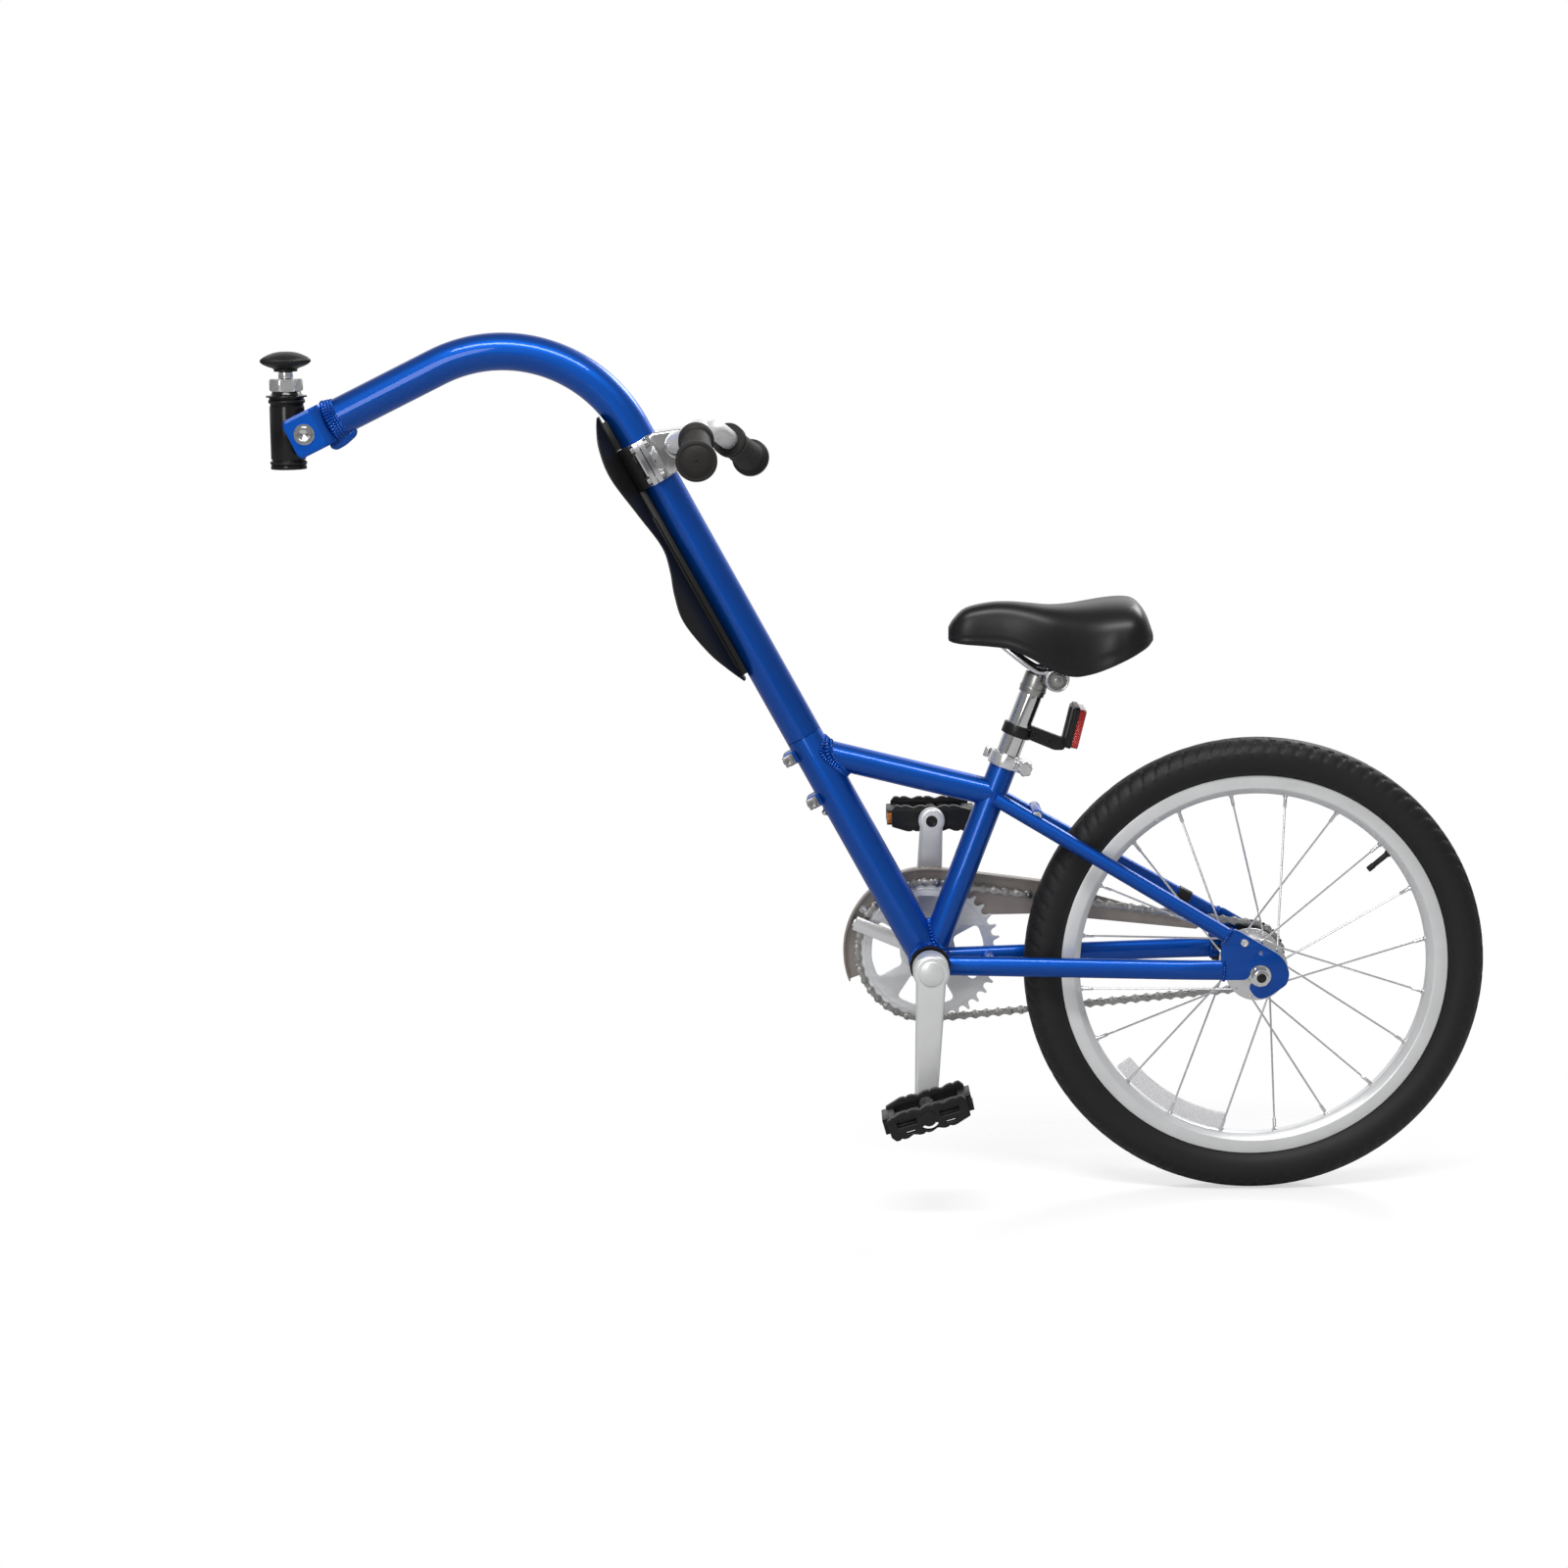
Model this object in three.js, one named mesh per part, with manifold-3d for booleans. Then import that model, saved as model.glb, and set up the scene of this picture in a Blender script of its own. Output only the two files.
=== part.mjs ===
// A one-wheeled child's trailer bike, built in millimetres.
// Inside the bike group x runs to the rear, y to the drive side and z up from the ground, and
// x = 0 is a plumb line just in front of the frame. The finished part stands on its hitch foot,
// which is the origin.
import * as THREE from "three";
import { mergeVertices } from "three/addons/utils/BufferGeometryUtils.js";
import Module from "manifold-3d";

const wasm = await Module();
wasm.setup();

// Driving dimensions shared by several pieces
const clearance = 0.3;
const overrun = 3;
const turn = Math.PI * 2;
const radians = THREE.MathUtils.degToRad;

const bottomBracket = {
  x: 131,
  height: 259,
  shellRadius: 20,
  shellWidth: 68,
  bore: 17,
  flangeRadius: 22,
  flangeWidth: 3.5,
  spindleRadius: 8,
  spindleLeft: 73,
  spindleRight: 76,
};

const tyre = { radius: 250, halfWidth: 22, beadHalfWidth: 9.6, crownHalfWidth: 7 };
const rim = {
  radius: 210,
  bedRadius: 206.2,
  sideRadius: 196,
  innerRadius: 189,
  halfWidth: 13,
  flangeThickness: 2.4,
  innerHalfWidth: 6,
};
const hub = {
  flangeRadius: 34,
  flangeThickness: 3,
  holeRadius: 31,
  barrelRadius: 15,
  leftFlange: -29,
  rightFlange: 26,
  halfLength: 48,
  threadRadius: 16.5,
};
const spokes = {
  count: 20,
  radius: 1.1,
  sides: 3,
  phase: radians(7.9),
  lean: radians(36),
};
const axle = {
  radius: 5,
  halfLength: 74,
  locknutRadius: 9,
  nutRadius: 10,
  nutLength: 9,
  washerRadius: 12,
  washerThickness: 2,
};
const dropout = { innerFace: 55, thickness: 6, slotHeight: 10.6, holeRadius: 2.6 };
const wheelReflector = {
  innerRadius: 168,
  outerRadius: 186,
  nearFace: 10.8,
  thickness: 5.8,
  start: radians(-143),
  end: radians(-100),
};

// Chain drive: pins lie one pitch apart on the loop round both toothed wheels
const chain = {
  pitch: 12.7,
  linkCount: 84,
  plane: 42,
  plateHalfHeight: 4.1,
  waistHalfHeight: 2.9,
  innerHalfWidth: 2.4,
  plateThickness: 1.9,
  rollerRadius: 3.7,
  rollerSides: 3,
};
const chainring = {
  teeth: 38,
  thickness: 3,
  windowCount: 5,
  windowInner: 34,
  windowOuter: 62,
  windowHalfAngle: radians(24),
  windowCorner: 5,
};
const sprocket = {
  teeth: 18,
  thickness: 2.6,
  bodyRadius: 25,
  bodyInner: 31,
  bodyOuter: 49,
};
const tooth = { seatDepth: 4.4, seatHalfWidth: 3, tipHalfWidth: 5.4, tipHeight: 3.2 };

// Cranks and pedals
const crank = {
  length: 140,
  tilt: radians(2.5),
  leftInner: 45,
  leftOuter: 76,
  leftBossRadius: 19.5,
  capRadius: 13.5,
  capThickness: 2,
  rightInner: 38.6,
  rightOuter: 80,
  rightBossRadius: 14.5,
  armThickness: 12,
  rootHalfWidth: 16,
  tipHalfWidth: 12.5,
  pedalBossRadius: 14.5,
};
const pedal = {
  length: 87,
  height: 25,
  width: 66,
  offset: 6,
  spindleRadius: 5.5,
  spindleLength: 66,
  barrelRadius: 10,
  plateThickness: 7,
  barThickness: 8,
  barHeight: 15,
  toothDepth: 3.2,
  toothCount: 3,
  nearTilt: radians(-16),
};

// Frame tubes
const mainTube = { radius: 20, wall: 2.2, lean: radians(61.6), seam: 282, spigotEnd: 150, boreEnd: 30 };
const seatTube = { radius: 14.8, lean: radians(69.1), length: 238, boreEnd: 90, slotLength: 34, slotWidth: 2.4 };
const topTube = { radius: 15, onMainTube: 263.6, onSeatTube: 195.7 };
const pinchLug = {
  places: [267, 214],
  forward: 26,
  radius: 7,
  halfWidth: 11,
  slotWidth: 3,
  slotEnd: 205,
  boltRadius: 3,
  headSize: 12,
  headThickness: 3,
  capRadius: 4.6,
  capLength: 5,
  nutRadius: 6,
};
const snapButton = { place: 197, radius: 3.2, holeRadius: 3.5, proud: 4, length: 12.5, holeDepth: 16 };
const chainStay = {
  height: 21.5,
  frontWidth: 16,
  midWidth: 14,
  rearWidth: 10,
  startX: 20,
  frontY: 22,
  midX: 84,
  midY: 30,
  rearY: 58,
  drop: 3,
  rearReach: 38,
  bridgeX: 66,
  bridgeRadius: 7,
};
const seatStay = { radius: 8, topBack: 15.8, topAlong: 191.2, topY: 20, lead: 14, bottomY: 57.5 };

// Drawbar, yoke and hitch
const hitch = {
  x: -548.5,
  height: 800,
  footRadius: 19,
  footThickness: 4.2,
  spindleRadius: 9,
  studRadius: 4,
  studLength: 20,
  bushRadius: 19.5,
  bushSleeveRadius: 11.5,
  bushSleeveLength: 12,
  lowerBush: 5.5,
  upperBush: 7,
  barrelRadius: 18.5,
  barrelLength: 56.7,
  pivotBack: 21,
  pivotUp: 38,
  lugRadius: 12,
  lugHalfWidth: 19.6,
  washerRadius: 21.8,
  washerThickness: 4.6,
  collarRadius: 15,
  collarHeight: 3,
  nutRadius: 17.7,
  nutHeight: 13,
  sleeveRadius: 7.7,
  sleeveHeight: 7.2,
};
const knob = { radius: 27, neckRadius: 12.5, neckHeight: 3, height: 21, edgeHeight: 6, topRadius: 14, lobes: 10, lobeDepth: 1.6 };
const pivotBolt = {
  radius: 5,
  washerRadius: 11,
  washerThickness: 1.8,
  headRadius: 8,
  headLength: 6,
  nutRadius: 9,
  nutLength: 8,
};
const yoke = {
  rise: radians(26),
  innerHalfWidth: 20,
  thickness: 5,
  earLength: 17,
  bendStart: 14.5,
  bendRadius: 13,
  halfHeight: 22,
  cornerRadius: 5,
};
const drawbar = { bendRadius: 155, bendSteps: 11 };

// Handlebar, its clamp and the mudguard in front of the drawbar
const barClamp = {
  place: 621,
  height: 49,
  wall: 3.6,
  split: 0.5,
  flangeInner: 23,
  flangeOuter: 36,
  flangeThickness: 5.5,
  lipThickness: 2.6,
  lipReach: 4,
  boltSpacing: 37,
  boltRadius: 3,
  boltHeadRadius: 5,
  boltHeadLength: 4.5,
  boltNutLength: 4,
  barBack: 36.5,
  barRingRadius: 16.5,
  bridgeHalfWidth: 21,
};
const handlebar = {
  radius: 11,
  turn: radians(-6),
  roll: radians(-3.8),
  straight: 24,
  kneeY: 60,
  kneeBack: 29,
  kneeRise: 14,
  gripY: 125,
  gripBack: 35.3,
  gripRise: 4.8,
  endY: 223,
  endBack: 48.8,
  endRise: -16.3,
};
const grip = { radius: 16, flangeRadius: 18.5, flangeThickness: 4, capRadius: 21, capThickness: 7, waistRadius: 14.5 };
const mudguard = {
  bottom: 366,
  top: 687,
  halfWidth: 52,
  reach: 23,
  thickness: 2.6,
  padThickness: 3,
  padHalfAngle: radians(66),
  tubeGap: 4.2,
};

// Seat
const seatpost = { radius: 12.7, bottom: 110, shoulder: 308, neck: 322, neckRadius: 11, top: 331 };
const seatCollar = { bottom: 227, height: 14, radius: 18, earLength: 28, earHalfWidth: 12 };
const quickRelease = {
  back: 21.6,
  up: 234,
  rodRadius: 2.6,
  nutRadius: 8,
  nutLength: 8,
  camRadius: 6,
  leverRadius: 27,
  leverWidth: 5,
  leverHeight: 11,
  leverSweep: radians(112),
  leverTuck: radians(1),
  opening: radians(170),
};
const saddleClamp = {
  back: 18.5,
  up: 337,
  sleeveRadius: 14,
  sleeveHeight: 20,
  drumRadius: 14,
  drumHalfWidth: 15.8,
  boltRadius: 4,
  boltHalfLength: 34,
  cupRadius: 12.5,
  cupThickness: 5,
};
const rails = { radius: 3.5, spacing: 20, noseX: 201, noseRadius: 12 };
const reflector = {
  bandWidth: 12,
  bandThickness: 3,
  bandBottom: 263,
  armHalfWidth: 5,
  housingDepth: 4.5,
  lensDepth: 8.5,
  halfWidth: 26,
  cornerRadius: 5,
};

// Saddle outline in the side view, as places in the bike's own frame
const saddle = {
  noseX: 153.5,
  tailX: 368.5,
  baseZ: 576,
  topZ: 652.3,
  halfWidth: 76,
  skirtThickness: 5,
  recess: 10,
  shellThickness: 7,
  shellInset: 7,
};

// Chain guard: an outer plate with a lip turned in over the chain
const chainGuard = {
  plane: 50.2,
  thickness: 2,
  lipDepth: 12,
  lipThickness: 2,
  radius: 93,
  innerRadius: 70,
  frontAngle: radians(201),
  topAngle: radians(84),
  tipX: 296,
  tipUp: 23,
  tipHeight: 7,
  kneeX: 123,
  kneeUp: 77.4,
  kneeHeight: 38,
  lipEnd: 150,
  bracketPlane: 33.2,
  bracketThickness: 1.8,
  bracketWidth: 16,
  bracketAngle: radians(157),
  strapWidth: 9,
  strapThickness: 1.8,
};

// Surface colours
const paint = new THREE.MeshStandardMaterial({ color: 0x0a46b4, roughness: 0.22, metalness: 0.55 });
const chrome = new THREE.MeshStandardMaterial({ color: 0xdcdcdc, roughness: 0.12, metalness: 1 });
const silver = new THREE.MeshStandardMaterial({ color: 0xc4c6c8, roughness: 0.32, metalness: 0.95 });
const steel = new THREE.MeshStandardMaterial({ color: 0x9a9a98, roughness: 0.4, metalness: 0.9 });
const blackPaint = new THREE.MeshStandardMaterial({ color: 0x16161a, roughness: 0.4, metalness: 0.2 });
const blackPlastic = new THREE.MeshStandardMaterial({ color: 0x1c1c1e, roughness: 0.55, metalness: 0 });
const rubber = new THREE.MeshStandardMaterial({ color: 0x222224, roughness: 0.85, metalness: 0 });
const vinyl = new THREE.MeshStandardMaterial({ color: 0x101012, roughness: 0.45, metalness: 0 });
const smoke = new THREE.MeshStandardMaterial({ color: 0x8a7f78, roughness: 0.25, metalness: 0 });
const redLens = new THREE.MeshStandardMaterial({ color: 0xb01414, roughness: 0.15, metalness: 0 });
const clearLens = new THREE.MeshStandardMaterial({ color: 0xd8dade, roughness: 0.2, metalness: 0 });

// Geometry helpers

const at = (x, y, z) => new THREE.Vector3(x, y, z);
const tubeSides = 12;
const smallSides = 12;
const boltSides = 8;
const wheelSegments = 36;

// Radius of a many-sided hole whose flats still clear a round bar
const around = (radius, sides = tubeSides) => (radius + clearance) / Math.cos(turn / 2 / sides);

function toSolid(geometry) {
  const bare = geometry.clone();
  bare.deleteAttribute("normal");
  bare.deleteAttribute("uv");
  const merged = mergeVertices(bare, 1e-4);
  const triVerts = new Uint32Array(merged.index.array);
  const vertProperties = merged.attributes.position.array;
  const solid = new wasm.Manifold(new wasm.Mesh({ numProp: 3, vertProperties, triVerts }));
  if (solid.volume() >= 0) return solid;
  for (let i = 0; i < triVerts.length; i += 3) {
    [triVerts[i + 1], triVerts[i + 2]] = [triVerts[i + 2], triVerts[i + 1]];
  }
  return new wasm.Manifold(new wasm.Mesh({ numProp: 3, vertProperties, triVerts }));
}

function toGeometry(solid) {
  const mesh = solid.getMesh();
  const geometry = new THREE.BufferGeometry();
  geometry.setAttribute("position", new THREE.BufferAttribute(new Float32Array(mesh.vertProperties), 3));
  geometry.setIndex(new THREE.BufferAttribute(new Uint32Array(mesh.triVerts), 1));
  return geometry;
}

function join(...geometries) {
  return toGeometry(geometries.map(toSolid).reduce((sum, solid) => sum.add(solid)));
}

function cut(body, ...tools) {
  return toGeometry(tools.map(toSolid).reduce((rest, tool) => rest.subtract(tool), toSolid(body)));
}

function common(a, b) {
  return toGeometry(toSolid(a).intersect(toSolid(b)));
}

// A straight round bar between two points
function rod(from, to, radius, sides = tubeSides, endRadius = radius) {
  const along = to.clone().sub(from);
  const bar = new THREE.CylinderGeometry(endRadius, radius, along.length(), sides);
  const facing = new THREE.Quaternion().setFromUnitVectors(at(0, 1, 0), along.clone().normalize());
  const middle = from.clone().add(to).multiplyScalar(1 / 2);
  return bar.applyQuaternion(facing).translate(middle.x, middle.y, middle.z);
}

function rodAcross(x, z, from, to, radius, sides = tubeSides) {
  return rod(at(x, from, z), at(x, to, z), radius, sides);
}

function box(x0, x1, y0, y1, z0, z1) {
  const block = new THREE.BoxGeometry(x1 - x0, y1 - y0, z1 - z0);
  return block.translate((x0 + x1) / 2, (y0 + y1) / 2, (z0 + z1) / 2);
}

// A plate whose outline is drawn in the side view (x, z) and whose thickness runs along y
function plate(shape, y0, y1, curveSegments = 3) {
  const slab = new THREE.ExtrudeGeometry(shape, { depth: y1 - y0, bevelEnabled: false, curveSegments });
  return slab.rotateX(turn / 4).translate(0, y1, 0);
}

// A plate drawn in plan (x, y) whose thickness runs along z
function planPlate(shape, z0, z1, curveSegments = 3) {
  return new THREE.ExtrudeGeometry(shape, { depth: z1 - z0, bevelEnabled: false, curveSegments }).translate(0, 0, z0);
}

function shapeOf(points) {
  return new THREE.Shape(points.map(([x, y]) => new THREE.Vector2(x, y)));
}

function roundedRectangle(x0, x1, y0, y1, radius) {
  const shape = new THREE.Shape();
  shape.moveTo(x0 + radius, y0);
  shape.lineTo(x1 - radius, y0);
  shape.absarc(x1 - radius, y0 + radius, radius, -turn / 4, 0);
  shape.lineTo(x1, y1 - radius);
  shape.absarc(x1 - radius, y1 - radius, radius, 0, turn / 4);
  shape.lineTo(x0 + radius, y1);
  shape.absarc(x0 + radius, y1 - radius, radius, turn / 4, turn / 2);
  shape.lineTo(x0, y0 + radius);
  shape.absarc(x0 + radius, y0 + radius, radius, turn / 2, (turn * 3) / 4);
  return shape;
}

// Revolves a closed profile of [radius, place along the axis] points round y
function revolve(profile, segments = tubeSides) {
  const points = [...profile, profile[0]].map(([r, y]) => new THREE.Vector2(r, y));
  return new THREE.LatheGeometry(points, segments);
}

// The same round z
const revolveUp = (profile, segments) => revolve(profile, segments).rotateX(turn / 4);

const ringAcross = (inner, outer, y0, y1, segments) =>
  revolve([[inner, y0], [outer, y0], [outer, y1], [inner, y1]], segments);
const ringUp = (inner, outer, z0, z1, segments) =>
  revolveUp([[inner, z0], [outer, z0], [outer, z1], [inner, z1]], segments);

// Joins rings of equal point count into one closed skin, with flat ends or as a loop
function loft(rings, looped = false) {
  const count = rings[0].length;
  const positions = rings.flat().flatMap((p) => [p.x, p.y, p.z]);
  const index = [];
  const strips = looped ? rings.length : rings.length - 1;
  for (let i = 0; i < strips; i += 1) {
    const next = ((i + 1) % rings.length) * count;
    for (let j = 0; j < count; j += 1) {
      const k = (j + 1) % count;
      const a = i * count + j;
      const b = i * count + k;
      index.push(a, b, next + k, a, next + k, next + j);
    }
  }
  const endFaces = (ring, start, flip) => {
    const centre = ring.reduce((sum, p) => sum.add(p), at(0, 0, 0)).multiplyScalar(1 / count);
    const u = ring[0].clone().sub(centre).normalize();
    const side = ring[Math.floor(count / 4)].clone().sub(centre);
    const normal = u.clone().cross(side).normalize();
    const v = normal.clone().cross(u);
    const flat = ring.map((p) => {
      const offset = p.clone().sub(centre);
      return new THREE.Vector2(offset.dot(u), offset.dot(v));
    });
    const wanted = THREE.ShapeUtils.isClockWise(flat) ? -1 : 1;
    THREE.ShapeUtils.triangulateShape(flat, []).forEach(([a, b, c]) => {
      const area = (flat[b].x - flat[a].x) * (flat[c].y - flat[a].y) - (flat[b].y - flat[a].y) * (flat[c].x - flat[a].x);
      const keep = area * wanted > 0;
      const [second, third] = keep === flip ? [c, b] : [b, c];
      index.push(start + a, start + second, start + third);
    });
  };
  if (!looped) {
    endFaces(rings[0], 0, true);
    endFaces(rings[rings.length - 1], (rings.length - 1) * count, false);
  }
  const skin = new THREE.BufferGeometry();
  skin.setAttribute("position", new THREE.Float32BufferAttribute(positions, 3));
  skin.setIndex(index);
  return skin;
}

// A ring of points round a centre, spanned by two directions and half sizes
function ringOf(centre, across, up, halfAcross, halfUp, sides = tubeSides) {
  return Array.from({ length: sides }, (_, i) => {
    const angle = (turn * i) / sides;
    return centre
      .clone()
      .addScaledVector(across, halfAcross * Math.cos(angle))
      .addScaledVector(up, halfUp * Math.sin(angle));
  });
}

// A round tube whose middle line follows points in space
function tubeThrough(points, radius, sides = 12) {
  const rings = points.map((point, i) => {
    const before = points[Math.max(i - 1, 0)];
    const after = points[Math.min(i + 1, points.length - 1)];
    const along = after.clone().sub(before).normalize();
    const side = Math.abs(along.z) > Math.SQRT1_2 ? at(1, 0, 0) : at(0, 0, 1);
    const up = side.addScaledVector(along, -side.dot(along)).normalize();
    return ringOf(point, along.clone().cross(up), up, radius, radius, sides);
  });
  return loft(rings);
}

// Frames: nested groups that place the sub-assemblies

const trailerBike = new THREE.Group();
const bike = new THREE.Group();
bike.position.set(-hitch.x, 0, -hitch.height);
trailerBike.add(bike);

function frameAt(parent, x, z, pitch = 0) {
  const group = new THREE.Group();
  group.position.set(x, 0, z);
  group.rotation.y = pitch;
  parent.add(group);
  return group;
}

const mainTubeFrame = frameAt(bike, bottomBracket.x, bottomBracket.height, mainTube.lean - turn / 4);
const seatTubeFrame = frameAt(bike, bottomBracket.x, bottomBracket.height, turn / 4 - seatTube.lean);
const crankFrame = frameAt(bike, bottomBracket.x, bottomBracket.height, crank.tilt);

// Moves a geometry made in one frame into the numbers of another
function moved(geometry, from, to) {
  trailerBike.updateMatrixWorld(true);
  return geometry.clone().applyMatrix4(from.matrixWorld).applyMatrix4(to.matrixWorld.clone().invert());
}

const placeOf = (point, from, to) => {
  trailerBike.updateMatrixWorld(true);
  return to.worldToLocal(from.localToWorld(point.clone()));
};

function add(group, name, geometry, material) {
  const closed = toGeometry(toSolid(geometry));
  closed.computeVertexNormals();
  const piece = new THREE.Mesh(closed, material);
  piece.name = name;
  group.add(piece);
  return piece;
}

// Chain loop: wheel centres, tangent runs and the places of the pins

const pitchRadius = (teeth) => chain.pitch / (2 * Math.sin(turn / 2 / teeth));
const ringPitch = pitchRadius(chainring.teeth);
const sprocketPitch = pitchRadius(sprocket.teeth);

// Number of pitches in the loop when the wheels stand a given distance apart
function loopPitches(distance) {
  const wrap = Math.asin((ringPitch - sprocketPitch) / distance);
  const run = Math.sqrt(distance ** 2 - (ringPitch - sprocketPitch) ** 2);
  const arcs = (chainring.teeth * (turn / 2 + 2 * wrap) + sprocket.teeth * (turn / 2 - 2 * wrap)) / turn;
  return arcs + (2 * run) / chain.pitch;
}

function centreDistance() {
  let near = ringPitch + sprocketPitch;
  let far = near * chain.linkCount;
  for (let i = 0; i < chain.linkCount; i += 1) {
    const middle = (near + far) / 2;
    if (loopPitches(middle) < chain.linkCount) near = middle;
    else far = middle;
  }
  return near;
}

const centres = centreDistance();
const axleDrop = bottomBracket.height - tyre.radius;
const axleX = bottomBracket.x + Math.sqrt(centres ** 2 - axleDrop ** 2);
const chainSlope = Math.asin(axleDrop / centres);
const wrapAngle = Math.asin((ringPitch - sprocketPitch) / centres);
const wheelFrame = frameAt(bike, axleX, tyre.radius);
const chainFrame = frameAt(bike, bottomBracket.x, bottomBracket.height, chainSlope);

// Place of the chain's middle line after a number of pitches, in the chain frame: x runs along the
// centre line to the axle, and the loop starts where the upper run leaves the chainring
function chainPlace(pitches) {
  const run = Math.sqrt(centres ** 2 - (ringPitch - sprocketPitch) ** 2) / chain.pitch;
  const smallArc = (sprocket.teeth * (turn / 2 - 2 * wrapAngle)) / turn;
  const top = turn / 4 - wrapAngle;
  const leave = [ringPitch * Math.cos(top), ringPitch * Math.sin(top)];
  const heading = -wrapAngle;
  let rest = pitches % chain.linkCount;
  if (rest < run) {
    const along = rest * chain.pitch;
    return { x: leave[0] + along * Math.cos(heading), z: leave[1] + along * Math.sin(heading), out: top };
  }
  rest -= run;
  if (rest < smallArc) {
    const angle = top - (rest * turn) / sprocket.teeth;
    return { x: centres + sprocketPitch * Math.cos(angle), z: sprocketPitch * Math.sin(angle), out: angle };
  }
  rest -= smallArc;
  const low = -top;
  if (rest < run) {
    const along = rest * chain.pitch;
    const x = centres + sprocketPitch * Math.cos(low) - along * Math.cos(wrapAngle);
    return { x, z: sprocketPitch * Math.sin(low) - along * Math.sin(wrapAngle), out: low };
  }
  rest -= run;
  const angle = low - (rest * turn) / chainring.teeth;
  return { x: ringPitch * Math.cos(angle), z: ringPitch * Math.sin(angle), out: angle };
}

// One turn of teeth as an outline, with a tooth gap centred on each roller
function toothedOutline(teeth, firstGap) {
  const radius = pitchRadius(teeth);
  const profile = [
    [-tooth.tipHalfWidth, tooth.tipHeight],
    [-tooth.seatHalfWidth, -tooth.seatDepth],
    [tooth.seatHalfWidth, -tooth.seatDepth],
    [tooth.tipHalfWidth, tooth.tipHeight],
  ];
  const points = [];
  for (let i = 0; i < teeth; i += 1) {
    const angle = firstGap + (turn * i) / teeth;
    for (const [side, out] of profile) {
      const r = radius + out;
      points.push([
        r * Math.cos(angle) - side * Math.sin(angle),
        r * Math.sin(angle) + side * Math.cos(angle),
      ]);
    }
  }
  return shapeOf(points);
}

// Hitch

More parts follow.
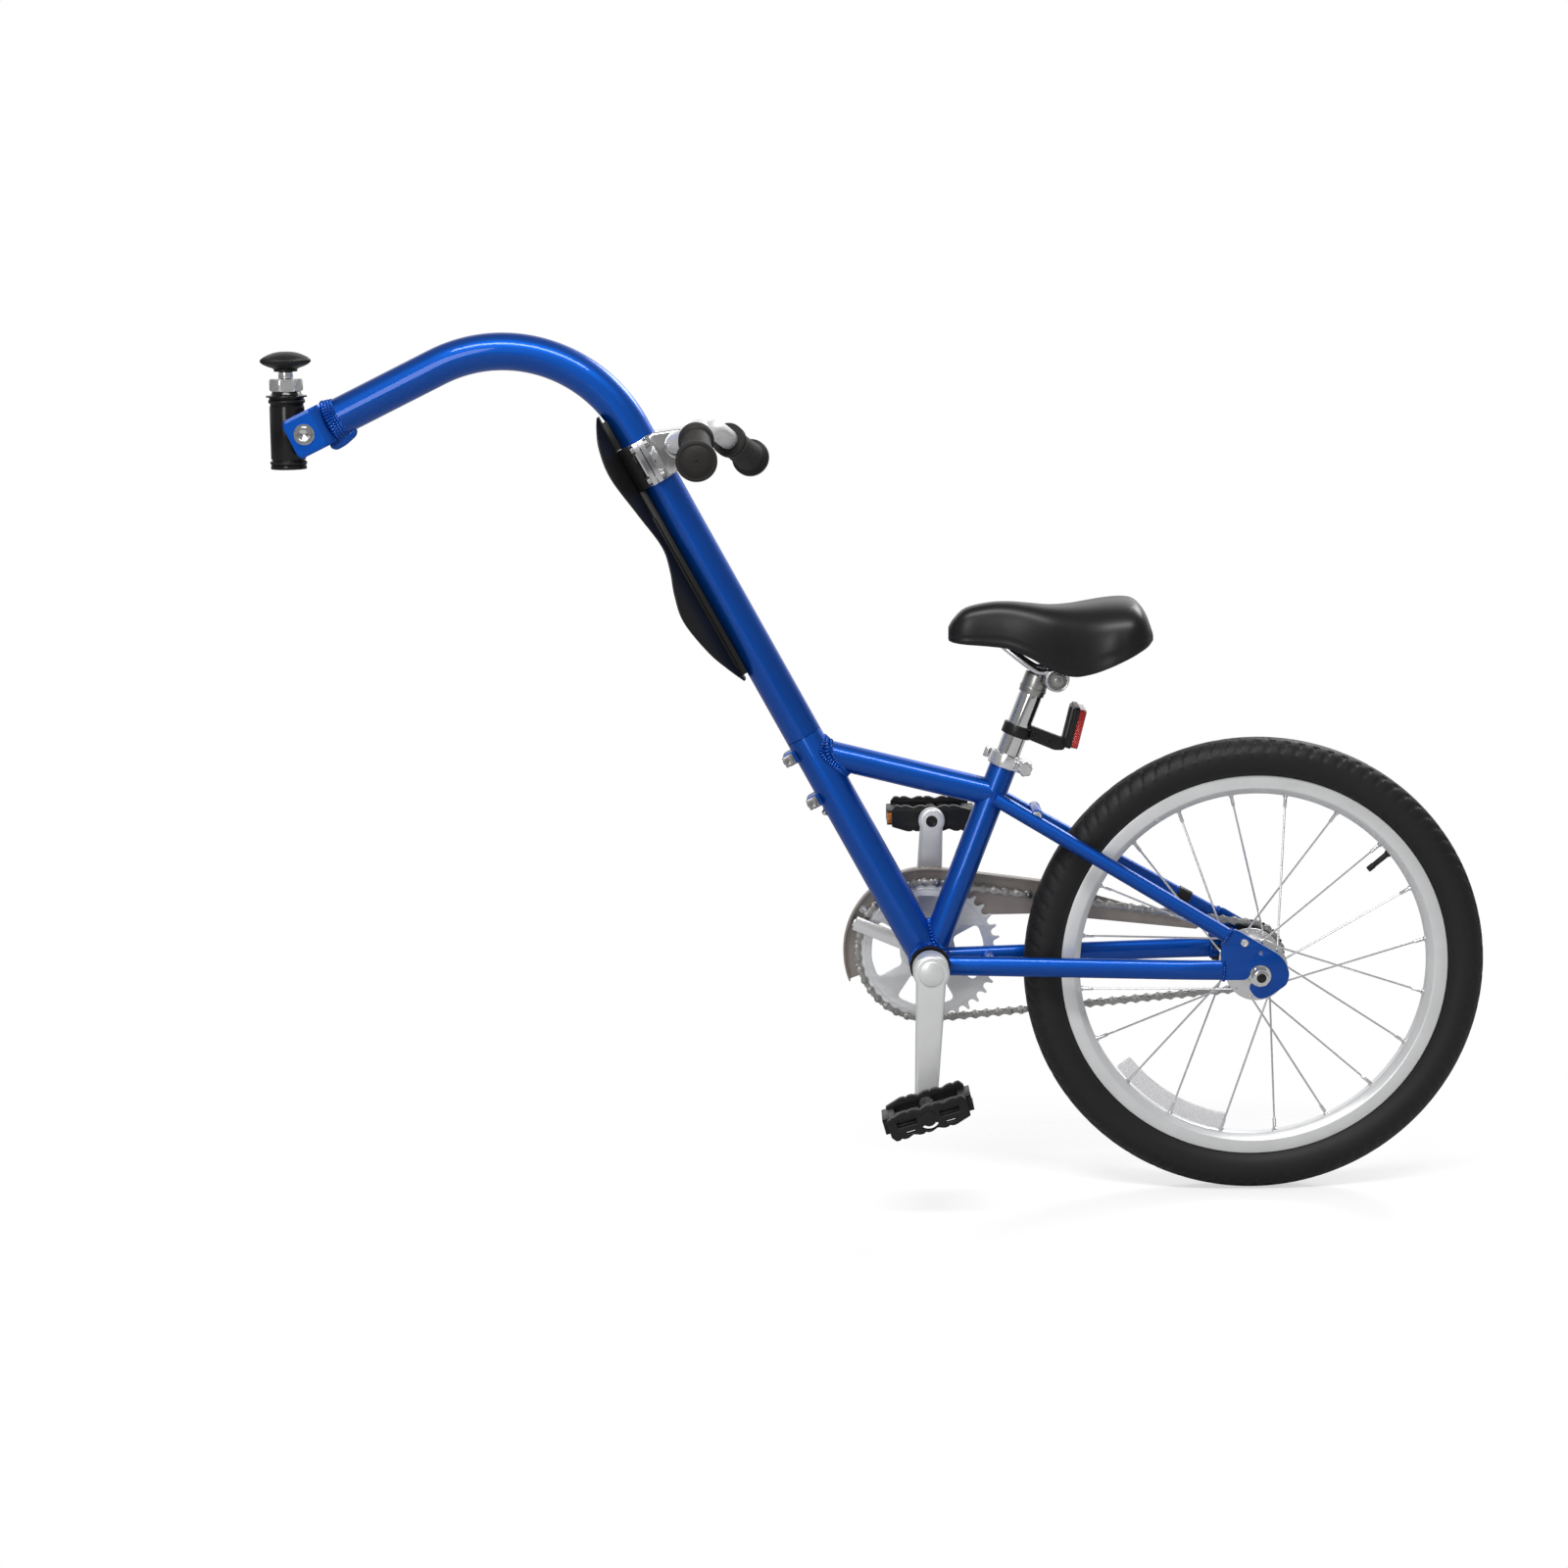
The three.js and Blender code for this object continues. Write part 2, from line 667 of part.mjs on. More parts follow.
function buildHitch() {
  const frame = frameAt(bike, hitch.x, hitch.height);
  const bore = hitch.spindleRadius + clearance;
  const lowerBush = hitch.footThickness + clearance;
  const barrel = lowerBush + hitch.lowerBush + clearance;
  const barrelTop = barrel + hitch.barrelLength;
  const upperBush = barrelTop + clearance;
  const washer = upperBush + hitch.upperBush + clearance;
  const washerTop = washer + hitch.washerThickness;
  const nut = washerTop + hitch.collarHeight + clearance;
  const nutTop = nut + hitch.nutHeight;
  const sleeve = nutTop + clearance;
  const knobBottom = sleeve + hitch.sleeveHeight + clearance;

  const spindle = revolveUp([
    [0, 0],
    [hitch.footRadius, 0],
    [hitch.footRadius, hitch.footThickness],
    [hitch.spindleRadius, hitch.footThickness],
    [hitch.spindleRadius, nutTop],
    [hitch.studRadius, nutTop],
    [hitch.studRadius, nutTop + hitch.studLength],
    [0, nutTop + hitch.studLength],
  ]);
  add(frame, "hitch_spindle", spindle, blackPaint);

  const flangedBush = (face, flange, towardBarrel) => {
    const root = towardBarrel > 0 ? face + flange : face;
    const end = root + towardBarrel * hitch.bushSleeveLength;
    const flangeRing = ringUp(bore, hitch.bushRadius, face, face + flange);
    return join(flangeRing, ringUp(bore, hitch.bushSleeveRadius, Math.min(face, end), Math.max(face + flange, end)));
  };
  add(frame, "lower_bush", flangedBush(lowerBush, hitch.lowerBush, 1), blackPlastic);
  add(frame, "upper_bush", flangedBush(upperBush, hitch.upperBush, -1), blackPlastic);

  const lug = join(
    rodAcross(hitch.pivotBack, hitch.pivotUp, -hitch.lugHalfWidth, hitch.lugHalfWidth, hitch.lugRadius),
    box(0, hitch.pivotBack, -hitch.barrelRadius / 2, hitch.barrelRadius / 2,
      hitch.pivotUp - hitch.lugRadius, hitch.pivotUp + hitch.lugRadius),
  );
  const tube = rod(at(0, 0, barrel), at(0, 0, barrelTop), hitch.barrelRadius);
  const swivel = cut(
    join(tube, lug),
    rod(at(0, 0, barrel - overrun), at(0, 0, barrelTop + overrun), hitch.bushSleeveRadius + clearance),
    rodAcross(hitch.pivotBack, hitch.pivotUp, -hitch.bushRadius - overrun, hitch.bushRadius + overrun,
      pivotBolt.radius + clearance, 12),
  );
  add(frame, "hitch_barrel", swivel, blackPaint);

  const washerRing = ringUp(bore, hitch.washerRadius, washer, washerTop);
  const collarRing = ringUp(bore, hitch.collarRadius, washer, nut - clearance);
  add(frame, "thrust_washer", join(washerRing, collarRing), blackPaint);
  add(frame, "hitch_lock_nut", cut(
    rod(at(0, 0, nut), at(0, 0, nutTop), hitch.nutRadius, 6),
    rod(at(0, 0, nut - overrun), at(0, 0, nutTop + overrun), bore),
  ), silver);
  const studBore = hitch.studRadius + clearance;
  add(frame, "knob_sleeve", ringUp(studBore, hitch.sleeveRadius, sleeve, sleeve + hitch.sleeveHeight), silver);

  // The knob is a ribbed lens shape on a short neck, and its bore takes the stud
  const neckTop = knobBottom + knob.neckHeight;
  const knobTop = knobBottom + knob.height;
  const middle = (neckTop + knobTop) / 2;
  const lens = new THREE.Shape();
  for (let i = 0; i < knob.lobes * 2; i += 1) {
    const angle = (turn * i) / knob.lobes / 2;
    const radius = i % 2 ? knob.radius - knob.lobeDepth : knob.radius;
    if (i) lens.lineTo(radius * Math.cos(angle), radius * Math.sin(angle));
    else lens.moveTo(radius, 0);
  }
  const dome = revolveUp([
    [0, knobBottom],
    [knob.neckRadius, knobBottom],
    [knob.neckRadius, neckTop],
    [knob.radius, middle - knob.edgeHeight / 2],
    [knob.radius, middle + knob.edgeHeight / 2],
    [knob.topRadius, knobTop],
    [0, knobTop],
  ]);
  const studDepth = nutTop + hitch.studLength + knob.edgeHeight / 2;
  add(frame, "hitch_knob", cut(
    common(planPlate(lens, knobBottom - overrun, knobTop + overrun), dome),
    rod(at(0, 0, knobBottom - overrun), at(0, 0, studDepth), studBore, 12),
  ), blackPlastic);

  // Pivot bolt across the barrel and the yoke's ears
  const yokeFace = yoke.innerHalfWidth + yoke.thickness + clearance;
  const washerFace = yokeFace + pivotBolt.washerThickness;
  const pivot = frameAt(bike, hitch.x + hitch.pivotBack, hitch.height + hitch.pivotUp, -yoke.rise);
  add(pivot, "pivot_bolt", join(
    rodAcross(0, 0, -washerFace, washerFace + pivotBolt.nutLength, pivotBolt.radius, 12),
    rodAcross(0, 0, -washerFace, -yokeFace, pivotBolt.washerRadius),
    rodAcross(0, 0, -washerFace - pivotBolt.headLength, -washerFace, pivotBolt.headRadius),
    rodAcross(0, 0, yokeFace, washerFace, pivotBolt.washerRadius),
    rodAcross(0, 0, washerFace, washerFace + pivotBolt.nutLength, pivotBolt.nutRadius, 6),
  ), steel);
  return pivot;
}

// Yoke: a strip bent into a U whose ears stand beside the barrel
function buildYoke(pivot) {
  const outer = yoke.innerHalfWidth + yoke.thickness;
  const web = yoke.bendStart + yoke.bendRadius;
  const bend = yoke.bendRadius;
  const inner = bend - yoke.thickness;
  const strip = new THREE.Shape();
  strip.moveTo(-yoke.earLength, -outer);
  strip.lineTo(yoke.bendStart, -outer);
  strip.absarc(yoke.bendStart, bend - outer, bend, -turn / 4, 0);
  strip.lineTo(web, outer - bend);
  strip.absarc(yoke.bendStart, outer - bend, bend, 0, turn / 4);
  strip.lineTo(-yoke.earLength, outer);
  strip.lineTo(-yoke.earLength, yoke.innerHalfWidth);
  strip.lineTo(yoke.bendStart, yoke.innerHalfWidth);
  strip.absarc(yoke.bendStart, outer - bend, inner, turn / 4, 0, true);
  strip.lineTo(web - yoke.thickness, bend - outer);
  strip.absarc(yoke.bendStart, bend - outer, inner, 0, -turn / 4, true);
  strip.lineTo(-yoke.earLength, -yoke.innerHalfWidth);
  const side = roundedRectangle(-yoke.earLength, web + overrun, -yoke.halfHeight, yoke.halfHeight, yoke.cornerRadius);
  const bent = common(
    planPlate(strip, -yoke.halfHeight, yoke.halfHeight, 2),
    plate(side, -outer - overrun, outer + overrun, 1),
  );
  const hole = rodAcross(0, 0, -outer - overrun, outer + overrun, pivotBolt.radius + clearance, 12);
  add(pivot, "drawbar_yoke", cut(bent, hole), paint);
}

// Drawbar: a straight from the yoke, one long bend and a straight down to the spigot in the frame
function buildDrawbar(pivot) {
  const start = placeOf(at(0, 0, 0), pivot, bike);
  const rise = at(Math.cos(yoke.rise), 0, Math.sin(yoke.rise));
  const fall = at(Math.cos(mainTube.lean), 0, -Math.sin(mainTube.lean));
  const side = at(Math.sin(mainTube.lean), 0, Math.cos(mainTube.lean));
  const bend = drawbar.bendRadius;
  const centreSide = at(Math.sin(yoke.rise), 0, -Math.cos(yoke.rise));
  const foot = at(bottomBracket.x, 0, bottomBracket.height);
  const reach = foot.clone().sub(start).dot(side) - bend * centreSide.dot(side) - bend;
  const straight = reach / rise.dot(side);
  const bendStart = start.clone().addScaledVector(rise, straight);
  const centre = bendStart.clone().addScaledVector(centreSide, bend);
  const total = yoke.rise + mainTube.lean;
  const stations = [{ place: start.clone().addScaledVector(rise, yoke.bendStart + yoke.bendRadius + clearance), angle: yoke.rise }];
  for (let i = 0; i <= drawbar.bendSteps; i += 1) {
    const angle = yoke.rise - (total * i) / drawbar.bendSteps;
    const place = centre.clone().add(at(-Math.sin(angle), 0, Math.cos(angle)).multiplyScalar(bend));
    stations.push({ place, angle });
  }
  const onTube = (along) => foot.clone().addScaledVector(fall, -along);
  stations.push({ place: onTube(mainTube.seam), angle: -mainTube.lean });
  const ring = (station, radius) =>
    ringOf(station.place, at(0, 1, 0), at(-Math.sin(station.angle), 0, Math.cos(station.angle)), radius, radius);
  const seam = stations[stations.length - 1];
  const spigotRadius = mainTube.radius - mainTube.wall - clearance;
  const spigotEnd = { place: onTube(mainTube.spigotEnd), angle: -mainTube.lean };
  const tube = loft([
    ...stations.map((station) => ring(station, mainTube.radius)),
    ring(seam, spigotRadius),
    ring(spigotEnd, spigotRadius),
  ]);
  const buttonHole = rod(
    at(-mainTube.radius - overrun, 0, snapButton.place),
    at(snapButton.holeDepth - mainTube.radius - mainTube.wall / 2 + overrun - snapButton.radius, 0, snapButton.place),
    snapButton.holeRadius, 12,
  );
  add(bike, "drawbar_tube", cut(tube, moved(buttonHole, mainTubeFrame, bike)), paint);
  const outside = -mainTube.radius - snapButton.proud;
  add(mainTubeFrame, "snap_button", join(
    rod(at(outside + snapButton.radius / 2, 0, snapButton.place), at(outside + snapButton.length, 0, snapButton.place),
      snapButton.radius, 12),
    rod(at(outside, 0, snapButton.place), at(outside + snapButton.radius / 2, 0, snapButton.place),
      snapButton.radius / 2, 12, snapButton.radius),
  ), steel);
}

// Handlebar clamp: two half shells round the drawbar, the rear one carrying the bar

const barFrame = frameAt(mainTubeFrame, barClamp.barBack, barClamp.place, turn / 4 - mainTube.lean);
barFrame.rotation.set(0, turn / 4 - mainTube.lean, 0);
const barAxis = new THREE.Group();
barAxis.rotation.set(handlebar.roll, 0, handlebar.turn, "ZXY");
barFrame.add(barAxis);

function buildBarClamp() {
  const z0 = barClamp.place - barClamp.height / 2;
  const z1 = barClamp.place + barClamp.height / 2;
  const bore = around(mainTube.radius);
  const shell = bore + barClamp.wall;
  const half = (sign) => {
    const shape = new THREE.Shape();
    const inside = Math.acos(barClamp.split / bore);
    const outside = Math.acos(barClamp.split / shell);
    const middle = sign > 0 ? 0 : turn / 2;
    shape.absarc(0, 0, shell, middle - outside, middle + outside);
    shape.absarc(0, 0, bore, middle + inside, middle - inside, true);
    return planPlate(shape, z0, z1, 4);
  };
  const flange = (side, sign) => {
    const edges = [barClamp.flangeInner - barClamp.wall / 2, barClamp.flangeOuter].map((y) => y * side).sort((a, b) => a - b);
    const faces = [barClamp.split, barClamp.split + barClamp.flangeThickness].map((x) => x * sign).sort((a, b) => a - b);
    return box(faces[0], faces[1], edges[0], edges[1], z0, z1);
  };
  const boltPlaces = [1, -1].map((end) => barClamp.place + (end * barClamp.boltSpacing) / 2);
  const boltY = -(shell + barClamp.flangeOuter) / 2;
  const holes = boltPlaces.map((z) =>
    rod(at(-shell, boltY, z), at(shell, boltY, z), barClamp.boltRadius + clearance, boltSides));
  add(mainTubeFrame, "bar_clamp_front", cut(join(half(-1), flange(-1, -1), flange(1, -1)), ...holes), silver);

  // The rear half hooks over the far flange of the front half and tapers to the bar's ring
  const back = barClamp.split + barClamp.flangeThickness;
  const lipInner = barClamp.flangeOuter + clearance;
  const lip = join(
    box(-back - clearance - barClamp.lipThickness, back, lipInner, lipInner + barClamp.lipThickness, z0, z1),
    box(-back - clearance - barClamp.lipThickness, -back - clearance, lipInner - barClamp.lipReach,
      lipInner + barClamp.lipThickness, z0, z1),
    box(barClamp.split, back, barClamp.flangeOuter - clearance, lipInner + barClamp.lipThickness, z0, z1),
  );
  const bridge = new THREE.Shape();
  bridge.moveTo(mainTube.radius / 2, z0);
  bridge.lineTo(mainTube.radius, z0);
  bridge.lineTo(barClamp.barBack, barClamp.place - barClamp.barRingRadius);
  bridge.absarc(barClamp.barBack, barClamp.place, barClamp.barRingRadius, -turn / 4, turn / 4);
  bridge.lineTo(mainTube.radius, z1);
  bridge.lineTo(mainTube.radius / 2, z1);
  const block = plate(bridge, -barClamp.bridgeHalfWidth, barClamp.bridgeHalfWidth, 4);
  const tubeBore = rod(at(0, 0, z0 - overrun), at(0, 0, z1 + overrun), bore);
  const barBore = moved(
    rodAcross(0, 0, -barClamp.flangeOuter, barClamp.flangeOuter, around(handlebar.radius, smallSides), smallSides),
    barAxis, mainTubeFrame,
  );
  add(mainTubeFrame, "bar_clamp_rear", cut(
    join(half(1), flange(-1, 1), flange(1, 1), lip, block), tubeBore, barBore, ...holes,
  ), silver);

  const names = ["clamp_bolt_upper", "clamp_bolt_lower"];
  boltPlaces.forEach((z, i) => {
    const rear = back + clearance;
    add(mainTubeFrame, names[i], join(
      rod(at(-rear - barClamp.boltNutLength, boltY, z), at(rear, boltY, z), barClamp.boltRadius, boltSides),
      rod(at(rear, boltY, z), at(rear + barClamp.boltHeadLength, boltY, z), barClamp.boltHeadRadius, 12),
      rod(at(-rear - barClamp.boltNutLength, boltY, z), at(-rear, boltY, z), barClamp.boltHeadRadius, 6),
    ), steel);
  });
}

function buildHandlebar() {
  const half = [
    at(0, handlebar.straight, 0),
    at(handlebar.kneeBack * 0.32, handlebar.straight + (handlebar.kneeY - handlebar.straight) * 0.3,
      handlebar.kneeRise * 0.25),
    at(handlebar.kneeBack * 0.78, handlebar.straight + (handlebar.kneeY - handlebar.straight) * 0.62,
      handlebar.kneeRise * 0.75),
    at(handlebar.kneeBack, handlebar.kneeY, handlebar.kneeRise),
    at((handlebar.kneeBack + handlebar.gripBack) / 2, (handlebar.kneeY * 2 + handlebar.gripY) / 3,
      (handlebar.kneeRise * 3 + handlebar.gripRise) / 4),
    at(handlebar.gripBack, handlebar.gripY, handlebar.gripRise),
    at(handlebar.endBack, handlebar.endY, handlebar.endRise),
  ];
  const mirrored = half.map((p) => at(p.x, -p.y, p.z)).reverse();
  add(barAxis, "handlebar", tubeThrough([...mirrored, ...half], handlebar.radius, 12), chrome);

  // Grips slide over the bar's ends and close them with a round cap
  const inner = half[5];
  const end = half[6];
  const along = end.clone().sub(inner);
  const reach = along.length();
  along.normalize();
  const sleeve = revolve([
    [0, reach + clearance],
    [handlebar.radius + clearance, reach + clearance],
    [handlebar.radius + clearance, grip.flangeThickness],
    [grip.flangeRadius, grip.flangeThickness],
    [grip.flangeRadius, grip.flangeThickness * 2],
    [grip.radius, grip.flangeThickness * 2.5],
    [grip.flangeRadius, grip.flangeThickness * 3],
    [grip.flangeRadius, grip.flangeThickness * 4],
    [grip.waistRadius, grip.flangeThickness * 5],
    [grip.radius, reach - grip.capThickness / 2],
    [grip.capRadius, reach],
    [grip.capRadius, reach + grip.capThickness],
    [0, reach + grip.capThickness * 1.3],
  ]);
  for (const [name, side] of [["grip_left", -1], ["grip_right", 1]]) {
    const heading = at(along.x, along.y * side, along.z);
    const facing = new THREE.Quaternion().setFromUnitVectors(at(0, 1, 0), heading);
    const piece = add(barAxis, name, sleeve, rubber);
    piece.quaternion.copy(facing);
    piece.position.set(inner.x, inner.y * side, inner.z);
  }
}

// Mudguard: a dished flap whose wings sweep forward, on a pad strapped over the clamp's front half

const flapShares = [
  { along: 0, width: 0.24, reach: 0.02 },
  { along: 0.06, width: 0.58, reach: 0.32 },
  { along: 0.15, width: 0.84, reach: 0.72 },
  { along: 0.28, width: 1, reach: 1 },
  { along: 0.37, width: 0.88, reach: 0.8 },
  { along: 0.45, width: 0.68, reach: 0.44 },
  { along: 0.53, width: 0.54, reach: 0.26 },
  { along: 0.66, width: 0.68, reach: 0.48 },
  { along: 0.81, width: 0.86, reach: 0.72 },
  { along: 0.91, width: 0.74, reach: 0.55 },
  { along: 0.97, width: 0.5, reach: 0.24 },
  { along: 1, width: 0.2, reach: 0.02 },
];
const flapRibShares = [-1, -0.55, 0, 0.55, 1];

function buildMudguard() {
  const spine = -mainTube.radius - mudguard.tubeGap;
  const padInner = around(around(mainTube.radius) + barClamp.wall);
  const rings = flapShares.map((share) => {
    const z = mudguard.bottom + (mudguard.top - mudguard.bottom) * share.along;
    const halfWidth = mudguard.halfWidth * share.width;
    const dish = (side) => spine - mudguard.reach * share.reach * side ** 2;
    const rear = flapRibShares.map((side) => at(dish(side), halfWidth * side, z));
    const front = flapRibShares.map((side) => at(dish(side) - mudguard.thickness, halfWidth * side, z)).reverse();
    return [...rear, ...front];
  });
  const pad = new THREE.Shape();
  pad.absarc(0, 0, padInner + mudguard.padThickness, turn / 2 - mudguard.padHalfAngle, turn / 2 + mudguard.padHalfAngle);
  pad.absarc(0, 0, padInner, turn / 2 + mudguard.padHalfAngle, turn / 2 - mudguard.padHalfAngle, true);
  const padPiece = planPlate(pad, barClamp.place - barClamp.height / 2, barClamp.place + barClamp.height / 2, 4);
  const room = rod(
    at(0, 0, barClamp.place - barClamp.height / 2 - overrun), at(0, 0, barClamp.place + barClamp.height / 2 + overrun),
    padInner, tubeSides,
  );
  add(mainTubeFrame, "mudguard", cut(join(loft(rings), padPiece), room), blackPlastic);
}

// Frame

const acrossTube = (frame, radius, length, target) => moved(rod(at(0, 0, 0), at(0, 0, length), radius, 24), frame, target);
const shellCutter = () => rodAcross(0, 0, -bottomBracket.shellWidth, bottomBracket.shellWidth,
  bottomBracket.shellRadius + clearance, 24);

function buildMainTube() {
  const top = mainTube.seam - clearance;
  const lugs = pinchLug.places.map((z) => join(
    rodAcross(-pinchLug.forward, z, -pinchLug.halfWidth, pinchLug.halfWidth, pinchLug.radius, 12),
    box(-pinchLug.forward, -mainTube.radius / 2, -pinchLug.halfWidth, pinchLug.halfWidth,
      z - pinchLug.radius, z + pinchLug.radius),
  ));
  const holes = pinchLug.places.map((z) =>
    rodAcross(-pinchLug.forward, z, -pinchLug.halfWidth - overrun, pinchLug.halfWidth + overrun,
      pinchLug.boltRadius + clearance, boltSides));
  const slot = box(-pinchLug.forward - pinchLug.radius - overrun, -mainTube.radius / 2,
    -pinchLug.slotWidth / 2, pinchLug.slotWidth / 2, pinchLug.slotEnd, mainTube.seam + overrun);
  const body = join(rod(at(0, 0, 0), at(0, 0, top), mainTube.radius), ...lugs);
  add(mainTubeFrame, "down_tube", cut(
    body,
    rod(at(0, 0, mainTube.boreEnd), at(0, 0, mainTube.seam + overrun), mainTube.radius - mainTube.wall),
    shellCutter(),
    slot,
    rod(at(-mainTube.radius - overrun, 0, snapButton.place), at(-mainTube.radius / 2, 0, snapButton.place),
      snapButton.holeRadius, 12),
    ...holes,
  ), paint);

  const names = ["pinch_bolt_upper", "pinch_bolt_lower"];
  pinchLug.places.forEach((z, i) => {
    const face = pinchLug.halfWidth + clearance;
    const cap = face + pinchLug.headThickness;
    const half = pinchLug.headSize / 2;
    add(mainTubeFrame, names[i], join(
      rodAcross(-pinchLug.forward, z, -cap, face + pinchLug.capLength, pinchLug.boltRadius, boltSides),
      box(-pinchLug.forward - half, -pinchLug.forward + half, -cap, -face, z - half, z + half),
      rodAcross(-pinchLug.forward, z, -cap - pinchLug.capLength, -cap, pinchLug.capRadius, 12),
      rodAcross(-pinchLug.forward, z, face, face + pinchLug.capLength, pinchLug.nutRadius, 6),
    ), steel);
  });
}

function buildFrame() {
  buildMainTube();
  const foot = at(bottomBracket.x, 0, bottomBracket.height);
  const onMain = placeOf(at(0, 0, topTube.onMainTube), mainTubeFrame, bike);
  const onSeat = placeOf(at(0, 0, topTube.onSeatTube), seatTubeFrame, bike);
  const mainCutter = acrossTube(mainTubeFrame, mainTube.radius + clearance, mainTube.seam * 2, bike);
  const seatCutter = acrossTube(seatTubeFrame, seatTube.radius + clearance, seatTube.length, bike);
  add(bike, "top_tube", cut(rod(onMain, onSeat, topTube.radius), mainCutter, seatCutter), paint);

  const seatBore = seatpost.radius + clearance;
  const slot = box(0, seatTube.radius + overrun, -seatTube.slotWidth / 2, seatTube.slotWidth / 2,
    seatTube.length - seatTube.slotLength, seatTube.length + overrun);
  add(seatTubeFrame, "seat_tube", cut(
    rod(at(0, 0, 0), at(0, 0, seatTube.length), seatTube.radius),
    rod(at(0, 0, seatTube.boreEnd), at(0, 0, seatTube.length + overrun), seatBore),
    shellCutter(),
    acrossTube(mainTubeFrame, mainTube.radius + clearance, mainTube.seam, seatTubeFrame),
    slot,
  ), paint);

  const half = bottomBracket.shellWidth / 2;
  const shellGroup = frameAt(bike, foot.x, foot.z);
  add(shellGroup, "bottom_bracket_shell", ringAcross(bottomBracket.bore, bottomBracket.shellRadius, -half, half), paint);
  const cupBore = bottomBracket.spindleRadius + clearance;
  for (const [name, side] of [["bottom_bracket_cup_left", -1], ["bottom_bracket_cup_right", 1]]) {
    const face = (half + clearance) * side;
    const rimFace = face + bottomBracket.flangeWidth * side;
    const inside = (half - bottomBracket.flangeWidth * 3) * side;
    const cupRadius = bottomBracket.bore - clearance;
    add(shellGroup, name, revolve([
      [cupBore, inside],
      [cupRadius, inside],
      [cupRadius, face],
      [bottomBracket.flangeRadius, face],
      [bottomBracket.flangeRadius, rimFace],
      [cupBore, rimFace],
    ]), blackPlastic);
  }
  buildStays(seatCutter, mainCutter);
}

// Dropout outline round the axle, in real places from the axle's middle
const dropoutOutline = {
  lobe: [[-28, 52], [-42, 36], [-42, -4.5], [-14.5, -4.5], [-12.5, -13]],
  lower: [[0, -25.7], [8.6, -24], [29, -10], [31.7, 2.3], [26.5, 16], [19, 23.6]],
  holes: [[-17.3, 36.4], [0.7, 24.9]],
  slotEnd: 5.6,
};

function dropoutPlate(side) {
  const shape = shapeOf([...dropoutOutline.lobe, ...dropoutOutline.lower]);
  const y0 = side > 0 ? dropout.innerFace : -dropout.innerFace - dropout.thickness;
  const y1 = y0 + dropout.thickness;
  const slotHalf = dropout.slotHeight / 2;
  const slot = new THREE.Shape();
  slot.moveTo(dropoutOutline.lobe[2][0] / 2, -tyre.halfWidth);
  slot.lineTo(-axle.radius, -tyre.halfWidth);
  slot.lineTo(-axle.radius, -slotHalf);
  slot.lineTo(dropoutOutline.slotEnd - slotHalf, -slotHalf);
  slot.absarc(dropoutOutline.slotEnd - slotHalf, 0, slotHalf, -turn / 4, turn / 4);
  slot.lineTo(dropoutOutline.lobe[2][0] / 2, slotHalf);
  const holes = dropoutOutline.holes.map(([x, z]) =>
    rodAcross(x, z, y0 - overrun, y1 + overrun, dropout.holeRadius, boltSides));
  return cut(plate(shape, y0, y1), plate(slot, y0 - overrun, y1 + overrun), ...holes);
}

function buildStays(seatCutter, mainCutter) {
  const foot = at(bottomBracket.x, 0, bottomBracket.height);
  const rearX = axleX + dropoutOutline.lobe[1][0];
  const stayZ = bottomBracket.height - chainStay.drop;
  const stayRearZ = tyre.radius + chainStay.drop * 2;
  const shellHole = shellCutter().translate(foot.x, 0, foot.z);
  const topPlace = placeOf(at(seatStay.topBack, 0, seatStay.topAlong), seatTubeFrame, bike);
  const lobeTop = dropoutOutline.lobe[0];
  const lobeFront = dropoutOutline.lobe[1];
  const edge = at((lobeTop[0] + lobeFront[0]) / 2 + axleX, 0, (lobeTop[1] + lobeFront[1]) / 2 + tyre.radius);
  const edgeAngle = Math.atan2(lobeTop[1] - lobeFront[1], lobeTop[0] - lobeFront[0]);
  for (const [word, side] of [["left", -1], ["right", 1]]) {
    const ring = (x, y, z, width, height) => ringOf(at(x, y * side, z), at(0, 1, 0), at(0, 0, 1), width / 2, height / 2, 12);
    const stay = loft([
      ring(foot.x + chainStay.startX, chainStay.frontY, stayZ, chainStay.frontWidth, chainStay.height),
      ring(foot.x + chainStay.midX, chainStay.midY, stayZ, chainStay.midWidth, chainStay.height),
      ring(rearX - chainStay.rearReach, chainStay.rearY - chainStay.drop, stayRearZ, chainStay.midWidth, chainStay.height),
      ring(rearX + chainStay.drop, chainStay.rearY, stayRearZ, chainStay.rearWidth, chainStay.height),
    ]);
    const pieces = [stay, moved(dropoutPlate(side), wheelFrame, bike)];
    const bridgeX = foot.x + chainStay.bridgeX;
    if (side < 0) {
      const along = (chainStay.bridgeX - chainStay.bridgeRadius - chainStay.startX) / (chainStay.midX - chainStay.startX);
      const frontFace = chainStay.frontY - chainStay.frontWidth / 2;
      const reach = frontFace + (chainStay.midY - chainStay.midWidth / 2 - frontFace) * along - clearance;
      pieces.push(rodAcross(bridgeX, stayZ, -chainStay.midY, reach, chainStay.bridgeRadius, smallSides));
    }
    add(bike, "chain_stay_" + word, cut(join(...pieces), shellHole, seatCutter, mainCutter), paint);

    const top = at(topPlace.x, seatStay.topY * side, topPlace.z);
    const bottom = at(edge.x, seatStay.bottomY * side, edge.z);
    const heading = bottom.clone().sub(top).normalize();
    const bar = rod(top.clone().addScaledVector(heading, -seatStay.lead), bottom.clone().addScaledVector(heading, seatStay.radius),
      seatStay.radius, 12);
    const far = seatStay.radius * 4;
    const beyond = box(-far, far, -axle.halfLength * 2, axle.halfLength * 2, -far, clearance)
      .rotateY(-edgeAngle)
      .translate(edge.x, 0, edge.z);
    add(bike, "seat_stay_" + word, cut(bar, seatCutter, beyond), paint);
  }
}

// Seat

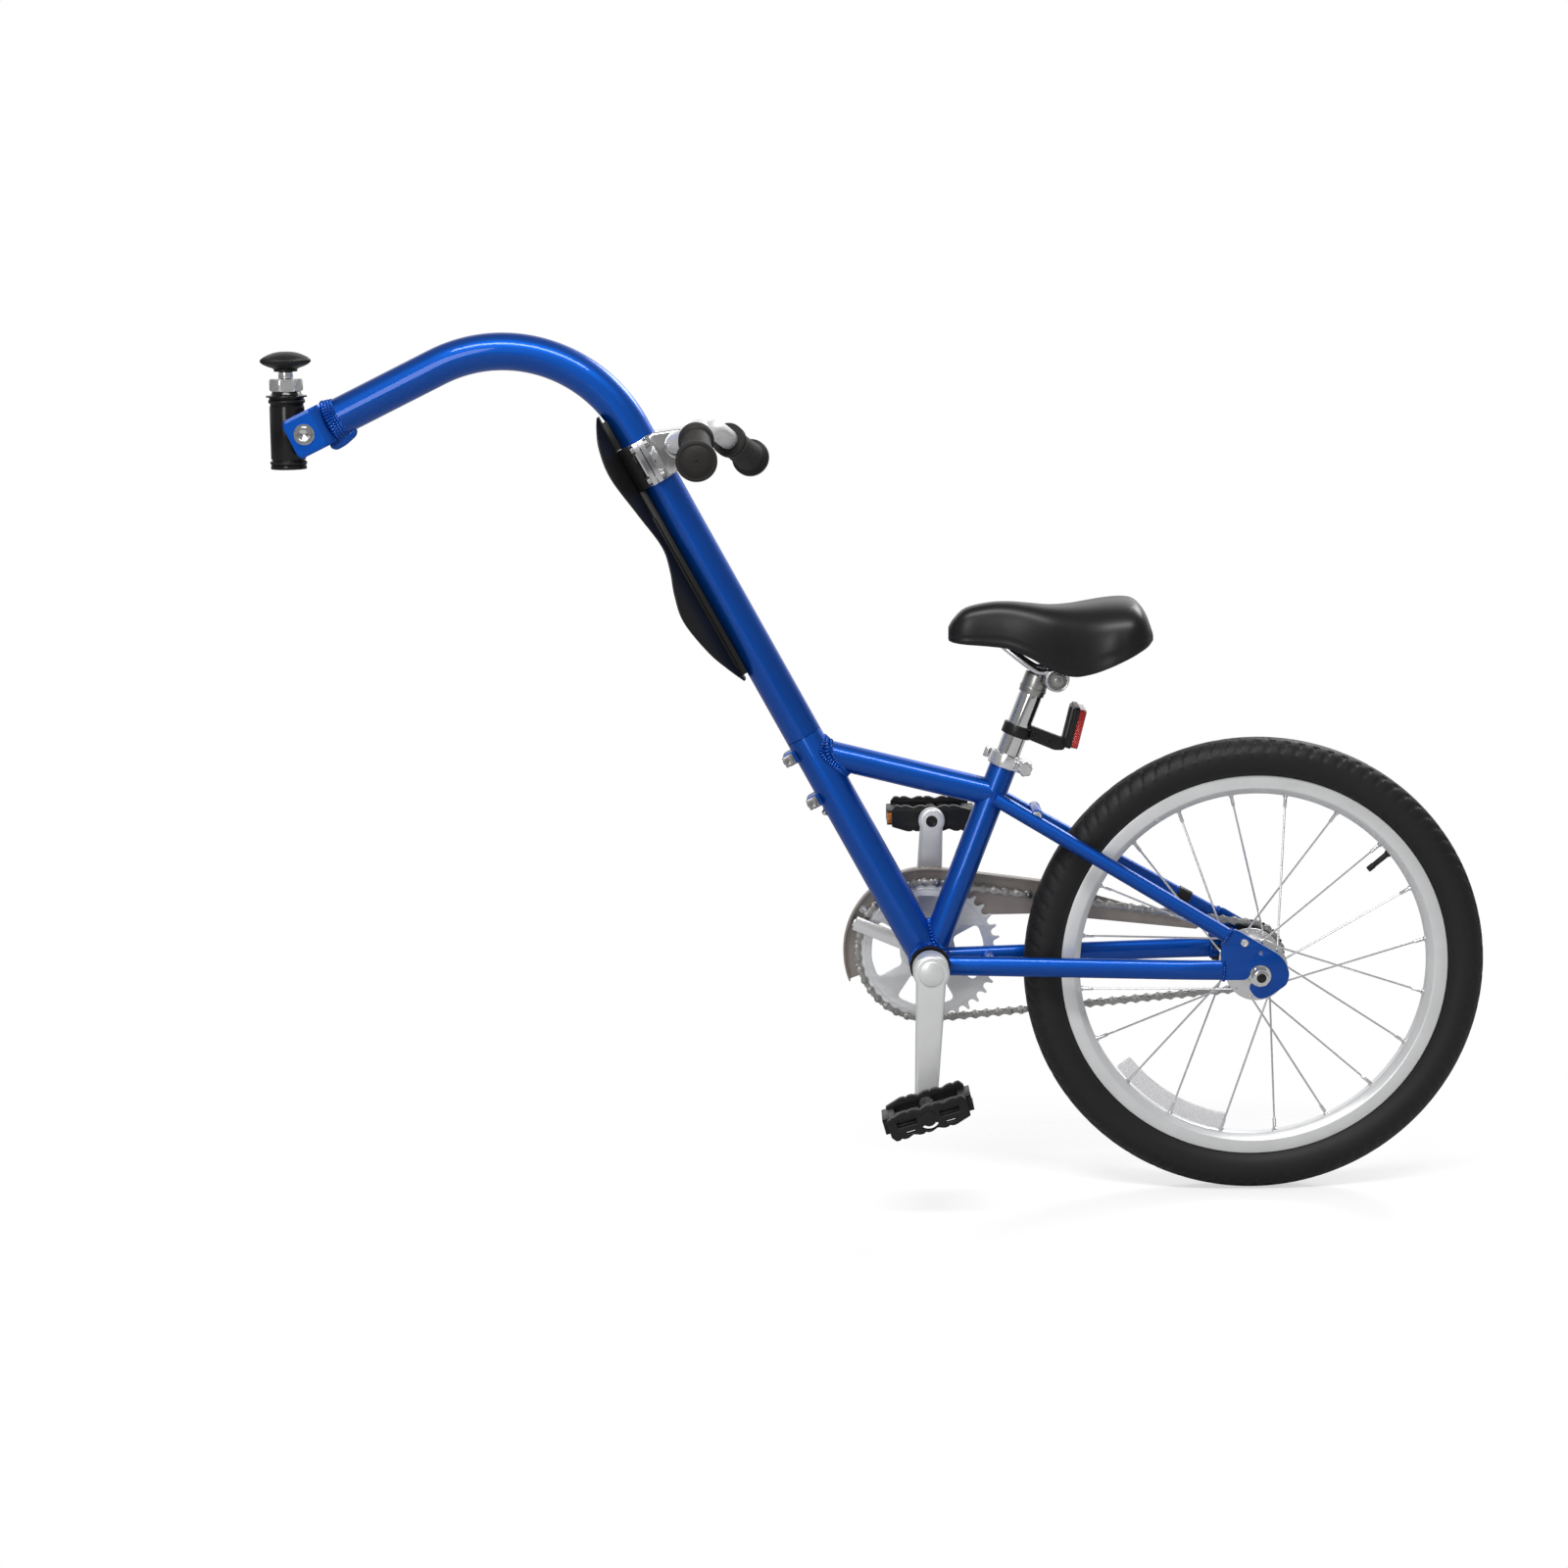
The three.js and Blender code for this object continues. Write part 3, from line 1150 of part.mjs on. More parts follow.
function buildSeat() {
  const post = revolveUp([
    [0, seatpost.bottom],
    [seatpost.radius, seatpost.bottom],
    [seatpost.radius, seatpost.shoulder],
    [seatpost.neckRadius, seatpost.neck],
    [seatpost.neckRadius, seatpost.top],
    [0, seatpost.top],
  ]);
  add(seatTubeFrame, "seatpost", post, chrome);

  // Collar round the slotted tube top, with the two ears that the quick release pulls together
  const bottom = seatCollar.bottom;
  const top = bottom + seatCollar.height;
  const ears = box(seatTube.radius, seatCollar.earLength, -seatCollar.earHalfWidth, seatCollar.earHalfWidth, bottom, top);
  add(seatTubeFrame, "seat_collar", cut(
    join(rod(at(0, 0, bottom), at(0, 0, top), seatCollar.radius), ears),
    rod(at(0, 0, bottom - overrun), at(0, 0, top + overrun), seatTube.radius + clearance),
    box(0, seatCollar.earLength + overrun, -seatTube.slotWidth / 2, seatTube.slotWidth / 2, bottom - overrun, top + overrun),
    rodAcross(quickRelease.back, quickRelease.up, -seatCollar.radius, seatCollar.radius,
      quickRelease.rodRadius + clearance, boltSides),
  ), silver);

  // Skewer with its nut on the near side and, on the far side, an eye round the lever's pin
  const earFace = seatCollar.earHalfWidth + clearance;
  const pin = earFace + quickRelease.camRadius;
  const eyeEnd = pin + quickRelease.rodRadius;
  add(seatTubeFrame, "qr_skewer", join(
    rodAcross(quickRelease.back, quickRelease.up, -earFace - quickRelease.nutLength, eyeEnd, quickRelease.rodRadius, boltSides),
    rodAcross(quickRelease.back, quickRelease.up, -earFace - quickRelease.nutLength, -earFace, quickRelease.nutRadius, smallSides),
  ), silver);

  // Lever: a forked cam drum beside the ear and a curved handle that lies round the collar
  const sweep = new THREE.Shape();
  const outer = quickRelease.leverRadius;
  const inner = outer - quickRelease.leverWidth;
  const start = Math.atan2(pin, quickRelease.back) - quickRelease.leverTuck;
  sweep.absarc(0, 0, outer + clearance, start, start + quickRelease.leverSweep);
  sweep.absarc(0, 0, inner + clearance, start + quickRelease.leverSweep, start, true);
  const bottomFace = quickRelease.up - quickRelease.leverHeight / 2;
  const topFace = quickRelease.up + quickRelease.leverHeight / 2;
  const blade = planPlate(sweep, bottomFace, topFace, 4);
  const cam = rod(at(quickRelease.back, pin, bottomFace), at(quickRelease.back, pin, topFace), quickRelease.camRadius, 16);

  // The fork leaves the eye free from where it points at rest to where it points with the lever open
  const slotHalf = quickRelease.rodRadius + clearance;
  const eyeRadius = Math.hypot(quickRelease.rodRadius, quickRelease.rodRadius) + clearance;
  const forkReach = quickRelease.camRadius + quickRelease.leverWidth;
  const fork = new THREE.Shape();
  fork.moveTo(0, 0);
  fork.absarc(0, 0, forkReach, -turn / 4, quickRelease.opening - turn / 4);
  const sector = planPlate(fork, -slotHalf, slotHalf, 4);
  const restSlot = box(-slotHalf, slotHalf, -forkReach, 0, -slotHalf, slotHalf);
  const openSlot = restSlot.clone().rotateZ(quickRelease.opening);
  const forkSlot = join(sector, restSlot, openSlot).translate(quickRelease.back, pin, quickRelease.up);
  const eyeRoom = rod(at(quickRelease.back, pin, quickRelease.up - slotHalf), at(quickRelease.back, pin, quickRelease.up + slotHalf),
    eyeRadius, smallSides);
  add(seatTubeFrame, "qr_lever", cut(join(blade, cam), forkSlot, eyeRoom), silver);

  // Saddle clamp: a sleeve on the post's neck and a drum behind it, with a through bolt and two cups
  const sleeveTop = seatpost.top + clearance;
  const drum = rodAcross(saddleClamp.back, saddleClamp.up, -saddleClamp.drumHalfWidth, saddleClamp.drumHalfWidth,
    saddleClamp.drumRadius);
  const sleeve = rod(at(0, 0, sleeveTop - saddleClamp.sleeveHeight), at(0, 0, sleeveTop + clearance * 6), saddleClamp.sleeveRadius);
  const cups = [-1, 1].map((side) => {
    const face = (rails.spacing + rails.radius + clearance) * side;
    return rodAcross(saddleClamp.back, saddleClamp.up, Math.min(face, face + saddleClamp.cupThickness * side),
      Math.max(face, face + saddleClamp.cupThickness * side), saddleClamp.cupRadius);
  });
  const bolt = rodAcross(saddleClamp.back, saddleClamp.up, -saddleClamp.boltHalfLength, saddleClamp.boltHalfLength,
    saddleClamp.boltRadius, boltSides);
  add(seatTubeFrame, "saddle_clamp", cut(
    join(drum, sleeve, bolt, ...cups),
    rod(at(0, 0, 0), at(0, 0, sleeveTop), seatpost.neckRadius + clearance),
    rod(at(0, 0, 0), at(0, 0, seatpost.shoulder + clearance), seatTube.radius),
    rod(at(0, 0, seatpost.shoulder), at(0, 0, seatpost.neck), seatpost.radius + clearance, tubeSides,
      seatpost.neckRadius + clearance),
  ), steel);
  buildReflector();
}

// Rear reflector on a band round the seatpost, written as places in the side view
const reflectorPlaces = {
  armRoot: [236, 506],
  armEnd: [272, 490],
  elbow: [279, 493],
  uprightTop: [289, 535],
  uprightBack: [283.5, 536.5],
  elbowInner: [274, 499],
  armUpper: [240, 514],
  lensBottom: [277, 494],
  lensTop: [288, 538],
};

function buildReflector() {
  const band = ringUp(seatpost.radius + clearance, seatpost.radius + clearance + reflector.bandThickness,
    reflector.bandBottom, reflector.bandBottom + reflector.bandWidth);
  const p = reflectorPlaces;
  const arm = plate(shapeOf([p.armRoot, p.armEnd, p.elbow, p.uprightTop, p.uprightBack, p.elbowInner, p.armUpper]),
    -reflector.armHalfWidth, reflector.armHalfWidth);
  const bottom = at(p.lensBottom[0], 0, p.lensBottom[1]);
  const top = at(p.lensTop[0], 0, p.lensTop[1]);
  const height = top.distanceTo(bottom);
  const lean = Math.atan2(top.x - bottom.x, top.z - bottom.z);
  const face = roundedRectangle(-reflector.halfWidth, reflector.halfWidth, 0, height, reflector.cornerRadius);
  const slab = (from, depth) =>
    new THREE.ExtrudeGeometry(face, { depth, bevelEnabled: false, curveSegments: 1 })
      .rotateX(turn / 4)
      .rotateZ(-turn / 4)
      .translate(from, 0, 0)
      .rotateY(lean)
      .translate(bottom.x, 0, bottom.z);
  const probe = new THREE.Box3().setFromBufferAttribute(slab(0, reflector.housingDepth).attributes.position);
  const backward = probe.min.x < bottom.x - clearance * 2 ? -1 : 1;
  const housing = slab(backward < 0 ? reflector.housingDepth : 0, reflector.housingDepth);
  const lensFrom = reflector.housingDepth + clearance + (backward < 0 ? reflector.lensDepth : 0);
  const postHole = moved(rod(at(0, 0, seatTube.length), at(0, 0, seatpost.shoulder), seatpost.radius + clearance), seatTubeFrame, bike);
  const joined = join(moved(band, seatTubeFrame, bike), arm, housing);
  add(bike, "reflector_bracket", cut(joined, postHole), blackPlastic);
  add(bike, "reflector_lens", slab(lensFrom, reflector.lensDepth), redLens);
}

// Saddle: sections from nose to tail, each an arch over a hollow underside.
// width is a share of the greatest half width; top and skirt are shares of the height from baseZ to topZ.
const saddleShares = [
  { along: 0, width: 0.1, top: 0.62, skirt: 0.44 },
  { along: 0.025, width: 0.2, top: 0.73, skirt: 0.42 },
  { along: 0.085, width: 0.27, top: 0.88, skirt: 0.4 },
  { along: 0.2, width: 0.3, top: 0.955, skirt: 0.375 },
  { along: 0.3, width: 0.34, top: 0.965, skirt: 0.335 },
  { along: 0.4, width: 0.43, top: 0.94, skirt: 0.22 },
  { along: 0.5, width: 0.58, top: 0.91, skirt: 0.07 },
  { along: 0.6, width: 0.77, top: 0.917, skirt: 0 },
  { along: 0.69, width: 0.91, top: 0.95, skirt: 0.05 },
  { along: 0.78, width: 0.99, top: 0.985, skirt: 0.15 },
  { along: 0.87, width: 1, top: 1, skirt: 0.27 },
  { along: 0.93, width: 0.94, top: 0.965, skirt: 0.36 },
  { along: 0.97, width: 0.82, top: 0.83, skirt: 0.42 },
  { along: 1, width: 0.6, top: 0.6, skirt: 0.48 },
];
const archSteps = 12;
const archPower = 0.62;

function saddleSection(share) {
  const x = saddle.noseX + (saddle.tailX - saddle.noseX) * share.along;
  const rise = saddle.topZ - saddle.baseZ;
  return {
    x,
    halfWidth: saddle.halfWidth * share.width,
    top: saddle.baseZ + rise * share.top,
    skirt: saddle.baseZ + rise * share.skirt,
  };
}

// Sideways places of the rails' nose end, as shares of their spacing
const railShares = { nose: 0.35, shoulder: 0.65 };

function buildSaddle() {
  const saddleGroup = new THREE.Group();
  bike.add(saddleGroup);
  const sections = saddleShares.map(saddleSection);
  const rings = sections.map(({ x, halfWidth, top, skirt }) => {
    const ring = [];
    for (let i = 0; i <= archSteps; i += 1) {
      const angle = (turn / 2) * (i / archSteps);
      const side = Math.sign(Math.cos(angle)) * Math.abs(Math.cos(angle)) ** archPower;
      ring.push(at(x, halfWidth * side, skirt + (top - skirt) * Math.sin(angle) ** archPower));
    }
    const lip = Math.min(saddle.skirtThickness, halfWidth / 2);
    const depth = Math.min(saddle.recess, (top - skirt) / 3);
    ring.push(at(x, lip - halfWidth, skirt), at(x, lip - halfWidth, skirt + depth));
    ring.push(at(x, halfWidth - lip, skirt + depth), at(x, halfWidth - lip, skirt));
    return ring;
  });
  add(saddleGroup, "saddle_cover", loft(rings), vinyl);

  // Moulded base under the cover, and the bent rail wire that hangs from it
  const base = sections.slice(2, -2).map(({ x, halfWidth, top, skirt }) => {
    const depth = Math.min(saddle.recess, (top - skirt) / 3);
    const half = halfWidth - Math.min(saddle.skirtThickness, halfWidth / 2) - clearance * 2;
    const upper = skirt + depth - clearance;
    const lower = upper - saddle.shellThickness;
    return [at(x, -half, lower), at(x, half, lower), at(x, half, upper), at(x, -half, upper)];
  });
  const clampPlace = placeOf(at(saddleClamp.back, 0, saddleClamp.up), seatTubeFrame, bike);
  const railLow = clampPlace.z + saddleClamp.boltRadius + rails.radius + clearance * 2;
  const railPath = [
    at(sections[3].x + rails.noseRadius, rails.spacing * railShares.nose, sections[3].skirt + rails.radius / 2),
    at(sections[3].x + rails.noseRadius * 1.5, rails.spacing * railShares.shoulder, sections[3].skirt - rails.radius),
    at(clampPlace.x - saddleClamp.cupRadius * 2, rails.spacing, railLow + rails.radius),
    at(clampPlace.x - saddleClamp.cupRadius, rails.spacing, railLow),
    at(clampPlace.x + saddleClamp.cupRadius * 1.2, rails.spacing, railLow - rails.radius / 4),
    at(clampPlace.x + saddleClamp.cupRadius * 2.6, rails.spacing, railLow + rails.radius / 2),
    at(sections[10].x - rails.noseRadius, rails.spacing, sections[10].skirt - rails.radius),
  ];
  const mirrored = railPath.map((p) => at(p.x, -p.y, p.z)).reverse();
  const wire = tubeThrough([...mirrored, ...railPath], rails.radius, 10);
  const grooves = tubeThrough([...mirrored, ...railPath], rails.radius + clearance, 10);
  add(saddleGroup, "saddle_shell", cut(loft(base), grooves), blackPlastic);
  add(saddleGroup, "saddle_rails", wire, chrome);
}

// Drive

function armOutline(rootRadius, tipRadius, length) {
  const shape = new THREE.Shape();
  const rootAngle = Math.asin(crank.rootHalfWidth / rootRadius);
  const tipAngle = Math.asin(crank.tipHalfWidth / tipRadius);
  shape.absarc(0, 0, rootRadius, turn / 4 + rootAngle, turn / 4 - rootAngle + turn);
  shape.absarc(0, length, tipRadius, tipAngle - turn / 4, (turn * 3) / 4 - tipAngle);
  return shape;
}

function buildCranks() {
  const axisHole = (y0, y1) => rodAcross(0, 0, y0, y1, bottomBracket.spindleRadius + clearance, 16);
  const spindle = rodAcross(0, 0, -bottomBracket.spindleLeft, bottomBracket.spindleRight, bottomBracket.spindleRadius, 16);
  add(crankFrame, "bottom_bracket_spindle", spindle, steel);

  // Right arm points up, with the chainring on its boss; left arm points down
  const rightFace = crank.rightOuter - crank.armThickness;
  const rightArm = plate(armOutline(crank.pedalBossRadius * 1.14, crank.pedalBossRadius, crank.length), rightFace, crank.rightOuter);
  const pedalOut = (face, side) => {
    const end = face + pedal.spindleLength * side;
    const place = side > 0 ? crank.length : -crank.length;
    return rodAcross(0, place, Math.min(face - side, end), Math.max(face - side, end), pedal.spindleRadius, 12);
  };
  const capOuter = crank.rightOuter + crank.capThickness;
  const rightBoss = rodAcross(0, 0, crank.rightInner, crank.rightOuter, crank.rightBossRadius);
  add(crankFrame, "crank_arm_right", cut(
    join(rightArm, rightBoss, rodAcross(0, 0, crank.rightOuter - overrun, capOuter, crank.capRadius), pedalOut(crank.rightOuter, 1)),
    axisHole(crank.rightInner - overrun, bottomBracket.spindleRight + clearance),
  ), silver);

  const leftFace = -crank.leftOuter;
  const leftArm = plate(armOutline(crank.leftBossRadius, crank.pedalBossRadius, crank.length),
    leftFace, leftFace + crank.armThickness).rotateY(turn / 2);
  const mirroredArm = leftArm.translate(0, 0, 0);
  const armBox = new THREE.Box3().setFromBufferAttribute(mirroredArm.attributes.position);
  const leftShape = armBox.min.z < -crank.length / 2 ? mirroredArm : mirroredArm.rotateY(turn / 2);
  const leftBoss = rodAcross(0, 0, leftFace, -crank.leftInner, crank.leftBossRadius);
  add(crankFrame, "crank_arm_left", cut(
    join(leftShape, leftBoss, rodAcross(0, 0, leftFace - crank.capThickness, leftFace + overrun, crank.capRadius), pedalOut(leftFace, -1)),
    axisHole(-bottomBracket.spindleLeft - clearance, -crank.leftInner + overrun),
  ), silver);

  // Chainring: tooth gaps follow the chain's rollers, whatever way the cranks point
  const crankTurn = crank.tilt - chainSlope;
  const firstPin = chainPlace(chain.linkCount - 1);
  const gap = Math.atan2(firstPin.z, firstPin.x) + crankTurn;
  const ring = toothedOutline(chainring.teeth, gap);
  for (let i = 0; i < chainring.windowCount; i += 1) {
    const middle = -turn / 4 + (turn * i) / chainring.windowCount;
    const inset = chainring.windowCorner / chainring.windowInner;
    const window = new THREE.Path();
    window.absarc(0, 0, chainring.windowOuter, middle - chainring.windowHalfAngle, middle + chainring.windowHalfAngle);
    window.absarc(0, 0, chainring.windowInner, middle + chainring.windowHalfAngle - inset, middle - chainring.windowHalfAngle + inset, true);
    ring.holes.push(window);
  }
  const half = chainring.thickness / 2;
  add(crankFrame, "chainring", cut(
    plate(ring, chain.plane - half, chain.plane + half),
    rodAcross(0, 0, 0, chain.plane * 2, crank.rightBossRadius + clearance),
  ), silver);
}

function pedalBody() {
  const halfLength = pedal.length / 2;
  const halfHeight = pedal.height / 2;
  const cage = new THREE.Shape();
  const step = (pedal.length - pedal.barThickness) / pedal.toothCount;
  const points = [];
  for (const side of [1, -1]) {
    const startX = (-halfLength + pedal.barThickness / 2) * side;
    points.push([-halfLength * side, (halfHeight - pedal.toothDepth * 2) * side]);
    for (let i = 0; i < pedal.toothCount; i += 1) {
      const x = startX + step * i * side;
      points.push([x, halfHeight * side], [x + (step / 2) * side, halfHeight * side]);
      if (i < pedal.toothCount - 1) points.push([x + (step * 3 * side) / 4, (halfHeight - pedal.toothDepth) * side]);
    }
    points.push([halfLength * side, (halfHeight - pedal.toothDepth * 2) * side]);
  }
  points.forEach(([x, y], i) => (i ? cage.lineTo(x, y) : cage.moveTo(x, y)));
  const y0 = pedal.offset;
  const y1 = pedal.offset + pedal.width;
  const bars = [-1, 1].map((side) => {
    const outside = (halfLength - clearance * 2) * side;
    const inside = outside - pedal.barThickness * side;
    return box(Math.min(outside, inside), Math.max(outside, inside), y0 + pedal.plateThickness / 2,
      y1 - pedal.plateThickness / 2, -pedal.barHeight / 2, pedal.barHeight / 2);
  });
  const barrel = rodAcross(0, 0, y0 + pedal.plateThickness / 2, y1 - pedal.plateThickness / 2, pedal.barrelRadius, 14);
  const spine = box(-halfLength + pedal.barThickness, halfLength - pedal.barThickness,
    (y0 + y1 - pedal.plateThickness) / 2, (y0 + y1 + pedal.plateThickness) / 2, -pedal.barHeight / 2, pedal.barHeight / 2);
  const bore = rodAcross(0, 0, y0 - overrun, pedal.spindleLength + clearance * 2, pedal.spindleRadius + clearance, 12);
  return cut(
    join(plate(cage, y0, y0 + pedal.plateThickness), plate(cage, y1 - pedal.plateThickness, y1), barrel, spine, ...bars),
    bore,
  );
}

function buildPedals() {
  const body = pedalBody();
  const place = (name, side, face, tilt) => {
    const holder = new THREE.Group();
    holder.position.set(0, face, crank.length * side);
    holder.rotation.y = tilt - crank.tilt;
    crankFrame.add(holder);
    const piece = add(holder, name, body, blackPlastic);
    if (side < 0) piece.rotation.z = turn / 2;
  };
  place("pedal_right", 1, crank.rightOuter, 0);
  place("pedal_left", -1, -crank.leftOuter, pedal.nearTilt);
}

// Chain: side plates scalloped from pin to waist, with rollers between them
function buildChain() {
  const near = chain.innerHalfWidth;
  const far = near + chain.plateThickness;
  const sidePlates = (side) => {
    const rings = Array.from({ length: chain.linkCount * 2 }, (_, i) => {
      const { x, z, out } = chainPlace(i / 2);
      const half = i % 2 ? chain.waistHalfHeight : chain.plateHalfHeight;
      const corner = (y, reach) => at(x + reach * Math.cos(out), y * side, z + reach * Math.sin(out));
      return [corner(near, -half), corner(near, half), corner(far, half), corner(far, -half)];
    });
    return loft(rings, true);
  };
  const rollers = [];
  for (let i = 0; i < chain.linkCount; i += 1) {
    const { x, z } = chainPlace(i);
    rollers.push(rodAcross(x, z, -near - clearance / 2, near + clearance / 2, chain.rollerRadius, chain.rollerSides));
  }
  const piece = add(chainFrame, "chain", join(sidePlates(1), sidePlates(-1), ...rollers), steel);
  piece.position.y = chain.plane;
}

function buildSprocket() {
  const firstPin = chainPlace(Math.ceil(Math.sqrt(centres ** 2 - (ringPitch - sprocketPitch) ** 2) / chain.pitch));
  const gap = Math.atan2(firstPin.z, firstPin.x - centres) - chainSlope;
  const half = sprocket.thickness / 2;
  const teeth = plate(toothedOutline(sprocket.teeth, gap), chain.plane - half, chain.plane + half);
  const body = rodAcross(0, 0, sprocket.bodyInner, sprocket.bodyOuter, sprocket.bodyRadius, 16);
  const bore = rodAcross(0, 0, sprocket.bodyInner - overrun, sprocket.bodyOuter + overrun, around(hub.threadRadius));
  add(wheelFrame, "sprocket", cut(join(teeth, body), bore), blackPaint);
}

// Chain guard, its bracket from the bottom bracket and the strap at its rear end
function buildChainGuard() {
  const guardFrame = frameAt(bike, bottomBracket.x, bottomBracket.height);
  const g = chainGuard;
  const y0 = g.plane;
  const y1 = g.plane + g.thickness;
  const edge = new THREE.Shape();
  const tipTop = g.tipUp + g.tipHeight / 2;
  const tipLow = g.tipUp - g.tipHeight / 2;
  const outline = (shape, outer) => {
    shape.absarc(0, 0, outer, g.frontAngle, g.topAngle, true);
    shape.lineTo(g.kneeX, g.kneeUp - (g.radius - outer));
  };
  outline(edge, g.radius);
  edge.lineTo(g.tipX, tipTop);
  edge.absarc(g.tipX, g.tipUp, g.tipHeight / 2, turn / 4, -turn / 4, true);
  edge.lineTo(g.kneeX, tipLow + g.kneeHeight / 2);
  edge.lineTo(g.innerRadius, g.kneeHeight);
  edge.absarc(0, 0, g.innerRadius, Math.atan2(g.kneeHeight, g.innerRadius), g.frontAngle, false);
  const face = plate(edge, y0, y1, 5);

  // The lip is the outer edge turned in over the chain, ending where the plate dips behind it
  const lip = new THREE.Shape();
  const slope = (tipTop - g.kneeUp) / (g.tipX - g.kneeX);
  const lipZ = g.kneeUp + slope * (g.lipEnd - g.kneeX);
  lip.absarc(0, 0, g.radius, g.frontAngle, g.topAngle, true);
  lip.lineTo(g.kneeX, g.kneeUp);
  lip.lineTo(g.lipEnd, lipZ);
  lip.lineTo(g.lipEnd, lipZ - g.lipThickness);
  lip.lineTo(g.kneeX, g.kneeUp - g.lipThickness);
  lip.absarc(0, 0, g.radius - g.lipThickness, g.topAngle, g.frontAngle, false);
  const turned = plate(lip, y0 - g.lipDepth, y0 + g.thickness / 2, 5);
  add(guardFrame, "chain_guard", join(face, turned), smoke);

  // Bracket: a ring clamped by the right cup's side of the shell, an arm to the front and a tab to the plate
  const reach = g.radius - g.lipThickness - clearance;
  const armY0 = g.bracketPlane - g.bracketThickness;
  const halfWidth = g.bracketWidth / 2;
  const tabDepth = g.bracketThickness;
  const arm = join(
    box(bottomBracket.shellRadius + clearance, reach - tabDepth * 2, armY0, g.bracketPlane, -halfWidth, halfWidth),
    box(reach - tabDepth * 2, reach - tabDepth, armY0, y0 - clearance, -halfWidth / 2, halfWidth / 2),
    box(bottomBracket.shellRadius + clearance, reach - tabDepth, armY0, g.bracketPlane, -halfWidth / 2, halfWidth / 2),
  ).rotateY(-g.bracketAngle);
  const hoop = ringAcross(bottomBracket.shellRadius + clearance, bottomBracket.shellRadius + clearance + g.bracketThickness * 2,
    armY0, g.bracketPlane, 24);
  const stayRoom = [mainTubeFrame, seatTubeFrame].map((frame) =>
    acrossTube(frame, mainTube.radius + clearance * 2, mainTube.seam, guardFrame));
  const bracket = cut(join(arm, hoop), shellCutter(), ...stayRoom);
  const largest = toSolid(bracket).decompose().sort((a, b) => b.volume() - a.volume())[0];
  add(guardFrame, "guard_bracket", toGeometry(largest), smoke);
}

// Wheel

// Tyre side: depths are shares of the height above the rim, widths are shares of the half width
const tyreShares = { shoulder: 0.16, shoulderWidth: 0.76, widest: 0.55 };

function buildWheel() {
  const r = rim;
  const bed = r.halfWidth - r.flangeThickness;
  add(wheelFrame, "rim", revolve([
    [r.innerRadius, -r.innerHalfWidth],
    [r.sideRadius, -r.halfWidth],
    [r.radius, -r.halfWidth],
    [r.radius, -bed],
    [r.bedRadius, -bed],
    [r.bedRadius, bed],
    [r.radius, bed],
    [r.radius, r.halfWidth],
    [r.sideRadius, r.halfWidth],
    [r.innerRadius, r.innerHalfWidth],
  ], wheelSegments), silver);

  const t = tyre;
  const height = t.radius - r.radius - clearance;
  const half = [
    [t.radius, t.crownHalfWidth],
    [t.radius - height * tyreShares.shoulder, t.halfWidth * tyreShares.shoulderWidth],
    [t.radius - height * tyreShares.widest, t.halfWidth],
    [r.radius + clearance, r.halfWidth],
    [r.radius + clearance, t.beadHalfWidth],
    [r.bedRadius + clearance, t.beadHalfWidth],
  ];
  const profile = [...half, ...half.map(([radius, y]) => [radius, -y]).reverse()];
  add(wheelFrame, "tyre", revolve(profile, wheelSegments), rubber);
  buildHub();

  const w = wheelReflector;
  const arc = new THREE.Shape();
  arc.absarc(0, 0, w.outerRadius, w.start, w.end);
  arc.absarc(0, 0, w.innerRadius, w.end, w.start, true);
  add(wheelFrame, "wheel_reflector", plate(arc, -w.nearFace, -w.nearFace + w.thickness, 4), clearLens);

  const locknut = dropout.innerFace - clearance;
  const outerFace = dropout.innerFace + dropout.thickness + clearance;
  add(wheelFrame, "rear_axle", join(
    rodAcross(0, 0, -axle.halfLength, axle.halfLength, axle.radius, 10),
    ringAcross(0, axle.locknutRadius, -locknut, -hub.halfLength - clearance, 14),
    ringAcross(0, axle.locknutRadius, sprocket.bodyOuter + clearance, locknut, 14),
  ), steel);
  for (const [name, side] of [["axle_nut_left", -1], ["axle_nut_right", 1]]) {
    const inside = outerFace * side;
    const step = inside + axle.washerThickness * side;
    const outside = step + axle.nutLength * side;
    add(wheelFrame, name, cut(
      join(
        rodAcross(0, 0, Math.min(inside, step), Math.max(inside, step), axle.washerRadius, 18),
        rodAcross(0, 0, Math.min(inside, outside), Math.max(inside, outside), axle.nutRadius, 6),
      ),
      rodAcross(0, 0, inside - overrun * side, outside + overrun * side, axle.radius + clearance, 10),
    ), chrome);
  }
}

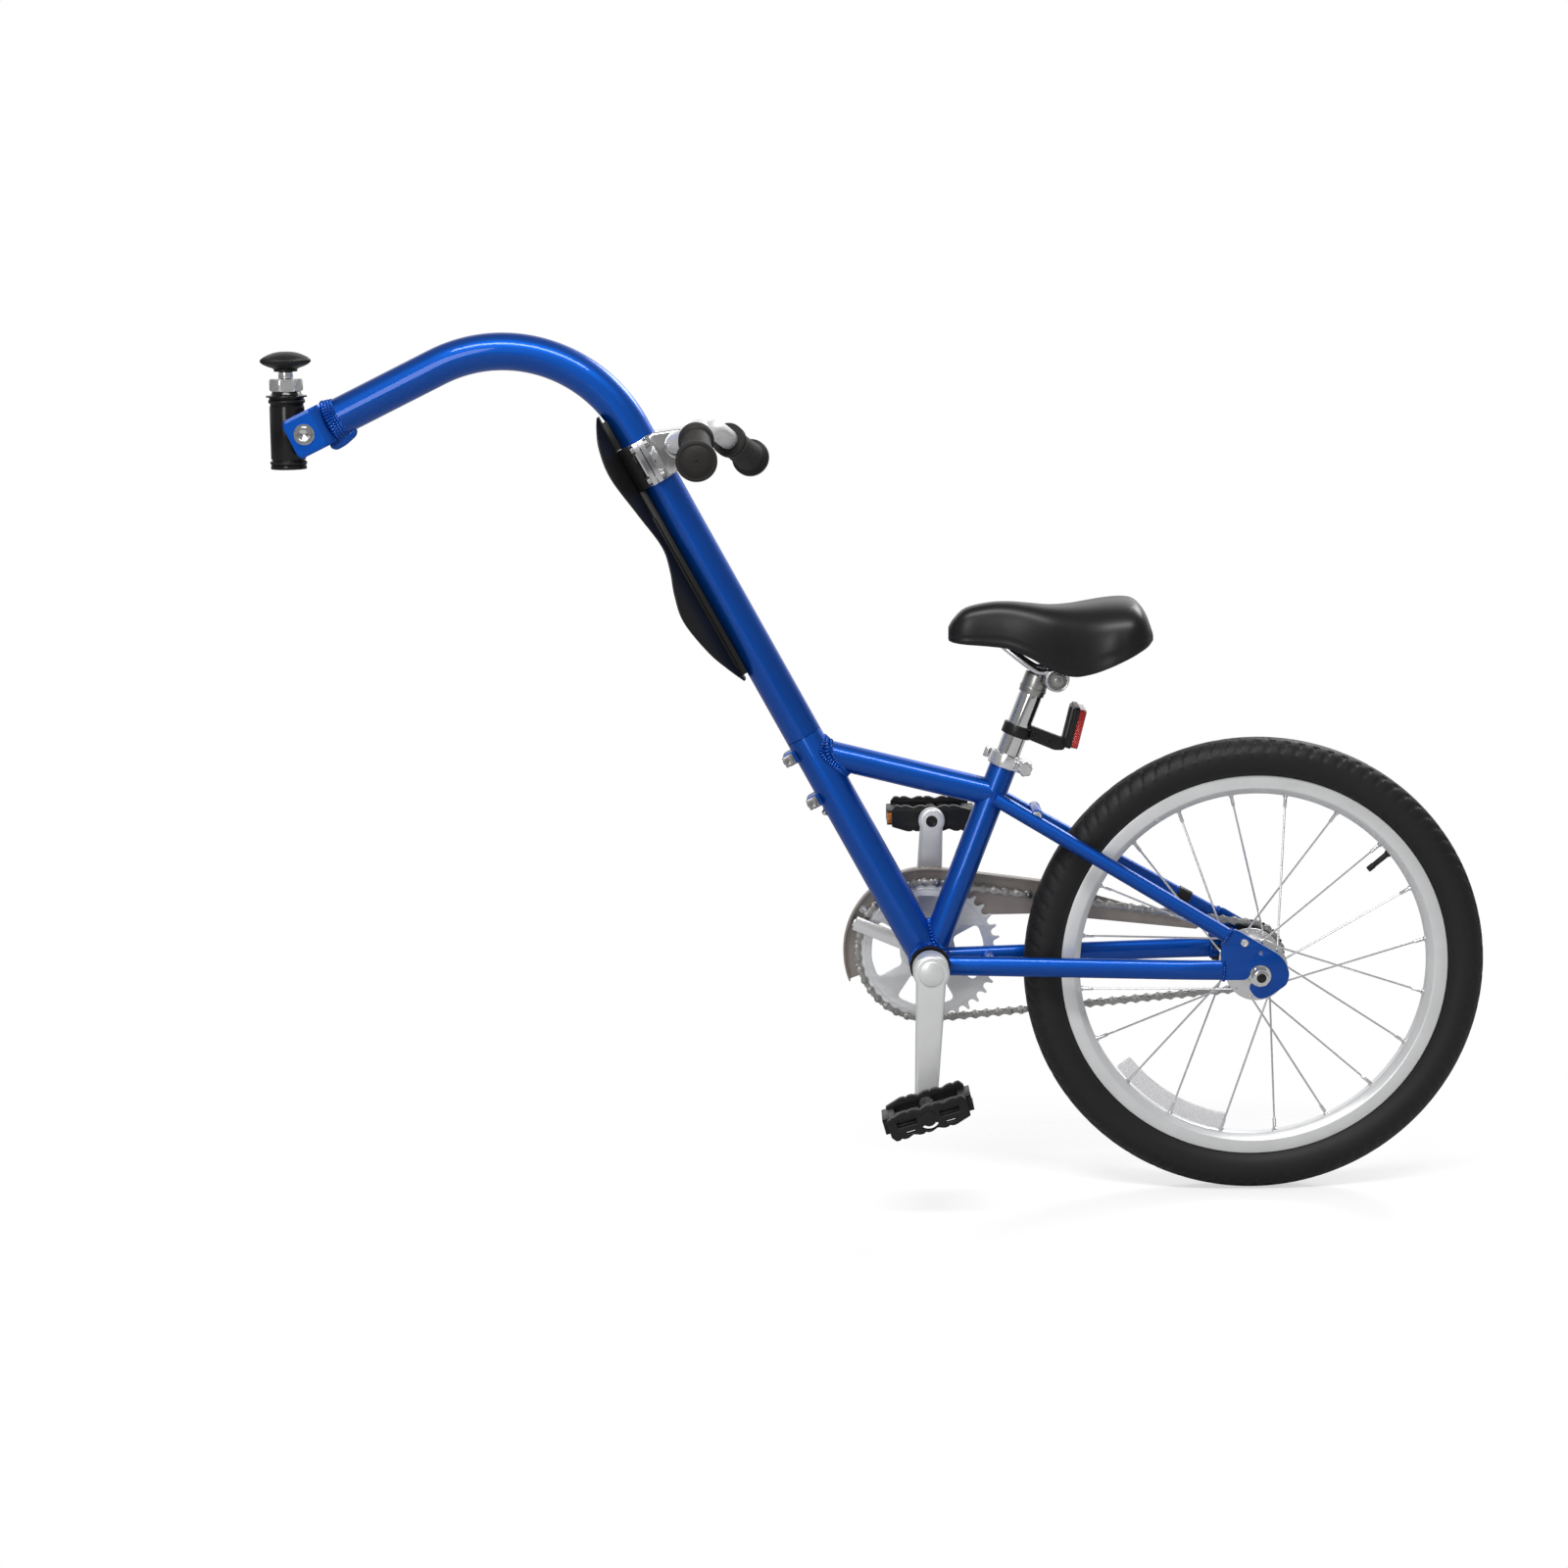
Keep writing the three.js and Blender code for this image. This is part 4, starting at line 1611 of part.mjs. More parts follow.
// Hub shell with ten spokes on each flange, each crossing one of its neighbours
function buildHub() {
  const h = hub;
  const t = h.flangeThickness / 2;
  const bore = axle.radius + clearance;
  const shell = revolve([
    [bore, -h.halfLength],
    [h.barrelRadius * 0.8, -h.halfLength],
    [h.barrelRadius * 0.9, h.leftFlange - t * 3],
    [h.flangeRadius, h.leftFlange - t],
    [h.flangeRadius, h.leftFlange + t],
    [h.barrelRadius, h.leftFlange + t * 4],
    [h.barrelRadius, h.rightFlange - t * 4],
    [h.flangeRadius, h.rightFlange - t],
    [h.flangeRadius, h.rightFlange + t],
    [h.threadRadius, h.rightFlange + t],
    [h.threadRadius, h.halfLength],
    [bore, h.halfLength],
  ]);
  const pieces = [shell];
  const reach = rim.innerRadius * Math.cos(turn / 2 / wheelSegments) - clearance;
  for (let i = 0; i < spokes.count; i += 1) {
    const angle = spokes.phase + (turn * i) / spokes.count;
    const flange = i % 2 ? h.rightFlange : h.leftFlange;
    const lean = Math.floor(i / 2) % 2 ? spokes.lean : -spokes.lean;
    const end = at(Math.cos(angle), 0, Math.sin(angle)).multiplyScalar(reach);
    const root = at(h.holeRadius * Math.cos(angle + lean), flange, h.holeRadius * Math.sin(angle + lean));
    pieces.push(rod(root, end, spokes.radius, spokes.sides));
  }
  add(wheelFrame, "hub_and_spokes", join(...pieces), silver);
}

const pivot = buildHitch();
buildYoke(pivot);
buildDrawbar(pivot);
buildBarClamp();
buildHandlebar();
buildMudguard();
buildFrame();
buildSeat();
buildSaddle();
buildCranks();
buildPedals();
buildChain();
buildSprocket();
buildChainGuard();
buildWheel();

export default trailerBike;
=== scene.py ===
from math import asin, atan2, cos, hypot, pi, radians, sin, sqrt, tau

import bmesh
import bpy
from mathutils import Matrix, Vector


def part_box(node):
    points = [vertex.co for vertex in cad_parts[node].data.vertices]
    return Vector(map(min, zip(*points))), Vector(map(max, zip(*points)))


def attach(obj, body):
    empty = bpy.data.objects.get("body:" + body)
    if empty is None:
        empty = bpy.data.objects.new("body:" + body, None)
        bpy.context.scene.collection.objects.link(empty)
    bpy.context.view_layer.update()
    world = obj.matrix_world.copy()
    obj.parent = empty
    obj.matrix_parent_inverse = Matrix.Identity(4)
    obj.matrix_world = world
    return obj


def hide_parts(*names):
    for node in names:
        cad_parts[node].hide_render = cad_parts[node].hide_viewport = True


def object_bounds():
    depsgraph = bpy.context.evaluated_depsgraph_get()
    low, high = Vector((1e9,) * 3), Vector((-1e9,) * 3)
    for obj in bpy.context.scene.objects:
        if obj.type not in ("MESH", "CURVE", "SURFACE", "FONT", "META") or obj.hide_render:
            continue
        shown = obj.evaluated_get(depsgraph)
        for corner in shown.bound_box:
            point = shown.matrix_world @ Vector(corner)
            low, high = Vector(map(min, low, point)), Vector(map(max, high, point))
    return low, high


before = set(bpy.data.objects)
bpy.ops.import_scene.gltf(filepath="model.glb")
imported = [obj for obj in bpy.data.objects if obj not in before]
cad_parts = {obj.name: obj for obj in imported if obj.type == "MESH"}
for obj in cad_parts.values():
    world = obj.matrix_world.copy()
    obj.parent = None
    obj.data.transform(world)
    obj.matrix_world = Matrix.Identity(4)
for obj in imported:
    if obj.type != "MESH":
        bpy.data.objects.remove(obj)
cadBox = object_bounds()
print("frame loaded,", len(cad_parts), "nodes")

# Sizes below are in millimetres; each assembly is drawn in its own axes and one matrix puts it into
# the part's frame in metres. x runs to the rear, y to the drive side, z up. A tuple in a dictionary
# holds what one bar, pipe, nut or screw head takes, in the order of its tool's parameters.
mm = 0.001


def middleOf(node):
    low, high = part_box(node)
    return (low + high) / 2


def placeAt(origin, xAxis=(1, 0, 0), zAxis=(0, 0, 1)):
    x = Vector(xAxis).normalized()
    z = Vector(zAxis).normalized()
    place = (Matrix((x, z.cross(x), z)).transposed() * mm).to_4x4()
    place.translation = Vector(origin)
    return place


def leaning(origin, angle):  # axes turned about y, with x down to the rear
    return placeAt(origin, (cos(angle), 0, -sin(angle)), (sin(angle), 0, cos(angle)))


def across(x, z):  # turns a shape drawn round z so that it lies across the bike
    return Matrix.Translation((x, 0, z)) @ Matrix.Rotation(-pi / 2, 4, "X")


leans = {"mainTube": radians(61.6), "seatTube": radians(69.1), "yoke": radians(26), "crank": radians(2.5)}
bracketMiddle = middleOf("bottom_bracket_shell")
axleMiddle = middleOf("tyre")
pivotMiddle = middleOf("pivot_bolt")
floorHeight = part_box("tyre")[0].z

partPlace = placeAt((0, 0, 0))
mainPlace = leaning(bracketMiddle, leans["mainTube"] - pi / 2)
seatPlace = leaning(bracketMiddle, pi / 2 - leans["seatTube"])
crankPlace = leaning(bracketMiddle, leans["crank"])
pivotPlace = leaning((pivotMiddle.x, 0, pivotMiddle.z), -leans["yoke"])
bracketPlace = placeAt(bracketMiddle)
wheelPlace = placeAt(axleMiddle)
centres = (axleMiddle - bracketMiddle).length / mm
chainSlope = asin((bracketMiddle.z - axleMiddle.z) / mm / centres)
chainPlace = leaning(bracketMiddle, chainSlope)


def inPart(place, x, y, z):  # a point of an assembly, in the part's millimetres
    return (place @ Vector((x, y, z))) / mm


# Nodes: one maker serves the shader trees and the geometry trees

class Wire:
    def __init__(self, maker, socket):
        self.maker = maker
        self.socket = socket

    def maths(self, operation, first, second=0.0):
        node = self.maker.make("ShaderNodeMath", {"operation": operation}, {0: first, 1: second})
        return Wire(self.maker, node.outputs[0])

    def __add__(self, other):
        return self.maths("ADD", self, other)

    def __radd__(self, other):
        return self.maths("ADD", other, self)

    def __sub__(self, other):
        return self.maths("SUBTRACT", self, other)

    def __rsub__(self, other):
        return self.maths("SUBTRACT", other, self)

    def __mul__(self, other):
        return self.maths("MULTIPLY", self, other)

    def __rmul__(self, other):
        return self.maths("MULTIPLY", other, self)

    def sine(self):
        return self.maths("SINE", self)

    def highest(self, other):
        return self.maths("MAXIMUM", self, other)


class NodeMaker:
    def __init__(self, tree):
        self.tree = tree
        tree.nodes.clear()

    def make(self, kind, settings=None, inputs=None):
        node = self.tree.nodes.new(kind)
        for name, value in (settings or {}).items():
            setattr(node, name, value)
        for key, value in (inputs or {}).items():
            socket = self.socketOf(node, key)
            if isinstance(value, Wire):
                self.tree.links.new(value.socket, socket)
            else:
                socket.default_value = value
        return node

    def socketOf(self, node, key):
        if isinstance(key, int):
            return node.inputs[key]
        return next(s for s in node.inputs if key in (s.identifier, s.name))

    def wire(self, kind, settings=None, inputs=None, output=0):
        return Wire(self, self.make(kind, settings, inputs).outputs[output])


class Finish(NodeMaker):
    def __init__(self, name, slot, constants):
        self.material = bpy.data.materials.new(name)
        self.material.use_nodes = True
        self.slot = slot
        super().__init__(self.material.node_tree)
        self.shader = self.make("ShaderNodeBsdfPrincipled", None, constants)
        self.surface = Wire(self, self.shader.outputs[0])
        self.output = self.make("ShaderNodeOutputMaterial", None, {"Surface": self.surface})
        self.places = self.wire("ShaderNodeTexCoord", output="Object")

    def put(self, name, value):
        self.tree.links.new(value.socket, self.shader.inputs[name])

    def noise(self, scale, detail=2.0, roughness=0.5):
        inputs = {"Vector": self.places, "Scale": scale, "Detail": detail, "Roughness": roughness}
        return self.wire("ShaderNodeTexNoise", None, inputs)

    def mixed(self, factor, first, second):
        inputs = {"Factor_Float": factor, "A_Color": first, "B_Color": second}
        node = self.make("ShaderNodeMix", {"data_type": "RGBA"}, inputs)
        return Wire(self, next(s for s in node.outputs if s.identifier == "Result_Color"))

    def bump(self, height, distance, strength=1.0):
        inputs = {"Height": height, "Distance": distance, "Strength": strength}
        self.put("Normal", self.wire("ShaderNodeBump", None, inputs))


def grey(level):
    return (level, level, level, 1)


# Camera and studio

cameraSizes = {
    "location": (0.5485, -3.6575, 0.2732),
    "pitch": radians(9.61),
    "yaw": radians(-0.39),
    "roll": radians(-0.66),
    "lens": 78.75,
    "sensor": 36,
}
pitch, yaw, roll = cameraSizes["pitch"], cameraSizes["yaw"], cameraSizes["roll"]
forward = Vector((sin(yaw) * cos(pitch), cos(yaw) * cos(pitch), -sin(pitch)))
level = Vector((cos(yaw), -sin(yaw), 0))
upright = level.cross(forward)
sideways = level * cos(roll) + upright * sin(roll)
upward = upright * cos(roll) - level * sin(roll)
camera = bpy.data.objects.new("camera", bpy.data.cameras.new("camera"))
cameraTurn = Matrix((sideways, upward, -forward)).transposed().to_4x4()
camera.matrix_world = Matrix.Translation(cameraSizes["location"]) @ cameraTurn
camera.data.lens = cameraSizes["lens"]
camera.data.sensor_width = cameraSizes["sensor"]
bpy.context.scene.collection.objects.link(camera)
bpy.context.scene.camera = camera
bpy.context.scene.view_settings.view_transform = "Standard"

studio = {  # places in metres; the shadow shows on the floor round one place and fades outwards
    "floorReach": 30.0,
    "floorColour": 0.5,
    "floorLift": 0.56,
    "shadowPlace": (1.0, -0.12),
    "shadowFrom": 0.1,
    "shadowTo": 0.65,
    "worldLight": 0.3,
    "roomLight": 0.2,
    "wallFrom": 0.55,
    "wallTo": 0.9,
}
lamps = [  # name, place, aim, size, power
    ("topBox", (0.45, -1.9, 2.5), (0.6, 0, -0.3), (2.8, 0.5), 82),
    ("frontBox", (-0.9, -4.4, 1.0), (0.5, 0, -0.3), (1.2, 2.2), 46),
    ("rearBox", (2.4, 2.4, 1.9), (0.7, 0, -0.3), (1.6, 1.2), 55),
]


def buildFloor():
    middle = (cadBox[0] + cadBox[1]) / 2
    reach = studio["floorReach"]
    floorMesh = bpy.data.meshes.new("floor")
    corners = [(middle.x + a * reach, middle.y + b * reach, floorHeight)
               for a, b in ((-1, -1), (1, -1), (1, 1), (-1, 1))]
    floorMesh.from_pydata(corners, [], [(0, 1, 2, 3)])
    finish = Finish("floor", None, {"Base Color": grey(studio["floorColour"]), "Roughness": 0.9})
    path = finish.make("ShaderNodeLightPath")
    seen = Wire(finish, path.outputs["Is Camera Ray"])
    offset = finish.wire("ShaderNodeVectorMath", {"operation": "DISTANCE"},
                         {0: finish.places, 1: (*studio["shadowPlace"], floorHeight)}, output="Value")
    far = finish.wire("ShaderNodeMapRange", {"interpolation_type": "SMOOTHSTEP"},
                      {"Value": offset, "From Min": studio["shadowFrom"], "From Max": studio["shadowTo"]})
    lift = finish.wire("ShaderNodeEmission", None, {"Color": grey(studio["floorLift"]), "Strength": 1.0})
    lifted = finish.wire("ShaderNodeAddShader", None, {0: finish.surface, 1: lift})
    clear = finish.wire("ShaderNodeBsdfTransparent")  # far from the wheel the white room shows through
    near = finish.wire("ShaderNodeMixShader", None, {0: far, 1: lifted, 2: clear})
    whole = finish.wire("ShaderNodeMixShader", None, {0: seen, 1: finish.surface, 2: near})
    finish.tree.links.new(whole.socket, finish.output.inputs["Surface"])
    floorMesh.materials.append(finish.material)
    floor = bpy.data.objects.new("floor", floorMesh)
    bpy.context.scene.collection.objects.link(floor)


def buildRoom():
    world = bpy.data.worlds.new("studio")
    bpy.context.scene.world = world
    world.use_nodes = True
    maker = NodeMaker(world.node_tree)
    path = maker.make("ShaderNodeLightPath")
    seen, through, glossy = [Wire(maker, path.outputs["Is " + word + " Ray"])
                             for word in ("Camera", "Transmission", "Glossy")]
    heading = maker.wire("ShaderNodeTexCoord", output="Object")
    facing = maker.wire("ShaderNodeSeparateXYZ", None, {"Vector": heading}, output="Y")
    wall = maker.wire("ShaderNodeMapRange", {"interpolation_type": "SMOOTHSTEP"}, {
        "Value": facing, "To Min": studio["roomLight"], "From Min": studio["wallFrom"],
        "From Max": studio["wallTo"],
    })
    strength = seen.highest(through).highest(glossy * wall).highest(studio["worldLight"])
    back = maker.wire("ShaderNodeBackground", None, {"Color": grey(1.0), "Strength": strength})
    maker.make("ShaderNodeOutputWorld", None, {"Surface": back})


def buildLamps():
    for name, place, aim, size, power in lamps:
        lamp = bpy.data.lights.new(name, "AREA")
        lamp.shape = "RECTANGLE"
        lamp.size, lamp.size_y = size
        lamp.energy = power
        holder = bpy.data.objects.new(name, lamp)
        holder.location = place
        holder.rotation_euler = (Vector(aim) - Vector(place)).to_track_quat("-Z", "Y").to_euler()
        bpy.context.scene.collection.objects.link(holder)


buildFloor()
buildRoom()
buildLamps()
print("camera and studio ready")

# Finishes


def paintFinish():
    finish = Finish("candyBlue", "paint", {
        "Metallic": 0.8, "Specular IOR Level": 0.2,
        "Coat Weight": 0.6, "Coat Roughness": 0.03, "Coat IOR": 1.45,
    })
    flakes = finish.noise(2600, 1.0)
    cloud = finish.noise(5, 2.0)
    tone = finish.mixed(flakes * 0.3 + cloud * 0.4 + 0.15, (0.0, 0.036, 0.26, 1), (0.0, 0.11, 0.56, 1))
    finish.put("Base Color", tone)
    finish.put("Roughness", flakes * 0.06 + 0.41)
    finish.bump(finish.noise(140, 1.0), 0.000006)
    return finish


def metalFinish(name, slot, colour, roughness, grain, depth, metallic=1.0):
    finish = Finish(name, slot, {"Metallic": metallic})
    fine = finish.noise(grain, 3.0, 0.6)
    wide = finish.noise(28, 3.0)
    dark = tuple(c * 0.86 for c in colour[:3]) + (1,)
    finish.put("Base Color", finish.mixed(wide, dark, colour))
    finish.put("Roughness", fine * roughness * 0.5 + wide * roughness * 0.3 + roughness * 0.6)
    finish.bump(fine, depth)
    return finish


def mouldedFinish(name, slot, colour, roughness, grain, depth, worn=0.5):
    finish = Finish(name, slot, {"Specular IOR Level": 0.36})
    fine = finish.noise(grain, 3.0, 0.65)
    wide = finish.noise(18, 3.0)
    light = tuple(c * (1 + worn) + 0.002 for c in colour[:3]) + (1,)
    finish.put("Base Color", finish.mixed(wide * 0.7 + fine * 0.3, colour, light))
    finish.put("Roughness", fine * 0.16 + wide * 0.12 + roughness - 0.14)
    finish.bump(fine, depth)
    return finish


def clearFinish(name, slot, colour, alpha, roughness, ribs):
    finish = Finish(name, slot, {"Alpha": alpha, "Coat Weight": 0.6, "Coat Roughness": 0.05})
    fine = finish.noise(35, 2.0)
    deep = tuple(c * 0.75 for c in colour[:3]) + (1,)
    finish.put("Base Color", finish.mixed(fine, deep, colour))
    finish.put("Roughness", fine * 0.1 + roughness)
    if ribs:
        split = finish.make("ShaderNodeSeparateXYZ", None, {"Vector": finish.places})
        first = (Wire(finish, split.outputs["X"]) * ribs).sine()
        second = (Wire(finish, split.outputs["Z"]) * ribs).sine()
        finish.bump(first * second, 0.0004, 0.8)
    return finish


tarBlack = (0.005, 0.005, 0.0055, 1)
finishes = {  # metals and moulded ones: slot, colour, roughness, grain and depth of the grain
    "paint": paintFinish(),
    "chrome": metalFinish("polishedChrome", "chrome", (0.78, 0.78, 0.79, 1), 0.08, 300, 0.000005),
    "silver": metalFinish("satinAluminium", "silver", (0.84, 0.845, 0.85, 1), 0.36, 900, 0.00002, 0.5),
    "bright": metalFinish("tumbledSilver", "silver", (0.84, 0.84, 0.85, 1), 0.22, 500, 0.00001, 0.85),
    "steel": metalFinish("zincSteel", "steel", (0.42, 0.415, 0.405, 1), 0.32, 700, 0.00002),
    "blackPaint": mouldedFinish("blackCoat", "black_paint", tarBlack, 0.2, 900, 0.000005),
    "blackPlastic": mouldedFinish("blackResin", "black_plastic", tarBlack, 0.38, 1400, 0.00002),
    "rubber": mouldedFinish("gripRubber", "rubber", (0.012, 0.0105, 0.0097, 1), 0.62, 1600, 0.00003),
    "tyre": mouldedFinish("tyreRubber", "tyre", (0.006, 0.006, 0.0062, 1), 0.56, 1200, 0.00004),
    "vinyl": mouldedFinish("saddleVinyl", "vinyl", tarBlack, 0.36, 1500, 0.00003),
    "smoke": clearFinish("smokedSheet", "smoke", (0.34, 0.285, 0.25, 1), 0.82, 0.2, 0),
    "redLens": clearFinish("redPrism", "red_lens", (0.5, 0.004, 0.004, 1), 1.0, 0.1, 2400),
    "amberLens": clearFinish("amberPrism", "red_lens", (0.75, 0.2, 0.01, 1), 1.0, 0.12, 2600),
    "clearLens": clearFinish("clearPrism", "clear_lens", (0.8, 0.8, 0.82, 1), 0.55, 0.15, 1600),
}
print("finishes made")

# Mesh tools


def shown(name, data):  # puts data into the scene as an object
    holder = bpy.data.objects.new(name, data)
    bpy.context.scene.collection.objects.link(holder)
    return holder


def settled(holder):  # the plain mesh that an object's modifiers give
    view = bpy.context.evaluated_depsgraph_get()
    return bpy.data.meshes.new_from_object(holder.evaluated_get(view))


def toMesh(bm, place):
    bmesh.ops.remove_doubles(bm, verts=bm.verts, dist=1e-4)
    bmesh.ops.recalc_face_normals(bm, faces=bm.faces)
    bm.transform(place)
    mesh = bpy.data.meshes.new("shape")
    bm.to_mesh(mesh)
    bm.free()
    return mesh


def joined(*meshes):
    bm = bmesh.new()
    for mesh in meshes:
        bm.from_mesh(mesh)
    whole = bpy.data.meshes.new("shape")
    bm.to_mesh(whole)
    bm.free()
    return whole


def setPiece(name, mesh, finish, body, replaces=(), sharp=35):
    mesh.name = name
    mesh.materials.clear()
    mesh.materials.append(finishes[finish].material)
    mesh.polygons.foreach_set("material_index", [0] * len(mesh.polygons))
    mesh.polygons.foreach_set("use_smooth", [True] * len(mesh.polygons))
    mesh.set_sharp_from_angle(angle=radians(sharp))
    piece = shown(name, mesh)
    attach(piece, body)
    if replaces:
        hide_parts(*replaces)
    return piece


def rounded(points, radius, closed=True, steps=3):  # rounds the corners of an outline or a profile
    corners = []
    count = len(points)
    for i, point in enumerate(points):
        here = Vector(point)
        if not closed and i in (0, count - 1):
            corners.append(tuple(here))
            continue
        before = Vector(points[i - 1]) - here
        after = Vector(points[(i + 1) % count]) - here
        reach = min(radius, before.length / 2.01, after.length / 2.01)
        if reach < 1e-4:
            corners.append(tuple(here))
            continue
        start = here + before.normalized() * reach
        end = here + after.normalized() * reach
        for j in range(steps + 1):
            share, left = j / steps, 1 - j / steps
            corners.append(tuple(start * left ** 2 + here * 2 * share * left + end * share ** 2))
    return corners


def arc(x, y, radius, start, end, steps=16):
    turns = [start + (end - start) * i / steps for i in range(steps + 1)]
    return [(x + radius * cos(a), y + radius * sin(a)) for a in turns]


# Turns (radius, height) points round z; wave gives a share of the radius at each angle
def turned(profile, place, steps=64, edge=0.0, loop=False, wave=None):
    points = rounded(profile, edge, closed=loop, steps=2) if edge else profile
    bm = bmesh.new()
    rows = []
    for radius, height in points:
        if radius < 1e-6:
            rows.append([bm.verts.new((0, 0, height))])
            continue
        row = []
        for i in range(steps):
            angle = tau * i / steps
            reach = radius * (wave(angle, height, radius) if wave else 1)
            row.append(bm.verts.new((reach * cos(angle), reach * sin(angle), height)))
        rows.append(row)
    pairs = list(zip(rows, rows[1:]))
    if loop:
        pairs.append((rows[-1], rows[0]))
    for near, far in pairs:
        for j in range(steps):
            k = (j + 1) % steps
            if len(near) == 1 and len(far) == 1:
                continue
            if len(near) == 1:
                bm.faces.new((near[0], far[k], far[j]))
            elif len(far) == 1:
                bm.faces.new((near[j], near[k], far[0]))
            else:
                bm.faces.new((near[j], near[k], far[k], far[j]))
    return toMesh(bm, place)


def bar(radius, start, end, place, edge=0.5, steps=48):
    return turned([(0, start), (radius, start), (radius, end), (0, end)], place, steps, edge)


def pipe(inner, outer, start, end, place, edge=0.4, steps=64):
    profile = [(inner, start), (outer, start), (outer, end), (inner, end)]
    return turned(profile, place, steps, edge, loop=True)


def hexNut(radius, bore, start, end, place, steps=72):  # a six-sided nut with chamfered corners and a bore
    flat = cos(pi / 6)
    chamfer = radius * 0.09

    def hexagon(angle, height):
        reach = flat / cos((angle % (pi / 3)) - pi / 6)
        lift = min(height - start, end - height) / chamfer
        return min(reach, 0.93 + 0.07 * min(max(lift, 0), 1))

    rows = [(bore, start, False), (radius, start, True), (radius, start + chamfer, True),
            (radius, end - chamfer, True), (radius, end, True), (bore, end, False)]
    rings = []
    for reach, height, shaped in rows:
        ring = []
        for i in range(steps):
            angle = tau * i / steps
            size = reach * (hexagon(angle, height) if shaped else 1)
            ring.append((size * cos(angle), size * sin(angle), height))
        rings.append(ring)
    return skin(rings, place, loop=True)


def skin(rings, place, loop=False):  # closes rings of equal count, with flat ends or as a loop
    bm = bmesh.new()
    rows = [[bm.verts.new(p) for p in ring] for ring in rings]
    count = len(rows[0])
    for i in range(len(rows) if loop else len(rows) - 1):
        near, far = rows[i], rows[(i + 1) % len(rows)]
        for j in range(count):
            k = (j + 1) % count
            bm.faces.new((near[j], near[k], far[k], far[j]))
    if not loop:
        bm.faces.new(list(reversed(rows[0])))
        bm.faces.new(rows[-1])
    return toMesh(bm, place)


def slab(top, bottom, place):  # a closed sheet between two grids of points
    bm = bmesh.new()
    grids = [[[bm.verts.new(p) for p in row] for row in grid] for grid in (top, bottom)]
    rows, columns = len(top), len(top[0])
    for i in range(rows - 1):
        for j in range(columns - 1):
            for grid in grids:
                bm.faces.new((grid[i][j], grid[i][j + 1], grid[i + 1][j + 1], grid[i + 1][j]))
    border = [(i, 0) for i in range(rows)] + [(rows - 1, j) for j in range(1, columns)]
    border += [(i, columns - 1) for i in range(rows - 2, -1, -1)]
    border += [(0, j) for j in range(columns - 2, 0, -1)]
    for (a, b), (c, d) in zip(border, border[1:] + border[:1]):
        bm.faces.new((grids[0][a][b], grids[0][c][d], grids[1][c][d], grids[1][a][b]))
    return toMesh(bm, place)


def flowing(points, perSpan=8):  # a smooth path through points
    path = []
    knots = [Vector(p) for p in points]
    for i in range(len(knots) - 1):
        a = knots[max(i - 1, 0)]
        b, c = knots[i], knots[i + 1]
        d = knots[min(i + 2, len(knots) - 1)]
        for j in range(perSpan):
            t = j / perSpan
            path.append((b * 2 + (c - a) * t + (a * 2 - b * 5 + c * 4 - d) * t ** 2
                         + (b * 3 - a - c * 3 + d) * t ** 3) / 2)
    path.append(knots[-1])
    return path


# A tube along points; section is a radius, or gives (half side, half height) at a share of the way
def swept(points, section, place, sides=40, edge=0.6):
    path = [Vector(p) for p in points]
    last = len(path) - 1
    along = [(path[min(i + 1, last)] - path[max(i - 1, 0)]).normalized() for i in range(len(path))]
    lengths = [0.0]
    for a, b in zip(path, path[1:]):
        lengths.append(lengths[-1] + (b - a).length)
    up = Vector((0, 0, 1)) if abs(along[0].z) < 0.9 else Vector((1, 0, 0))
    rings = []
    for i, (point, heading) in enumerate(zip(path, along)):
        up = (up - heading * up.dot(heading)).normalized()
        side = heading.cross(up)
        share = lengths[i] / lengths[-1]
        size = section(share) if callable(section) else (section, section)
        turns = [tau * j / sides for j in range(sides)]
        ring = [point + side * size[0] * cos(a) + up * size[1] * sin(a) for a in turns]
        if edge and i in (0, last):
            inward = heading * (edge if i == 0 else -edge)
            small = [point + (p - point) * (1 - edge / min(size)) for p in ring]
            shifted = [p + inward for p in ring]
            rings += [small, shifted] if i == 0 else [shifted, small]
        else:
            rings.append(ring)
    return skin(rings, place)


# A plate drawn in x and y with rounded edges, between two heights of z
def sheetOf(outline, start, end, place, bevel=0.5, holes=(), steps=2):
    curve = bpy.data.curves.new("plate", "CURVE")
    curve.dimensions = "2D"
    curve.fill_mode = "BOTH"
    curve.extrude = (end - start) / 2 - bevel
    curve.bevel_depth = bevel
    curve.bevel_resolution = steps
    curve.offset = -bevel
    for points in (outline, *holes):
        spline = curve.splines.new("POLY")
        spline.points.add(len(points) - 1)
        spline.use_cyclic_u = True
        for knot, (x, y) in zip(spline.points, points):
            knot.co = (x, y, 0, 1)
    holder = bpy.data.objects.new("plate", curve)
    flat = bpy.data.meshes.new_from_object(holder)
    bpy.data.objects.remove(holder)
    bm = bmesh.new()
    bm.from_mesh(flat)
    return toMesh(bm, place @ Matrix.Translation((0, 0, (start + end) / 2)))


# A plate drawn in the side view (x, z), between two places of y
def sidePlate(outline, near, far, place, bevel=0.5, holes=(), steps=2):
    facing = place @ Matrix.Rotation(pi / 2, 4, "X")
    return sheetOf(outline, -far, -near, facing, bevel, holes, steps)


def carved(body, *tools):  # cuts closed meshes out of another
    holder = shown("body", body)
    helpers = [shown("tool", tool) for tool in tools]
    for helper in helpers:
        modifier = holder.modifiers.new("cut", "BOOLEAN")
        modifier.operation = "DIFFERENCE"
        modifier.solver = "EXACT"
        modifier.object = helper
    mesh = settled(holder)
    for item in (*helpers, holder):
        bpy.data.objects.remove(item)
    return mesh


